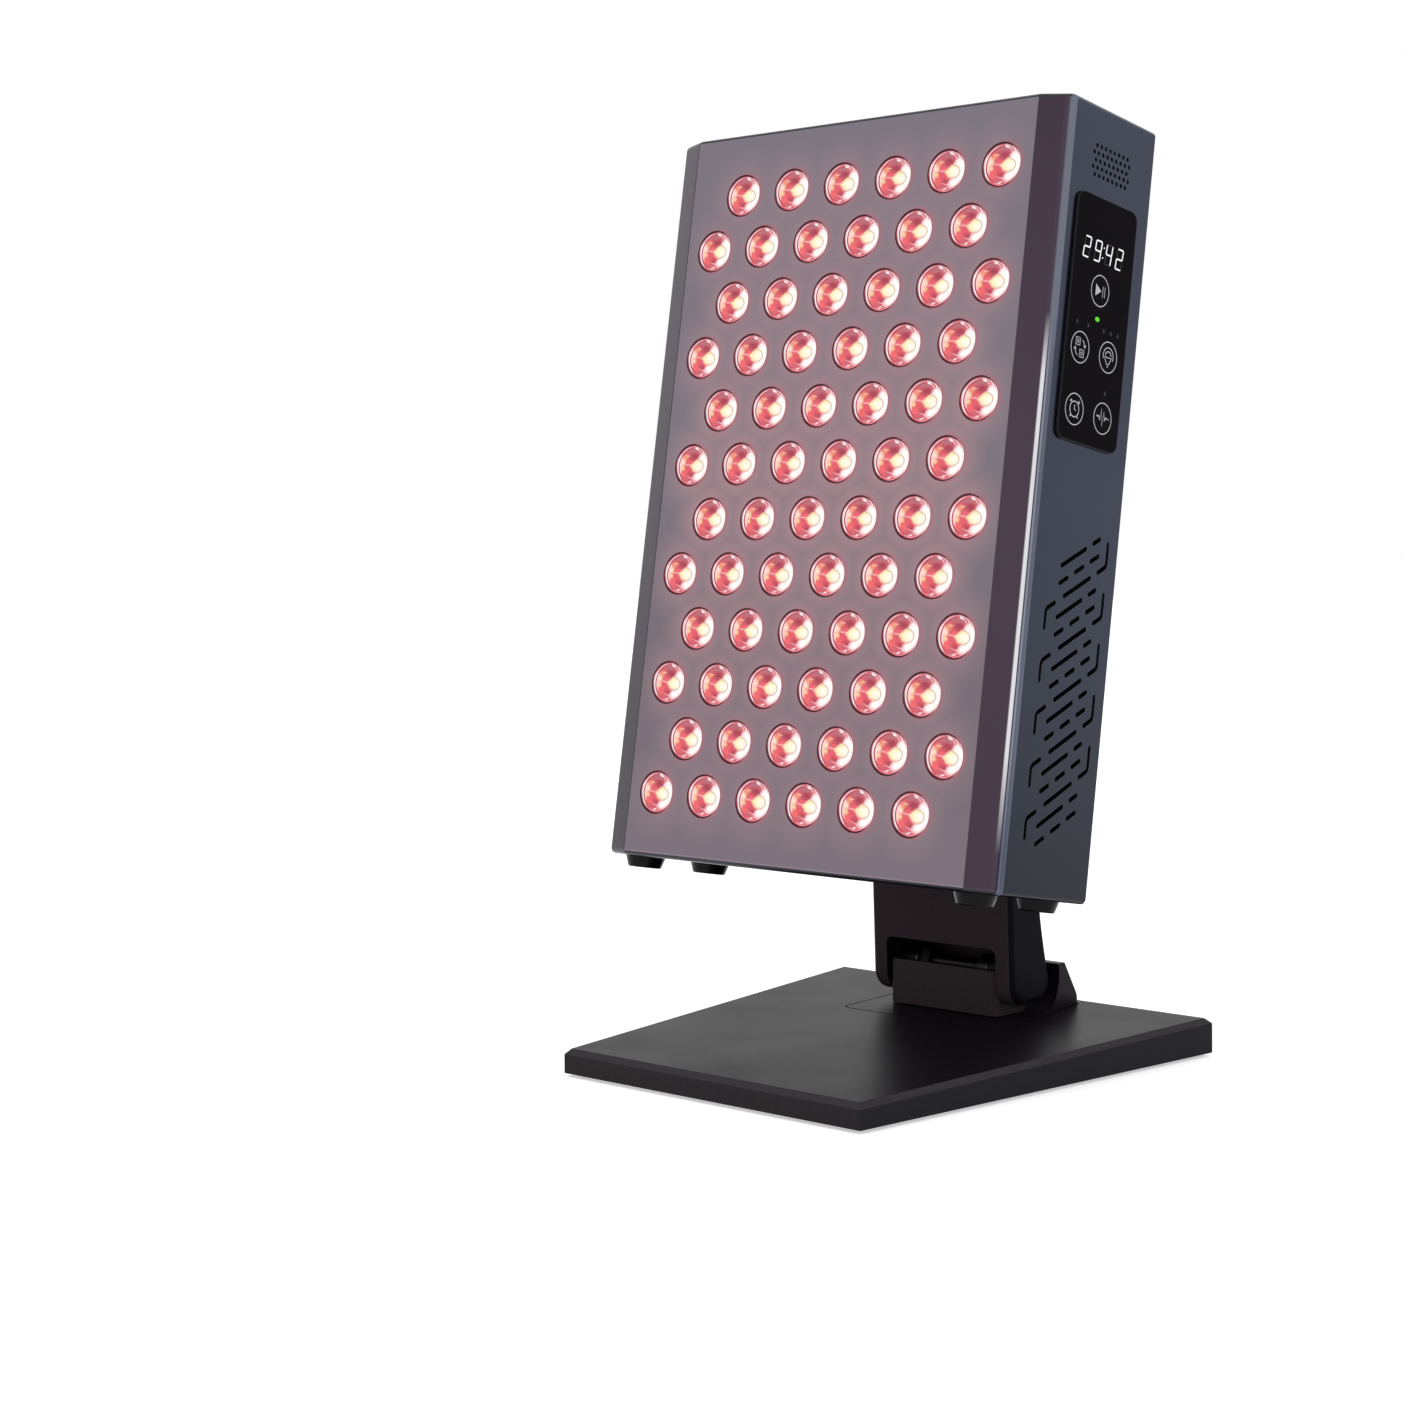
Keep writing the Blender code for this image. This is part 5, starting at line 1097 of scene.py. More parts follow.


# Lamp light seen in a lens, with painted highlights and reflections among it: across, up, half
# width, half height, turn in degrees, softness, colour, strength. Lengths are shares of the lens
# radius.
LENS_GLOW_AND_REFLECTIONS = (
    (0.02, 0.70, 0.60, 0.22, -8, 0.9, (0.42, 0.17, 0.20), 0.9),
    (0.02, 0.36, 0.50, 0.24, -14, 0.8, (0.47, 0.075, 0.11), 0.95),
    (0.16, 0.45, 0.26, 0.16, -10, 0.7, (0.36, 0.052, 0.085), 0.9),
    (-0.20, 0.25, 0.24, 0.12, 12, 0.7, (0.66, 0.10, 0.14), 0.9),
    (-0.10, 0.12, 0.26, 0.12, -6, 0.6, (0.84, 0.14, 0.17), 1.0),
    (-0.20, -0.22, 0.34, 0.14, 6, 0.7, (0.76, 0.11, 0.15), 1.0),
    (-0.42, -0.48, 0.34, 0.26, 20, 0.8, (0.90, 0.15, 0.16), 1.0),
    (-0.05, -0.45, 0.24, 0.16, -30, 0.7, (0.52, 0.075, 0.11), 0.85),
    (0.08, -0.48, 0.12, 0.09, -10, 0.7, (0.42, 0.055, 0.09), 0.85),
    (-0.15, -0.66, 0.40, 0.12, -12, 0.8, (0.58, 0.13, 0.17), 0.85),
    (-0.40, 0.40, 0.20, 0.16, 10, 0.8, (0.93, 0.34, 0.18), 0.95),
    (-0.30, 0.46, 0.18, 0.035, -6, 0.9, (1.0, 0.66, 0.56), 0.8),
    (-0.56, 0.16, 0.17, 0.19, 0, 0.8, (1.0, 0.84, 0.60), 0.95),
    (-0.56, -0.12, 0.16, 0.13, -16, 0.8, (1.0, 0.72, 0.36), 0.95),
    (-0.66, 0.10, 0.10, 0.30, 0, 0.9, (0.95, 0.70, 0.66), 0.6),
    (-0.24, 0.03, 0.22, 0.045, -6, 0.9, (1.0, 0.55, 0.56), 0.85),
    (0.78, 0.02, 0.42, 0.60, 8, 0.40, (1.0, 0.97, 0.95), 1.0),
    (0.50, -0.52, 0.40, 0.24, 24, 0.5, (1.0, 0.97, 0.95), 1.0),
    (0.62, 0.40, 0.24, 0.14, 42, 0.6, (1.0, 0.92, 0.90), 0.9),
    (0.33, -0.05, 0.33, 0.30, 10, 0.35, (1.0, 0.91, 0.60), 1.0),
    (0.06, -0.02, 0.16, 0.10, 4, 0.8, (1.0, 0.86, 0.50), 0.95),
    (0.43, -0.06, 0.20, 0.20, 10, 0.9, (1.0, 0.99, 0.88), 1.0),
    (0.26, -0.16, 0.10, 0.08, -20, 0.9, (1.0, 0.80, 0.40), 0.6),
    (0.40, 0.18, 0.18, 0.10, -20, 0.7, (1.0, 0.87, 0.50), 0.85),
    (0.62, 0.68, 0.24, 0.055, -52, 0.7, (1.0, 0.80, 0.82), 0.9),
    (0.44, 0.66, 0.16, 0.05, -50, 0.8, (0.95, 0.62, 0.66), 0.7),
    (0.76, 0.56, 0.20, 0.035, -58, 0.7, (0.50, 0.10, 0.16), 0.8),
    (0.22, 0.80, 0.15, 0.055, -24, 0.5, (1.0, 0.97, 0.97), 1.0),
    (0.10, -0.62, 0.34, 0.03, -18, 0.8, (1.0, 0.62, 0.66), 0.75),
    (-0.02, -0.80, 0.14, 0.05, 18, 0.7, (1.0, 0.88, 0.90), 0.9),
    (-0.24, -0.81, 0.15, 0.04, -6, 0.8, (0.66, 0.42, 0.44), 0.8),
)
# Crescents along the rim, painted highlights and reflections and a painted dark shade at its edge:
# inner radius, outer radius, towards, half angle, colour, strength
LENS_RIM_REFLECTIONS_AND_SHADE = (
    (0.865, 0.945, 166, 66, (0.95, 0.50, 0.54), 0.95),
    (0.865, 0.945, 184, 40, (1.0, 0.88, 0.89), 1.0),
    (0.795, 0.840, 172, 80, (0.30, 0.045, 0.085), 0.85),
    (0.68, 0.770, 178, 34, (1.0, 0.76, 0.72), 0.80),
    (0.90, 0.940, 64, 26, (1.0, 0.66, 0.70), 0.65),
    (0.89, 0.940, 292, 34, (0.90, 0.42, 0.48), 0.60),
    (0.940, 1.03, 100, 56, (0.038, 0.005, 0.012), 1.0),
    (0.935, 1.03, 244, 74, (0.030, 0.003, 0.008), 1.0),
    (0.960, 1.03, 176, 44, (0.26, 0.030, 0.060), 0.85),
)


# Hot spot of a lens, whose right edge is a tan arc: middle, half sizes and colour
HOT_SPOT = ((0.34, -0.06), (0.40, 0.31))
HOT_SPOT_ARC = (0.58, 0.38, 0.21)


def lens_finish(look):
    """Clear lens lit from behind: glow patches and hot spots, with painted highlights, reflections
    and dark rim crescents that glow as well.
    """
    made = Finish("lens_glow", (0.02, 0.002, 0.003), 0.12)
    if not made.fresh:
        return made.material
    mapped = made.node("ShaderNodeUVMap", uv_map="face").outputs["UV"]
    centred = made.node("ShaderNodeVectorMath", operation="MULTIPLY_ADD")
    made.link(mapped, centred.inputs[0])
    centred.inputs[1].default_value = (2, 2, 0)
    centred.inputs[2].default_value = (-1, -1, 0)
    point = centred.outputs[0]
    reach = made.node("ShaderNodeVectorMath", operation="LENGTH")
    made.link(point, reach.inputs[0])
    radius = reach.outputs["Value"]
    ripple = made.ramp(made.noise(0.0016, 2, (1, 1, 2.2)), *NOISE_SPREAD, 0, 1)
    shade = made.mix(ripple, (0.62, 0.090, 0.125), (0.86, 0.145, 0.175))
    for across, up, wide, tall, turn, soft, colour, strength in LENS_GLOW_AND_REFLECTIONS:
        reach = oval_reach(made, point, (across, up), (wide, tall), turn)
        cover = made.ramp(reach, 1 - soft, 1 + soft * 0.35, strength, 0)
        shade = made.mix(cover, shade, colour)
    parts = made.node("ShaderNodeSeparateXYZ")
    made.link(point, parts.inputs[0])
    hot_spot = oval_reach(made, point, *HOT_SPOT)
    arc = made.math("ABSOLUTE", made.math("SUBTRACT", hot_spot, 1.0))
    tan = made.math("MULTIPLY", made.ramp(arc, 0.03, 0.12, 1, 0),
                    made.ramp(parts.outputs["X"], 0.30, 0.46, 0, 1))
    shade = made.mix(made.math("MULTIPLY", tan, 0.80), shade, HOT_SPOT_ARC)
    bearing = made.math("ARCTAN2", parts.outputs["Y"], parts.outputs["X"])
    for low, high, towards, half, colour, strength in LENS_RIM_REFLECTIONS_AND_SHADE:
        band = made.math("MULTIPLY", made.ramp(radius, low - 0.02, low + 0.01, 0, 1),
                         made.ramp(radius, high - 0.01, high + 0.02, 1, 0))
        off = made.math("SUBTRACT", bearing, math.radians(towards))
        off = made.math("WRAP", off, math.pi, -math.pi)
        side = made.ramp(made.math("ABSOLUTE", off), math.radians(half * 0.7),
                         math.radians(half * 1.15), strength, 0)
        shade = made.mix(made.math("MULTIPLY", band, side), shade, colour)
    made.link(shade, made.shader.inputs["Emission Color"])
    made.set("Emission Strength", look.lens_glow)
    made.set("Specular IOR Level", 0.15)
    return made.material


def oval_reach(made, point, heart, halves, turn=0):
    """Distance from the heart of an oval on a lens, 1 at its edge."""
    placed = made.node("ShaderNodeMapping", vector_type="TEXTURE")
    made.link(point, placed.inputs["Vector"])
    placed.inputs["Location"].default_value = (*heart, 0)
    placed.inputs["Rotation"].default_value = (0, 0, math.radians(turn))
    placed.inputs["Scale"].default_value = (*halves, 1)
    size = made.node("ShaderNodeVectorMath", operation="LENGTH")
    made.link(placed.outputs[0], size.inputs[0])
    return size.outputs["Value"]


class LIGHTPANEL_OT_lenses(bpy.types.Operator):
    """Models one lens, sets a copy in each hole and puts the lamp board behind them"""
    bl_idname = "lightpanel.lenses"
    bl_label = "Lenses"

    def execute(self, context):
        look = context.scene.light_panel
        lens = smooth(lens_body(look), 40, False)
        map_face(lens, look.lens_radius)
        lenses = [copy_of(lens, "lens", Matrix.Translation((x, 0, z)))
                  for x, z in lens_places(look.lens_pitch)]
        bpy.data.objects.remove(lens)
        field = joined("lens_field", lenses)
        deliver(field, PANEL, "panel", (lens_finish(look),), ("led_board",))
        board = block("lamp_board", (BOARD_LOW.x, BOARD_HIGH.y - LAMP_BOARD_THICKNESS,
                                     BOARD_LOW.z), BOARD_HIGH)
        round_edges(board, lambda e: along(e, 1), LAMP_BOARD_ROUND, 4)
        break_edges(board, 0.0002, 1)
        deliver(smooth(board), PANEL, "panel",
                (moulded("board_lacquer", (0.55, 0.54, 0.52), 0.35, MOULDED_GRAIN),))
        return {"FINISHED"}


# Touch glass
def on_glass(spot):
    """Place on the glass: across and up become the panel's depth and height."""
    heart = (TOUCH_LOW + TOUCH_HIGH) / 2
    return Vector((TOUCH_HIGH.x - PRINT_DEPTH, heart.y + spot[0], heart.z + spot[1]))


def flat_mark(piece):
    """Presses a mark flat onto the glass."""
    depths = [vertex.co.x for vertex in piece.data.vertices]
    share = MARK_DEPTH / (max(depths) - min(depths))
    edit_all(piece)
    bpy.ops.transform.resize(value=(share, 1, 1),
                             center_override=(TOUCH_HIGH.x - PRINT_DEPTH, 0, 0))
    bpy.ops.transform.translate(value=(MARK_DEPTH / 2, 0, 0))
    let_go()
    return piece


def ring(spot, radius, line, sides=56):
    """Round line on the glass."""
    let_go()
    bpy.ops.mesh.primitive_torus_add(major_radius=radius, minor_radius=line / 2,
                                     major_segments=sides, minor_segments=8,
                                     location=on_glass(spot), rotation=(0, math.pi / 2, 0))
    piece = bpy.context.object
    return flat_mark(settle(piece))


def stroke(spot, points, share=1.0):
    """Line through points on the glass, closed where they end at the first."""
    let_go()
    curve = bpy.data.curves.new("stroke", "CURVE")
    curve.dimensions = "3D"
    curve.bevel_depth = ICON_LINE * share / 2
    curve.bevel_resolution = 1
    curve.use_fill_caps = True
    run = curve.splines.new("POLY")
    run.use_cyclic_u = points[0] == points[-1]
    points = points[:-1] if run.use_cyclic_u else points
    run.points.add(len(points) - 1)
    for knot, (across, up) in zip(run.points, points):
        knot.co = (*on_glass((spot[0] + across, spot[1] + up)), 1)
    piece = bpy.data.objects.new("stroke", curve)
    bpy.context.scene.collection.objects.link(piece)
    take(piece)
    bpy.ops.object.convert(target="MESH")
    return flat_mark(bpy.context.object)


def arc_points(middle_spot, radius, start, end, steps=12):
    """Points along an arc, from one bearing in degrees to another."""
    turns = [math.radians(start + (end - start) * step / steps) for step in range(steps + 1)]
    return [(middle_spot[0] + radius * math.cos(t), middle_spot[1] + radius * math.sin(t))
            for t in turns]


def patch(spot, corners):
    """Filled shape on the glass, drawn by its corners."""
    let_go()
    bpy.ops.mesh.primitive_circle_add(vertices=len(corners), radius=0.001, fill_type="NGON")
    piece = bpy.context.object
    for vertex, (across, up) in zip(piece.data.vertices, corners):
        vertex.co = on_glass((spot[0] + across, spot[1] + up))
    edit_all(piece)
    bpy.ops.mesh.extrude_region_move(TRANSFORM_OT_translate={"value": (MARK_DEPTH, 0, 0)})
    bpy.ops.mesh.select_all(action="SELECT")
    bpy.ops.mesh.normals_make_consistent(inside=False)
    let_go()
    piece.matrix_world = WORLD
    return piece


def lamp_dot(spot, wide, tall):
    """Small round lamp under the glass."""
    return patch(spot, [(wide / 2 * x, tall / 2 * z)
                        for x, z in arc_points((0, 0), 1, 0, 345, 23)])


def segment(spot, start, end):
    """One bar of a digit, leaning as the digits do."""
    lean = math.tan(DIGIT_LEAN)
    (x0, z0), (x1, z1) = start, end
    run = Vector((x1 - x0, z1 - z0)).normalized()
    side = Vector((-run.y, run.x)) * DIGIT_LINE / 2
    trim, tip = run * DIGIT_LINE * DIGIT_TRIM, run * DIGIT_LINE * DIGIT_TIP
    ends = Vector((x0, z0)) + trim, Vector((x1, z1)) - trim
    outline = (ends[0], ends[0] + tip + side, ends[1] - tip + side, ends[1],
               ends[1] - tip - side, ends[0] + tip - side)
    return patch(spot, [(p.x + p.y * lean, p.y) for p in outline])


DIGIT_BARS = {"top": ((-1, 1), (1, 1)), "middle": ((-1, 0), (1, 0)), "foot": ((-1, -1), (1, -1)),
              "left_high": ((-1, 0), (-1, 1)), "right_high": ((1, 0), (1, 1)),
              "left_low": ((-1, -1), (-1, 0)), "right_low": ((1, -1), (1, 0))}
DIGIT_LIT = {2: ("top", "right_high", "middle", "left_low", "foot"),
             4: ("left_high", "right_high", "middle", "right_low"),
             9: ("top", "left_high", "right_high", "middle", "right_low", "foot")}
CLOCK_DIGITS = (2, 9, 4, 2)


def clock_marks():
    """Lit and unlit bars of the timer's digits."""
    lit, unlit = [], []
    half_width, half_height = DIGIT_WIDTH / 2, DIGIT_HEIGHT / 2
    for place, digit in enumerate(CLOCK_DIGITS):
        spot = (CLOCK_MIDDLE[0] + (2 * place - len(CLOCK_DIGITS) + 1) / 2 * DIGIT_PITCH,
                CLOCK_MIDDLE[1])
        for bar_name, (start, end) in DIGIT_BARS.items():
            made = segment(spot, (start[0] * half_width, start[1] * half_height),
                           (end[0] * half_width, end[1] * half_height))
            (lit if bar_name in DIGIT_LIT[digit] else unlit).append(made)
    for rise in (0.5, -0.5):
        lean = rise * half_height * math.tan(DIGIT_LEAN)
        lit.append(lamp_dot((CLOCK_MIDDLE[0] + lean, CLOCK_MIDDLE[1] + rise * half_height),
                            DIGIT_LINE * 1.1, DIGIT_LINE * 1.1))
    return lit, unlit


def swap_icon(spot):
    """Two small lamps that change places."""
    marks = []
    for across, up in ((-0.0019, 0.0024), (0.0015, -0.0025)):
        corners = [(across + x * 0.0016, up + z * 0.0016)
                   for x, z in ((-1, -1), (1, -1), (1, 1), (-1, 1), (-1, -1))]
        marks += [stroke(spot, corners),
                  ring((spot[0] + across, spot[1] + up), 0.0007, ICON_LINE * 0.7, 20)]
    return marks + [
        stroke(spot, arc_points((-0.0004, -0.0002), 0.0040, 62, 8)),
        stroke(spot, [(0.0027, 0.0013), (0.0036, 0.0001), (0.0041, 0.0015)]),
        stroke(spot, arc_points((0.0002, -0.0002), 0.0040, 242, 188)),
        stroke(spot, [(-0.0045, -0.0016), (-0.0038, -0.0002), (-0.0029, -0.0014)])]


def lamp_icon(spot):
    """Bulb under two arcs."""
    return [stroke(spot, arc_points((0, 0.0004), 0.0039, -20, 200, 20)),
            stroke(spot, arc_points((0, 0.0004), 0.0022, 8, 172, 14)),
            stroke(spot, [(-0.0030, -0.0001), (0.0030, -0.0001)], 0.8),
            stroke(spot, [(-0.0023, -0.0007), (-0.0007, -0.0032), (0.0007, -0.0032),
                          (0.0023, -0.0007)]),
            stroke(spot, [(-0.0005, -0.0042), (0.0005, -0.0042)])]


def alarm_icon(spot):
    """Alarm clock."""
    marks = [ring(spot, 0.0034, ICON_LINE),
             stroke(spot, [(0, 0.0019), (0, 0), (0.0011, -0.0005)])]
    for side in (-1, 1):
        marks += [stroke(spot, [(side * 0.0036, 0.0030), (side * 0.0024, 0.0037)], 1.9),
                  stroke(spot, [(side * 0.0023, -0.0026), (side * 0.0029, -0.0036)], 1.4)]
    return marks


def pulse_icon(spot):
    """Pulse line."""
    points = ((-0.0046, 0.0006), (-0.0028, 0.0006), (-0.0021, -0.0010), (-0.0012, 0.0040),
              (-0.0002, -0.0034), (0.0008, 0.0030), (0.0015, -0.0008), (0.0021, 0.0006),
              (0.0034, 0.0005))
    dot = ICON_LINE * 1.4
    return [stroke(spot, points, 1.7), lamp_dot((spot[0] + 0.0045, spot[1] + 0.0003), dot, dot)]


def run_icon(spot):
    """Triangle and two bars."""
    return [patch(spot, [(-0.0034, -0.0026), (0.0008, 0), (-0.0034, 0.0026)])] + [
        stroke(spot, [(across, -0.0024), (across, 0.0024)], 0.7) for across in (0.0021, 0.0036)]


class LIGHTPANEL_OT_touch_glass(bpy.types.Operator):
    """Models the touch glass and its key marks"""
    bl_idname = "lightpanel.touch_glass"
    bl_label = "Touch glass"

    def execute(self, context):
        look = context.scene.light_touch
        glass = block("touch_glass", TOUCH_LOW, TOUCH_HIGH - Vector((PRINT_DEPTH, 0, 0)))
        round_edges(glass, lambda e: along(e, 0), TOUCH_ROUND, 10)
        round_edges(glass, lambda e: middle(e).x > TOUCH_HIGH.x - PRINT_DEPTH - NEAR, GLASS_RIM, 3)
        made = Finish("black_glass", look.glass_colour, 0.05)
        if made.fresh:
            made.roughness(made.ramp(made.noise(0.012, 3), 0.35, 0.75, 0.03, 0.09))
            made.colour(made.mix(made.noise(0.02, 2), look.glass_colour,
                                 toned(look.glass_colour, 1.25)))
            made.set("Specular IOR Level", 0.012)
        side = moulded("glass_edge", (0.0150, 0.0150, 0.0175), 0.3, MOULDED_GRAIN, 0.000002, 0.1)
        deliver(smooth(glass), PANEL, "panel", (made.material, side),
                ("touch_panel",))
        face_way = Vector(PANEL_AXES.col[0])
        for face in glass.data.polygons:
            face.material_index = 0 if face.normal.dot(face_way) > 0.8 else 1
        icons = ((swap_icon, (KEY_FRONT, KEY_UPPER)), (lamp_icon, (KEY_BACK, KEY_UPPER)),
                 (alarm_icon, (KEY_FRONT, KEY_LOWER)), (pulse_icon, (KEY_BACK, KEY_LOWER)),
                 (run_icon, RUN_KEY))
        marks = [ring(spot, RING_RADIUS, RING_LINE) for _, spot in icons]
        for icon, spot in icons:
            marks += icon(spot)
        lit, unlit = clock_marks()
        dots = [lamp_dot(spot, 0.0016, 0.0020) for spot in UNLIT_LAMPS]
        run_lamp = [lamp_dot(RUN_LAMP, 0.0033, 0.0021)]
        for name, pieces, colour, glow in (
                # The key marks are print, and their glow is painted light.
                ("key_marks", marks, look.print_colour, 0.75),
                ("timer_digits", lit, look.digit_colour, 0.9),
                ("timer_unlit_bars", unlit, look.unlit_colour, 0.0),
                ("unlit_lamps", dots, look.dot_colour, 0.0),
                ("run_lamp", run_lamp, look.lamp_colour, 1.0)):
            deliver(joined(name, pieces), PANEL, "panel",
                    (mark_finish(name + "_ink", colour, glow),), ("touch_panel",))
        return {"FINISHED"}


def mark_finish(name, colour, glow):
    """Ink or lit lamp behind the glass, slightly uneven."""
    made = Finish(name, toned(colour, 0.25) if glow else colour, 0.5)
    if made.fresh:
        uneven = made.noise(0.0009, 2)
        pale = made.mix(uneven, toned(colour, 0.86), toned(colour, 1.1))
        if glow:
            made.link(pale, made.shader.inputs["Emission Color"])
            made.set("Emission Strength", glow)
        else:
            made.colour(pale)
        made.set("Specular IOR Level", 0.05)
    return made.material


# Feet
class LIGHTPANEL_OT_feet(bpy.types.Operator):
    """Models one rubber foot and sets it at the panel's four corners"""
    bl_idname = "lightpanel.feet"
    bl_label = "Feet"

    def execute(self, context):
        low, high = span(FOOT_NODES[0], PANEL)
        foot = bar("foot", FOOT_RADIUS, (0, 0, -NEAR), (0, 0, low.z), 40, FOOT_TIP_RADIUS)
        round_edges(foot, lambda e: middle(e).z < low.z + NEAR, FOOT_RIM, 4)
        pick(foot, "FACE", lambda f: f.normal.z > 0.9)
        bpy.ops.mesh.inset(thickness=FOOT_RADIUS - FOOT_STEM_RADIUS)
        stem = (0, 0, high.z + NEAR)
        bpy.ops.mesh.extrude_region_move(TRANSFORM_OT_translate={"value": stem})
        let_go()
        smooth(foot)
        skin = moulded("foot_rubber", (0.0030, 0.0028, 0.0032), 0.22, 0.0008, 0.000002, 0.10)
        for node in FOOT_NODES:
            heart = heart_of(node, PANEL)
            twin = copy_of(foot, node + "_rubber", Matrix.Translation((heart.x, heart.y, 0)))
            deliver(twin, PANEL, "panel", (skin,), (node,))
        bpy.data.objects.remove(foot)
        return {"FINISHED"}


# Stand
def base_top(y):
    """Height of the base's sloping top."""
    share = (y - BASE_LOW.y) / (BASE_HIGH.y - BASE_LOW.y)
    return BASE_FRONT_HEIGHT + (BASE_HIGH.z - BASE_FRONT_HEIGHT) * share


def base_block(name, inset, low, drop):
    """Wedge that follows the base's outline and top."""
    wedge = block(name, (-BASE_HIGH.x + inset, BASE_LOW.y + inset, low),
                  (BASE_HIGH.x - inset, BASE_HIGH.y - inset, BASE_HIGH.z - drop))
    taper = BASE_HIGH.x - BASE_FRONT_HALF
    slope = BASE_HIGH.z - BASE_FRONT_HEIGHT
    for side in (-1, 1):
        shift(wedge, lambda v: v.co.y < 0 and v.co.x * side > 0, (-side * taper, 0, 0))
    shift(wedge, lambda v: v.co.y < 0 and v.co.z > low + NEAR, (0, 0, -slope))
    return wedge


def base_cover(look):
    """Hollow wedge with a chamfered rim and the window for the hinge seat."""
    shell = base_block("base_cover", 0, BASE_LOW.z, 0)
    round_edges(shell, lambda e: min(v.co.z for v in e.verts) > BASE_LOW.z + NEAR,
                look.rim_chamfer, 1)
    hollow = base_block("hollow", BASE_WALL, BASE_LOW.z - OVERRUN, BASE_WALL)
    window = block("window", (SEAT_LOW.x - SEAM, SEAT_LOW.y - SEAM, BASE_LOW.z),
                   (SEAT_HIGH.x + SEAM, SEAT_HIGH.y + SEAM, BASE_HIGH.z + OVERRUN))
    round_edges(window, lambda e: along(e, 2), SEAT_ROUND + SEAM, 8)
    cut(shell, hollow, window)
    return break_edges(shell, BASE_BREAK, 2, 25)


def top_plastic(name, look):
    """Black plastic of the base's top and of the hinge seat."""
    return moulded(name, look.base_colour, 0.36, look.grain, 0.000004, 0.075, STAND_TINT)


class LIGHTPANEL_OT_base(bpy.types.Operator):
    """Models the moulded base cover"""
    bl_idname = "lightpanel.base"
    bl_label = "Base"

    def execute(self, context):
        look = context.scene.light_stand
        shell = base_cover(look)
        # The top, sides, flanks and rim bevel are one plastic painted in tones by how light falls:
        # a painted highlight on the bevel, lighter sides, darker flanks.
        sides = [moulded(name, colour, 0.5, look.grain, 0.000006, 0.06) for name, colour in
                 (("base_side_painted_light", (0.0205, 0.0165, 0.0192)),
                  ("base_flank_painted_shade", (0.0115, 0.0112, 0.0142)),
                  ("base_bevel_painted_highlight", (0.0330, 0.0300, 0.0330)))]
        deliver(smooth(shell), WORLD, "base",
                (top_plastic("base_plastic", look), *sides), ("base_shell",))
        for face in shell.data.polygons:
            level = face.normal
            if level.z > 0.9:
                face.material_index = 0
            elif level.z > 0.4:
                face.material_index = 3
            else:
                face.material_index = 2 if abs(level.x) > abs(level.y) else 1
        return {"FINISHED"}


def arm_body(look):
    """Arm block with a round heel, a drawn-in back and a round head."""
    low, high = ARM_LOW.z, ARM_HIGH.z
    arm = block("arm", (-ARM_HALF, -ARM_HEEL_FRONT, low), (ARM_HALF, ARM_HEEL_BACK, high))
    heel = low + ARM_HEEL_ROUND
    levels = [heel + (ARM_NECK_RISE - heel) * share / ARM_NECK_STEPS
              for share in range(ARM_NECK_STEPS + 1)]
    for level in levels + [ARM_REACH]:
        slice_at(arm, (0, 0, level), (0, 0, 1))
    reach = ARM_HEEL_BACK - ARM_BACK
    for index, level in enumerate(levels):
        drawn = reach * (1 - (1 - index / ARM_NECK_STEPS) ** ARM_NECK_CURVE)
        shift(arm, lambda v: abs(v.co.z - level) < NEAR and v.co.y > 0, (0, -drawn, 0))
    shift(arm, lambda v: v.co.z > ARM_REACH - NEAR and v.co.y > 0, (0, -reach, 0))
    front = ARM_HEEL_FRONT - ARM_BACK
    shift(arm, lambda v: v.co.z > ARM_REACH - NEAR and v.co.y < 0, (0, front, 0))
    for level in levels:
        lean = front * (level - heel) / (ARM_REACH - heel)
        shift(arm, lambda v: abs(v.co.z - level) < NEAR and v.co.y < 0, (0, lean, 0))
    round_edges(arm, lambda e: along(e, 0) and middle(e).z < low + NEAR, ARM_HEEL_ROUND, 10)
    round_edges(arm, lambda e: along(e, 0) and middle(e).z > high - NEAR, ARM_BACK * 0.999, 12)
    clean(arm, 0.3)
    return round_edges(arm, lambda e: not along(e, 0) and abs(middle(e).x) > ARM_HALF - NEAR,
                       look.arm_round, 6)


def arm_cutters():
    """Notches between the ears at both ends of the arm, and the bores through them."""
    half = ARM_HALF - ARM_EAR
    deep = ARM_HEEL_FRONT + OVERRUN
    lower = block("lower_notch", (-half, -deep, 0), (half, 0, ARM_NOTCH_RISE))
    round_edges(lower, lambda e: along(e, 1) and middle(e).z > 0, ARM_NOTCH_ROUND, 8)
    mouth = block("notch_mouth", (-half, -deep, ARM_LOW.z - OVERRUN), (half, deep, NEAR))
    swing = bar("notch_swing", NOTCH_SWING, (-half, 0, 0), (half, 0, 0), 64)
    upper = block("upper_notch", (-HEAD_NOTCH_HALF, -deep, ARM_REACH - HEAD_NOTCH_DEPTH),
                  (HEAD_NOTCH_HALF, deep, ARM_HIGH.z + OVERRUN))
    round_edges(upper, lambda e: along(e, 1) and middle(e).z < ARM_REACH, HEAD_NOTCH_ROUND, 5)
    cap_low, cap_high = span("hinge_cap", ARM)
    shaft_end = span("base_shaft", ARM)[1].x + GAP
    before = cap_low.x - OVERRUN
    bore = bar("bore", SHAFT_BORE, (before, 0, 0), (shaft_end, 0, 0), 32)
    cap_seat = bar("cap_seat", cap_high.z + GAP, (before, 0, 0), (cap_high.x + GAP, 0, 0), 40)
    end = ARM_HALF + OVERRUN
    bolt_bore = bar("bolt_bore", SHAFT_BORE, (-end, 0, ARM_REACH), (end, 0, ARM_REACH), 32)
    floor = -span("head_nut", ARM)[0].x - NUT_WIDTH
    right = bar("right_recess", NUT_RECESS, (floor, 0, ARM_REACH), (end, 0, ARM_REACH), 40)
    left = bar("left_recess", NUT_RECESS, (-end, 0, ARM_REACH), (-floor, 0, ARM_REACH), 40)
    cover_low, cover_high = span("arm_rear_cover", ARM)
    rear = block("rear_recess", cover_low - Vector((GAP, GAP, GAP)),
                 cover_high + Vector((GAP, OVERRUN, GAP)))
    return lower, mouth, swing, upper, bore, cap_seat, bolt_bore, right, left, rear


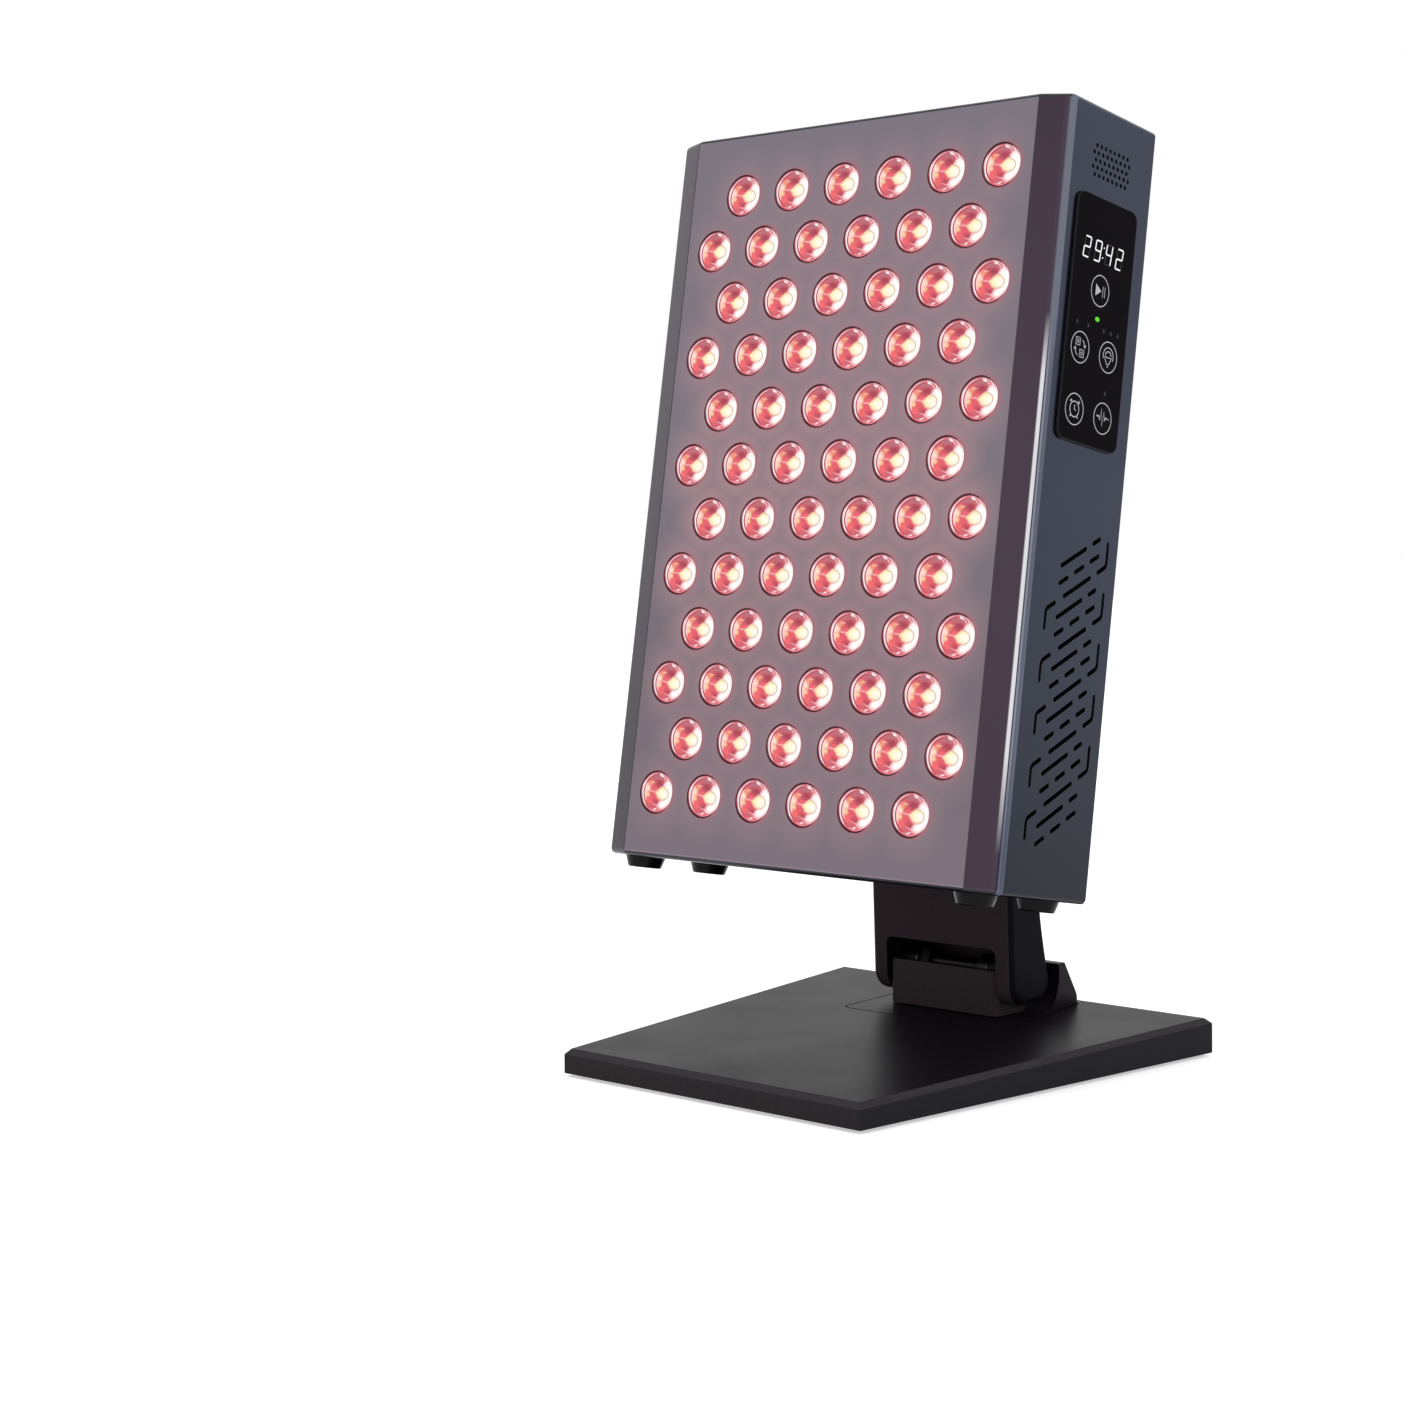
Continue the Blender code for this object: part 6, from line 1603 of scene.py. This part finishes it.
class LIGHTPANEL_OT_arm(bpy.types.Operator):
    """Models the cast arm with its ears, and its rear cover"""
    bl_idname = "lightpanel.arm"
    bl_label = "Arm"

    def execute(self, context):
        look = context.scene.light_stand
        arm = weld(cut(arm_body(look), *arm_cutters()))
        skin = moulded("arm_coat", look.arm_colour, 0.40, 0.0005, 0.000006, 0.02)
        # The arm's flanks are its paint darkened: painted shade.
        flank_shade = moulded("arm_flank_painted_shade", (0.0044, 0.0042, 0.0062), 0.40, 0.0005, 0.000006, 0.02)
        deliver(smooth(arm), ARM, "arm", (skin, flank_shade), ("arm_shell",))
        for face in arm.data.polygons:
            face.material_index = 1 if abs(face.normal.x) > 0.6 else 0
        low, high = span("arm_rear_cover", ARM)
        plate = block("arm_back_plate", low, high)
        round_edges(plate, lambda e: along(e, 1), ARM_PLATE_ROUND, 5)
        break_edges(plate, WIDE_BREAK, 3)
        back = moulded("arm_plate_plastic", (0.020, 0.017, 0.018), 0.5, MOULDED_GRAIN, 0.00001,
                       0.12)
        deliver(smooth(plate), ARM, "arm", (back,), ("arm_rear_cover",))
        return {"FINISHED"}


def keep_above_base(tool):
    """Cuts off the part of a tool that is below the base's sloping top."""
    rise = Vector((0, BASE_HIGH.y - BASE_LOW.y, BASE_HIGH.z - BASE_FRONT_HEIGHT)).normalized()
    edit_all(tool)
    bpy.ops.mesh.bisect(plane_co=(0, 0, base_top(0)), plane_no=rise.cross(RIGHT) * -1,
                        use_fill=True, clear_inner=True)
    let_go()
    return tool


def hinge_seat():
    """Seat with its cradle, the room for the arm in front and the slope behind."""
    seat = block("seat", SEAT_LOW, SEAT_HIGH)
    round_edges(seat, lambda e: along(e, 2), SEAT_ROUND, 8)
    hinge_y, hinge_z = BASE_HINGE.y, BASE_HINGE.z
    half = SEAT_HIGH.x + OVERRUN
    top = SEAT_HIGH.z
    hollow = bar("cradle", CRADLE_RADIUS, (-half, hinge_y, hinge_z - CRADLE_DROP),
                 (half, hinge_y, hinge_z - CRADLE_DROP), 96)
    keep_above_base(hollow)
    ahead, behind = SEAT_LOW.y - OVERRUN, hinge_y + CRADLE_RADIUS / 2
    front = block("front_room", (-half, ahead, base_top(ahead)), (half, behind, top + OVERRUN))
    shift(front, lambda v: v.co.y > hinge_y and v.co.z < hinge_z,
          (0, 0, base_top(behind) - base_top(ahead)))
    crest, foot = hinge_y + CRADLE_REACH, base_top(SEAT_HIGH.y)
    beyond = 2 * OVERRUN
    back = block("back_slope", (-half, crest, foot), (half, SEAT_HIGH.y + beyond, top + beyond))
    shift(back, lambda v: v.co.y < crest + NEAR and v.co.z < hinge_z, (0, 0, top - foot))
    drop = beyond * (top - foot) / (SEAT_HIGH.y - crest)
    shift(back, lambda v: v.co.y > crest + NEAR and v.co.z < hinge_z, (0, 0, -drop))
    cut(seat, front, hollow, back)
    round_edges(seat, lambda e: along(e, 0) and middle(e).z > top - SEAT_CREST_DEPTH,
                SEAT_CREST_ROUND, 5)
    return break_edges(seat, EDGE_BREAK, 2, 50)


def hinge_cover():
    """Open box round the hinge bracket, with notches for the shaft."""
    low, high = span("hinge_cover", WORLD)
    hinge_y, hinge_z = BASE_HINGE.y, BASE_HINGE.z
    cover = block("hinge_box", low, high)
    round_edges(cover, lambda e: along(e, 2), COVER_ROUND, 8)
    wall = Vector((COVER_WALL, COVER_WALL, 0))
    room = block("cover_room", low + wall - Vector((0, 0, OVERRUN)),
                 high - wall + Vector((0, 0, OVERRUN)))
    round_edges(room, lambda e: along(e, 2), COVER_ROUND - COVER_WALL, 8)
    notch = bar("shaft_notch", SHAFT_BORE, (low.x - OVERRUN, hinge_y, hinge_z),
                (high.x + OVERRUN, hinge_y, hinge_z), 32)
    mouth = block("notch_mouth", (low.x - OVERRUN, hinge_y - SHAFT_BORE, hinge_z),
                  (high.x + OVERRUN, hinge_y + SHAFT_BORE, high.z + OVERRUN))
    cut(cover, room, notch, mouth)
    return break_edges(cover, WIDE_BREAK, 3, 50)


class LIGHTPANEL_OT_hinge(bpy.types.Operator):
    """Models the hinge seat with its cradle and the cover round the hinge bracket"""
    bl_idname = "lightpanel.hinge"
    bl_label = "Base hinge"

    def execute(self, context):
        look = context.scene.light_stand
        seat = hinge_seat()
        # A painted highlight along the seat's low edge bevels, at the seam with the base.
        seam_highlight = moulded("seat_edge_painted_highlight", (0.055, 0.050, 0.056), 0.3, look.grain, 0.000004, 0.3)
        deliver(smooth(seat), WORLD, "base",
                (top_plastic("seat_plastic", look), seam_highlight), ("hinge_seat",))
        for face in seat.data.polygons:
            low_edge = face.center.z < base_top(face.center.y) + NEAR
            face.material_index = 1 if low_edge and 0.3 < face.normal.z < 0.93 else 0
        box_plastic = moulded("hinge_box_plastic", (0.0370, 0.0265, 0.0310), 0.42, look.grain,
                              0.000008, 0.08)
        deliver(smooth(hinge_cover()), WORLD, "base", (box_plastic,),
                ("hinge_cover",))
        return {"FINISHED"}


# Rear cover
GRILLE_SLOTS = 9
GRILLE_WIDTH = 0.0040
GRILLE_PITCH = 0.00833
GRILLE_REACH = 0.0375
GRILLE_MARGIN = 0.0020
REAR_ROUND = 0.0020
OPENING_ROUND = 0.0010
FAN_FRAMES = ("fan_frame_upper", "fan_frame_lower")
HEAD_SCREWS = ("head_screw_1", "head_screw_2", "head_screw_3", "head_screw_4")
SCREW_HOLE = 0.0022
INLET_OPENING = (0.0270, 0.0200)
SWITCH_OPENING = (0.0130, 0.0190)


def grille_cutters():
    """Round-ended cutters for the slots in front of both fans."""
    low, high = span("rear_cover", PANEL)
    tools = []
    for fan in FAN_FRAMES:
        heart = heart_of(fan, PANEL)
        for line in range(GRILLE_SLOTS):
            level = (2 * line - GRILLE_SLOTS + 1) / 2 * GRILLE_PITCH
            half = math.sqrt(GRILLE_REACH ** 2 - level ** 2) - GRILLE_MARGIN
            tool = block("grille_slot",
                         (heart.x - half, low.y - OVERRUN, heart.z + level - GRILLE_WIDTH / 2),
                         (heart.x + half, high.y + OVERRUN, heart.z + level + GRILLE_WIDTH / 2))
            tools.append(round_edges(tool, lambda e: along(e, 1), GRILLE_WIDTH * ROUND_END, 8))
    return joined("grille_cutters", tools)


def opening(name, node, size):
    """Cutter for the opening of a fitting in the rear cover."""
    low, high = span("rear_cover", PANEL)
    heart = heart_of(node, PANEL)
    wide, tall = size
    tool = block(name, (heart.x - wide / 2, low.y - OVERRUN, heart.z - tall / 2),
                 (heart.x + wide / 2, high.y + OVERRUN, heart.z + tall / 2))
    return round_edges(tool, lambda e: along(e, 1), OPENING_ROUND, 4)


def rear_sheet():
    """Back plate with the grilles, the fittings' openings and the screw holes."""
    low, high = span("rear_cover", PANEL)
    plate = block("rear_sheet", low, high)
    round_edges(plate, lambda e: along(e, 1), REAR_ROUND, 6)
    cutters = [grille_cutters(), opening("inlet_opening", "power_inlet", INLET_OPENING),
               opening("switch_opening", "switch_body", SWITCH_OPENING)]
    for screw in HEAD_SCREWS:
        heart = heart_of(screw, PANEL)
        cutters.append(bar("screw_hole", SCREW_HOLE, (heart.x, low.y - OVERRUN, heart.z),
                           (heart.x, high.y + OVERRUN, heart.z), 24))
    weld(cut(plate, *cutters))
    return break_edges(plate, EDGE_BREAK, 2, 50)


class LIGHTPANEL_OT_rear_cover(bpy.types.Operator):
    """Models the rear cover with its fan grilles and the openings for the fittings"""
    bl_idname = "lightpanel.rear_cover"
    bl_label = "Rear cover"

    def execute(self, context):
        look = context.scene.light_panel
        # The rear cover takes the walls' tone, which holds painted shade.
        coat = metal_paint("rear_paint", tuple(look.wall_shaded_colour), 0.30, 0.7)
        deliver(smooth(rear_sheet()), PANEL, "panel", (coat,), ("rear_cover",))
        return {"FINISHED"}


# Frame nodes whose shape is taken over: their finish, its colour, roughness and kind, and the
# width of their broken edges where a piece shows or can be turned into view
KEPT = (
    (("ballast_plate",), "ballast_metal", (0.30, 0.31, 0.33), 0.45, "metal", None),
    (("base_pad",), "pad_rubber", (0.012, 0.012, 0.013), 0.8, "rubber", 0.0003),
    # The hinge bracket, shaft, disc springs and lock nut are near black, darker than their metal:
    # painted shade of the hinge's inside.
    (("base_bracket",), "bracket_black_painted_shade", (0.012, 0.011, 0.013), 0.35, "metal", 0.0004),
    (("bracket_screw_left", "bracket_screw_right"), "screw_steel", (0.55, 0.55, 0.56), 0.30,
     "metal", 0.0003),
    (("base_shaft",), "shaft_steel_painted_shade", (0.030, 0.029, 0.032), 0.35, "metal", 0.0004),
    (("disc_spring_left", "disc_spring_right"), "spring_steel_painted_shade", (0.035, 0.033, 0.036), 0.30,
     "metal", 0.0002),
    (("lock_nut",), "lock_nut_steel_painted_shade", (0.040, 0.038, 0.040), 0.32, "metal", 0.0004),
    (("hinge_cap",), "cap_plastic", (0.020, 0.017, 0.018), 0.5, "plastic", 0.0004),
    (("head_bolt",), "bolt_steel", (0.50, 0.50, 0.52), 0.28, "metal", 0.0004),
    (("head_nut",), "nut_steel", (0.55, 0.54, 0.50), 0.32, "metal", 0.0004),
    (("head_washer_left", "head_washer_right"), "washer_bronze", (0.45, 0.40, 0.30), 0.45,
     "metal", 0.0002),
    (("head_bracket",), "head_bracket_coat", (0.030, 0.030, 0.032), 0.45, "paint", 0.0006),
    (HEAD_SCREWS, "screw_steel", (0.55, 0.55, 0.56), 0.30, "metal", 0.0004),
    (("backing_plate",), "plate_steel", (0.45, 0.45, 0.47), 0.40, "metal", 0.0003),
    (("spacer_lower_left", "spacer_lower_right", "spacer_upper_left", "spacer_upper_right"),
     "spacer_metal", (0.60, 0.45, 0.20), 0.30, "metal", None),
    (("heatsink",), "heatsink_metal", (0.62, 0.63, 0.64), 0.40, "metal", None),
    (FAN_FRAMES, "fan_frame_plastic", (0.020, 0.020, 0.021), 0.45, "plastic", 0.0003),
    (("fan_rotor_upper", "fan_rotor_lower"), "rotor_plastic", (0.026, 0.026, 0.027), 0.38,
     "plastic", None),
    (("power_supply",), "supply_metal", (0.55, 0.55, 0.56), 0.45, "metal", None),
    (("control_board", "display_module"), "board_lacquer_green", (0.02, 0.12, 0.05), 0.4,
     "plastic", None),
    (("speaker",), "speaker_case_plastic", (0.02, 0.02, 0.022), 0.6, "plastic", None),
    (("power_inlet",), "inlet_plastic", (0.018, 0.018, 0.019), 0.4, "plastic", 0.0004),
    (("switch_body",), "switch_plastic", (0.018, 0.018, 0.019), 0.35, "plastic", 0.0004),
    (("switch_rocker",), "rocker_plastic", (0.016, 0.016, 0.017), 0.3, "plastic", 0.0005),
)


def taken_over(node, width):
    """Copy of a frame node with its corners merged, its edges broken and its rounds smoothed."""
    source = NODES[node]
    twin = source.copy()
    twin.data = source.data.copy()
    twin.name = twin.data.name = node + "_finished"
    twin.parent = None
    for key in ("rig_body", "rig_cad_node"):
        del twin[key]
    bpy.context.scene.collection.objects.link(twin)
    twin.matrix_world = WORLD
    clean(twin, 1)
    break_edges(twin, width, 2, 40)
    return smooth(twin, 38)


class LIGHTPANEL_OT_kept(bpy.types.Operator):
    """Gives the frame nodes that keep their shape their finishes"""
    bl_idname = "lightpanel.kept"
    bl_label = "Inner pieces"

    def execute(self, context):
        for nodes, name, colour, roughness, kind, width in KEPT:
            if kind == "metal":
                skin = bare_metal(name, colour, roughness)
            elif kind == "rubber":
                skin = rubber(name, colour)
            elif kind == "paint":
                skin = metal_paint(name, colour, roughness, 0.7)
            else:
                skin = moulded(name, colour, roughness, MOULDED_GRAIN)
            for node in nodes:
                NODES[node].data.materials.clear()
                NODES[node].data.materials.append(skin)
                if width:
                    deliver(taken_over(node, width), WORLD, NODES[node]["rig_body"],
                            (skin,), (node,))
        return {"FINISHED"}


# Stage
CAMERA_PLACE = Vector((0.75413, -0.94464, 0.25206))
CAMERA_TURN = tuple(math.radians(a) for a in (88.31237, 0.43696, 43.04266))
CAMERA_LENS = 66.8165
LAMP_AIM = Vector((0, 0, 0.2))
CAMERA_SHIFT = (0.02453, -0.07270)


class LIGHTPANEL_OT_stage(bpy.types.Operator):
    """Sets up the floor, the soft lights, the surroundings and the camera"""
    bl_idname = "lightpanel.stage"
    bl_label = "Stage"

    def execute(self, context):
        look = context.scene.light_stage
        scene = context.scene
        scene.view_settings.view_transform = "Standard"
        floor = block("floor", (-6, -6, -0.002), (6, 6, 0))
        floor.data.materials.append(floor_finish(look))
        soft_lamp("key_lamp", (-0.7, -1.3, 3.4), 2.0, look.key_power)
        soft_lamp("fill_lamp", (1.9, -1.0, 2.8), 1.6, look.fill_power)
        surroundings(look)
        let_go()
        bpy.ops.object.camera_add(location=CAMERA_PLACE, rotation=CAMERA_TURN)
        camera = context.object
        camera.name = "photo_camera"
        camera.data.lens = CAMERA_LENS
        camera.data.sensor_width = 36
        camera.data.shift_x, camera.data.shift_y = CAMERA_SHIFT
        camera.data.dof.use_dof = False
        scene.camera = camera
        let_go()
        return {"FINISHED"}


def soft_lamp(name, place, size, power):
    """Large square lamp that faces the panel."""
    let_go()
    aim = LAMP_AIM - Vector(place)
    bpy.ops.object.light_add(type="AREA", location=place,
                             rotation=aim.to_track_quat("-Z", "Y").to_euler())
    lamp = bpy.context.object
    lamp.name = name
    lamp.data.shape = "SQUARE"
    lamp.data.size = size
    lamp.data.energy = power
    lamp.visible_glossy = False


def clear_rays(tree):
    """Amount of camera, glossy and transmitted rays, from 0 to 1."""
    path = tree.nodes.new("ShaderNodeLightPath")
    total = path.outputs["Is Camera Ray"]
    for name in ("Is Glossy Ray", "Is Transmission Ray"):
        add = tree.nodes.new("ShaderNodeMath")
        add.operation = "MAXIMUM"
        tree.links.new(total, add.inputs[0])
        tree.links.new(path.outputs[name], add.inputs[1])
        total = add.outputs[0]
    return total


def floor_finish(look):
    """Matt pale floor, white where it is seen in the light, that keeps the object's shadow."""
    made = Finish("floor_paper", look.floor_colour, 0.9)
    made.set("Emission Color", (1, 1, 1, 1))
    lift = made.math("MULTIPLY", clear_rays(made.tree), look.floor_lift)
    made.link(lift, made.shader.inputs["Emission Strength"])
    made.colour(made.mix(made.noise(0.4, 2), toned(look.floor_colour, 0.985),
                         look.floor_colour))
    return made.material


def surroundings(look):
    """Plain surroundings: white where seen, weaker where they light."""
    world = bpy.context.scene.world or bpy.data.worlds.new("surroundings")
    bpy.context.scene.world = world
    world.use_nodes = True
    tree = world.node_tree
    tree.nodes.clear()
    out = tree.nodes.new("ShaderNodeOutputWorld")
    blend = tree.nodes.new("ShaderNodeMixShader")
    tree.links.new(clear_rays(tree), blend.inputs[0])
    for socket, strength in zip(list(blend.inputs)[1:], (look.world_light, 1.0)):
        light = tree.nodes.new("ShaderNodeBackground")
        light.inputs["Color"].default_value = (1, 1, 1, 1)
        light.inputs["Strength"].default_value = strength
        tree.links.new(light.outputs[0], socket)
    tree.links.new(blend.outputs[0], out.inputs["Surface"])


class LIGHTPANEL_PT_sidebar(bpy.types.Panel):
    """Lists the pieces and their looks in the 3D view's sidebar"""
    bl_idname = "LIGHTPANEL_PT_sidebar"
    bl_label = "Light panel"
    bl_space_type = "VIEW_3D"
    bl_region_type = "UI"
    bl_category = "Light Panel"

    def draw(self, context):
        column = self.layout.column()
        for look in ("light_panel", "light_touch", "light_stand", "light_stage"):
            group = getattr(context.scene, look)
            for name in group.__annotations__:
                column.prop(group, name)
        for step in STEPS:
            column.operator(step.bl_idname)


LOOKS = {"light_panel": PanelLook, "light_touch": TouchLook, "light_stand": StandLook,
         "light_stage": StageLook}
STEPS = (LIGHTPANEL_OT_housing, LIGHTPANEL_OT_lenses, LIGHTPANEL_OT_touch_glass,
         LIGHTPANEL_OT_feet, LIGHTPANEL_OT_base, LIGHTPANEL_OT_arm, LIGHTPANEL_OT_hinge,
         LIGHTPANEL_OT_rear_cover, LIGHTPANEL_OT_kept, LIGHTPANEL_OT_stage)
CLASSES = (*LOOKS.values(), *STEPS, LIGHTPANEL_PT_sidebar)


def register():
    """Registers the classes and the looks on the scene."""
    for kind in CLASSES:
        bpy.utils.register_class(kind)
    for name, kind in LOOKS.items():
        setattr(bpy.types.Scene, name, PointerProperty(type=kind))


def unregister():
    """Takes the looks and the classes back."""
    for name in LOOKS:
        delattr(bpy.types.Scene, name)
    for kind in reversed(CLASSES):
        bpy.utils.unregister_class(kind)


def main():
    """Builds every piece in order."""
    register()
    bpy.ops.lightpanel.housing()
    bpy.ops.lightpanel.lenses()
    bpy.ops.lightpanel.touch_glass()
    bpy.ops.lightpanel.feet()
    bpy.ops.lightpanel.base()
    bpy.ops.lightpanel.arm()
    bpy.ops.lightpanel.hinge()
    bpy.ops.lightpanel.rear_cover()
    bpy.ops.lightpanel.kept()
    bpy.ops.lightpanel.stage()


if __name__ == "__main__":
    main()
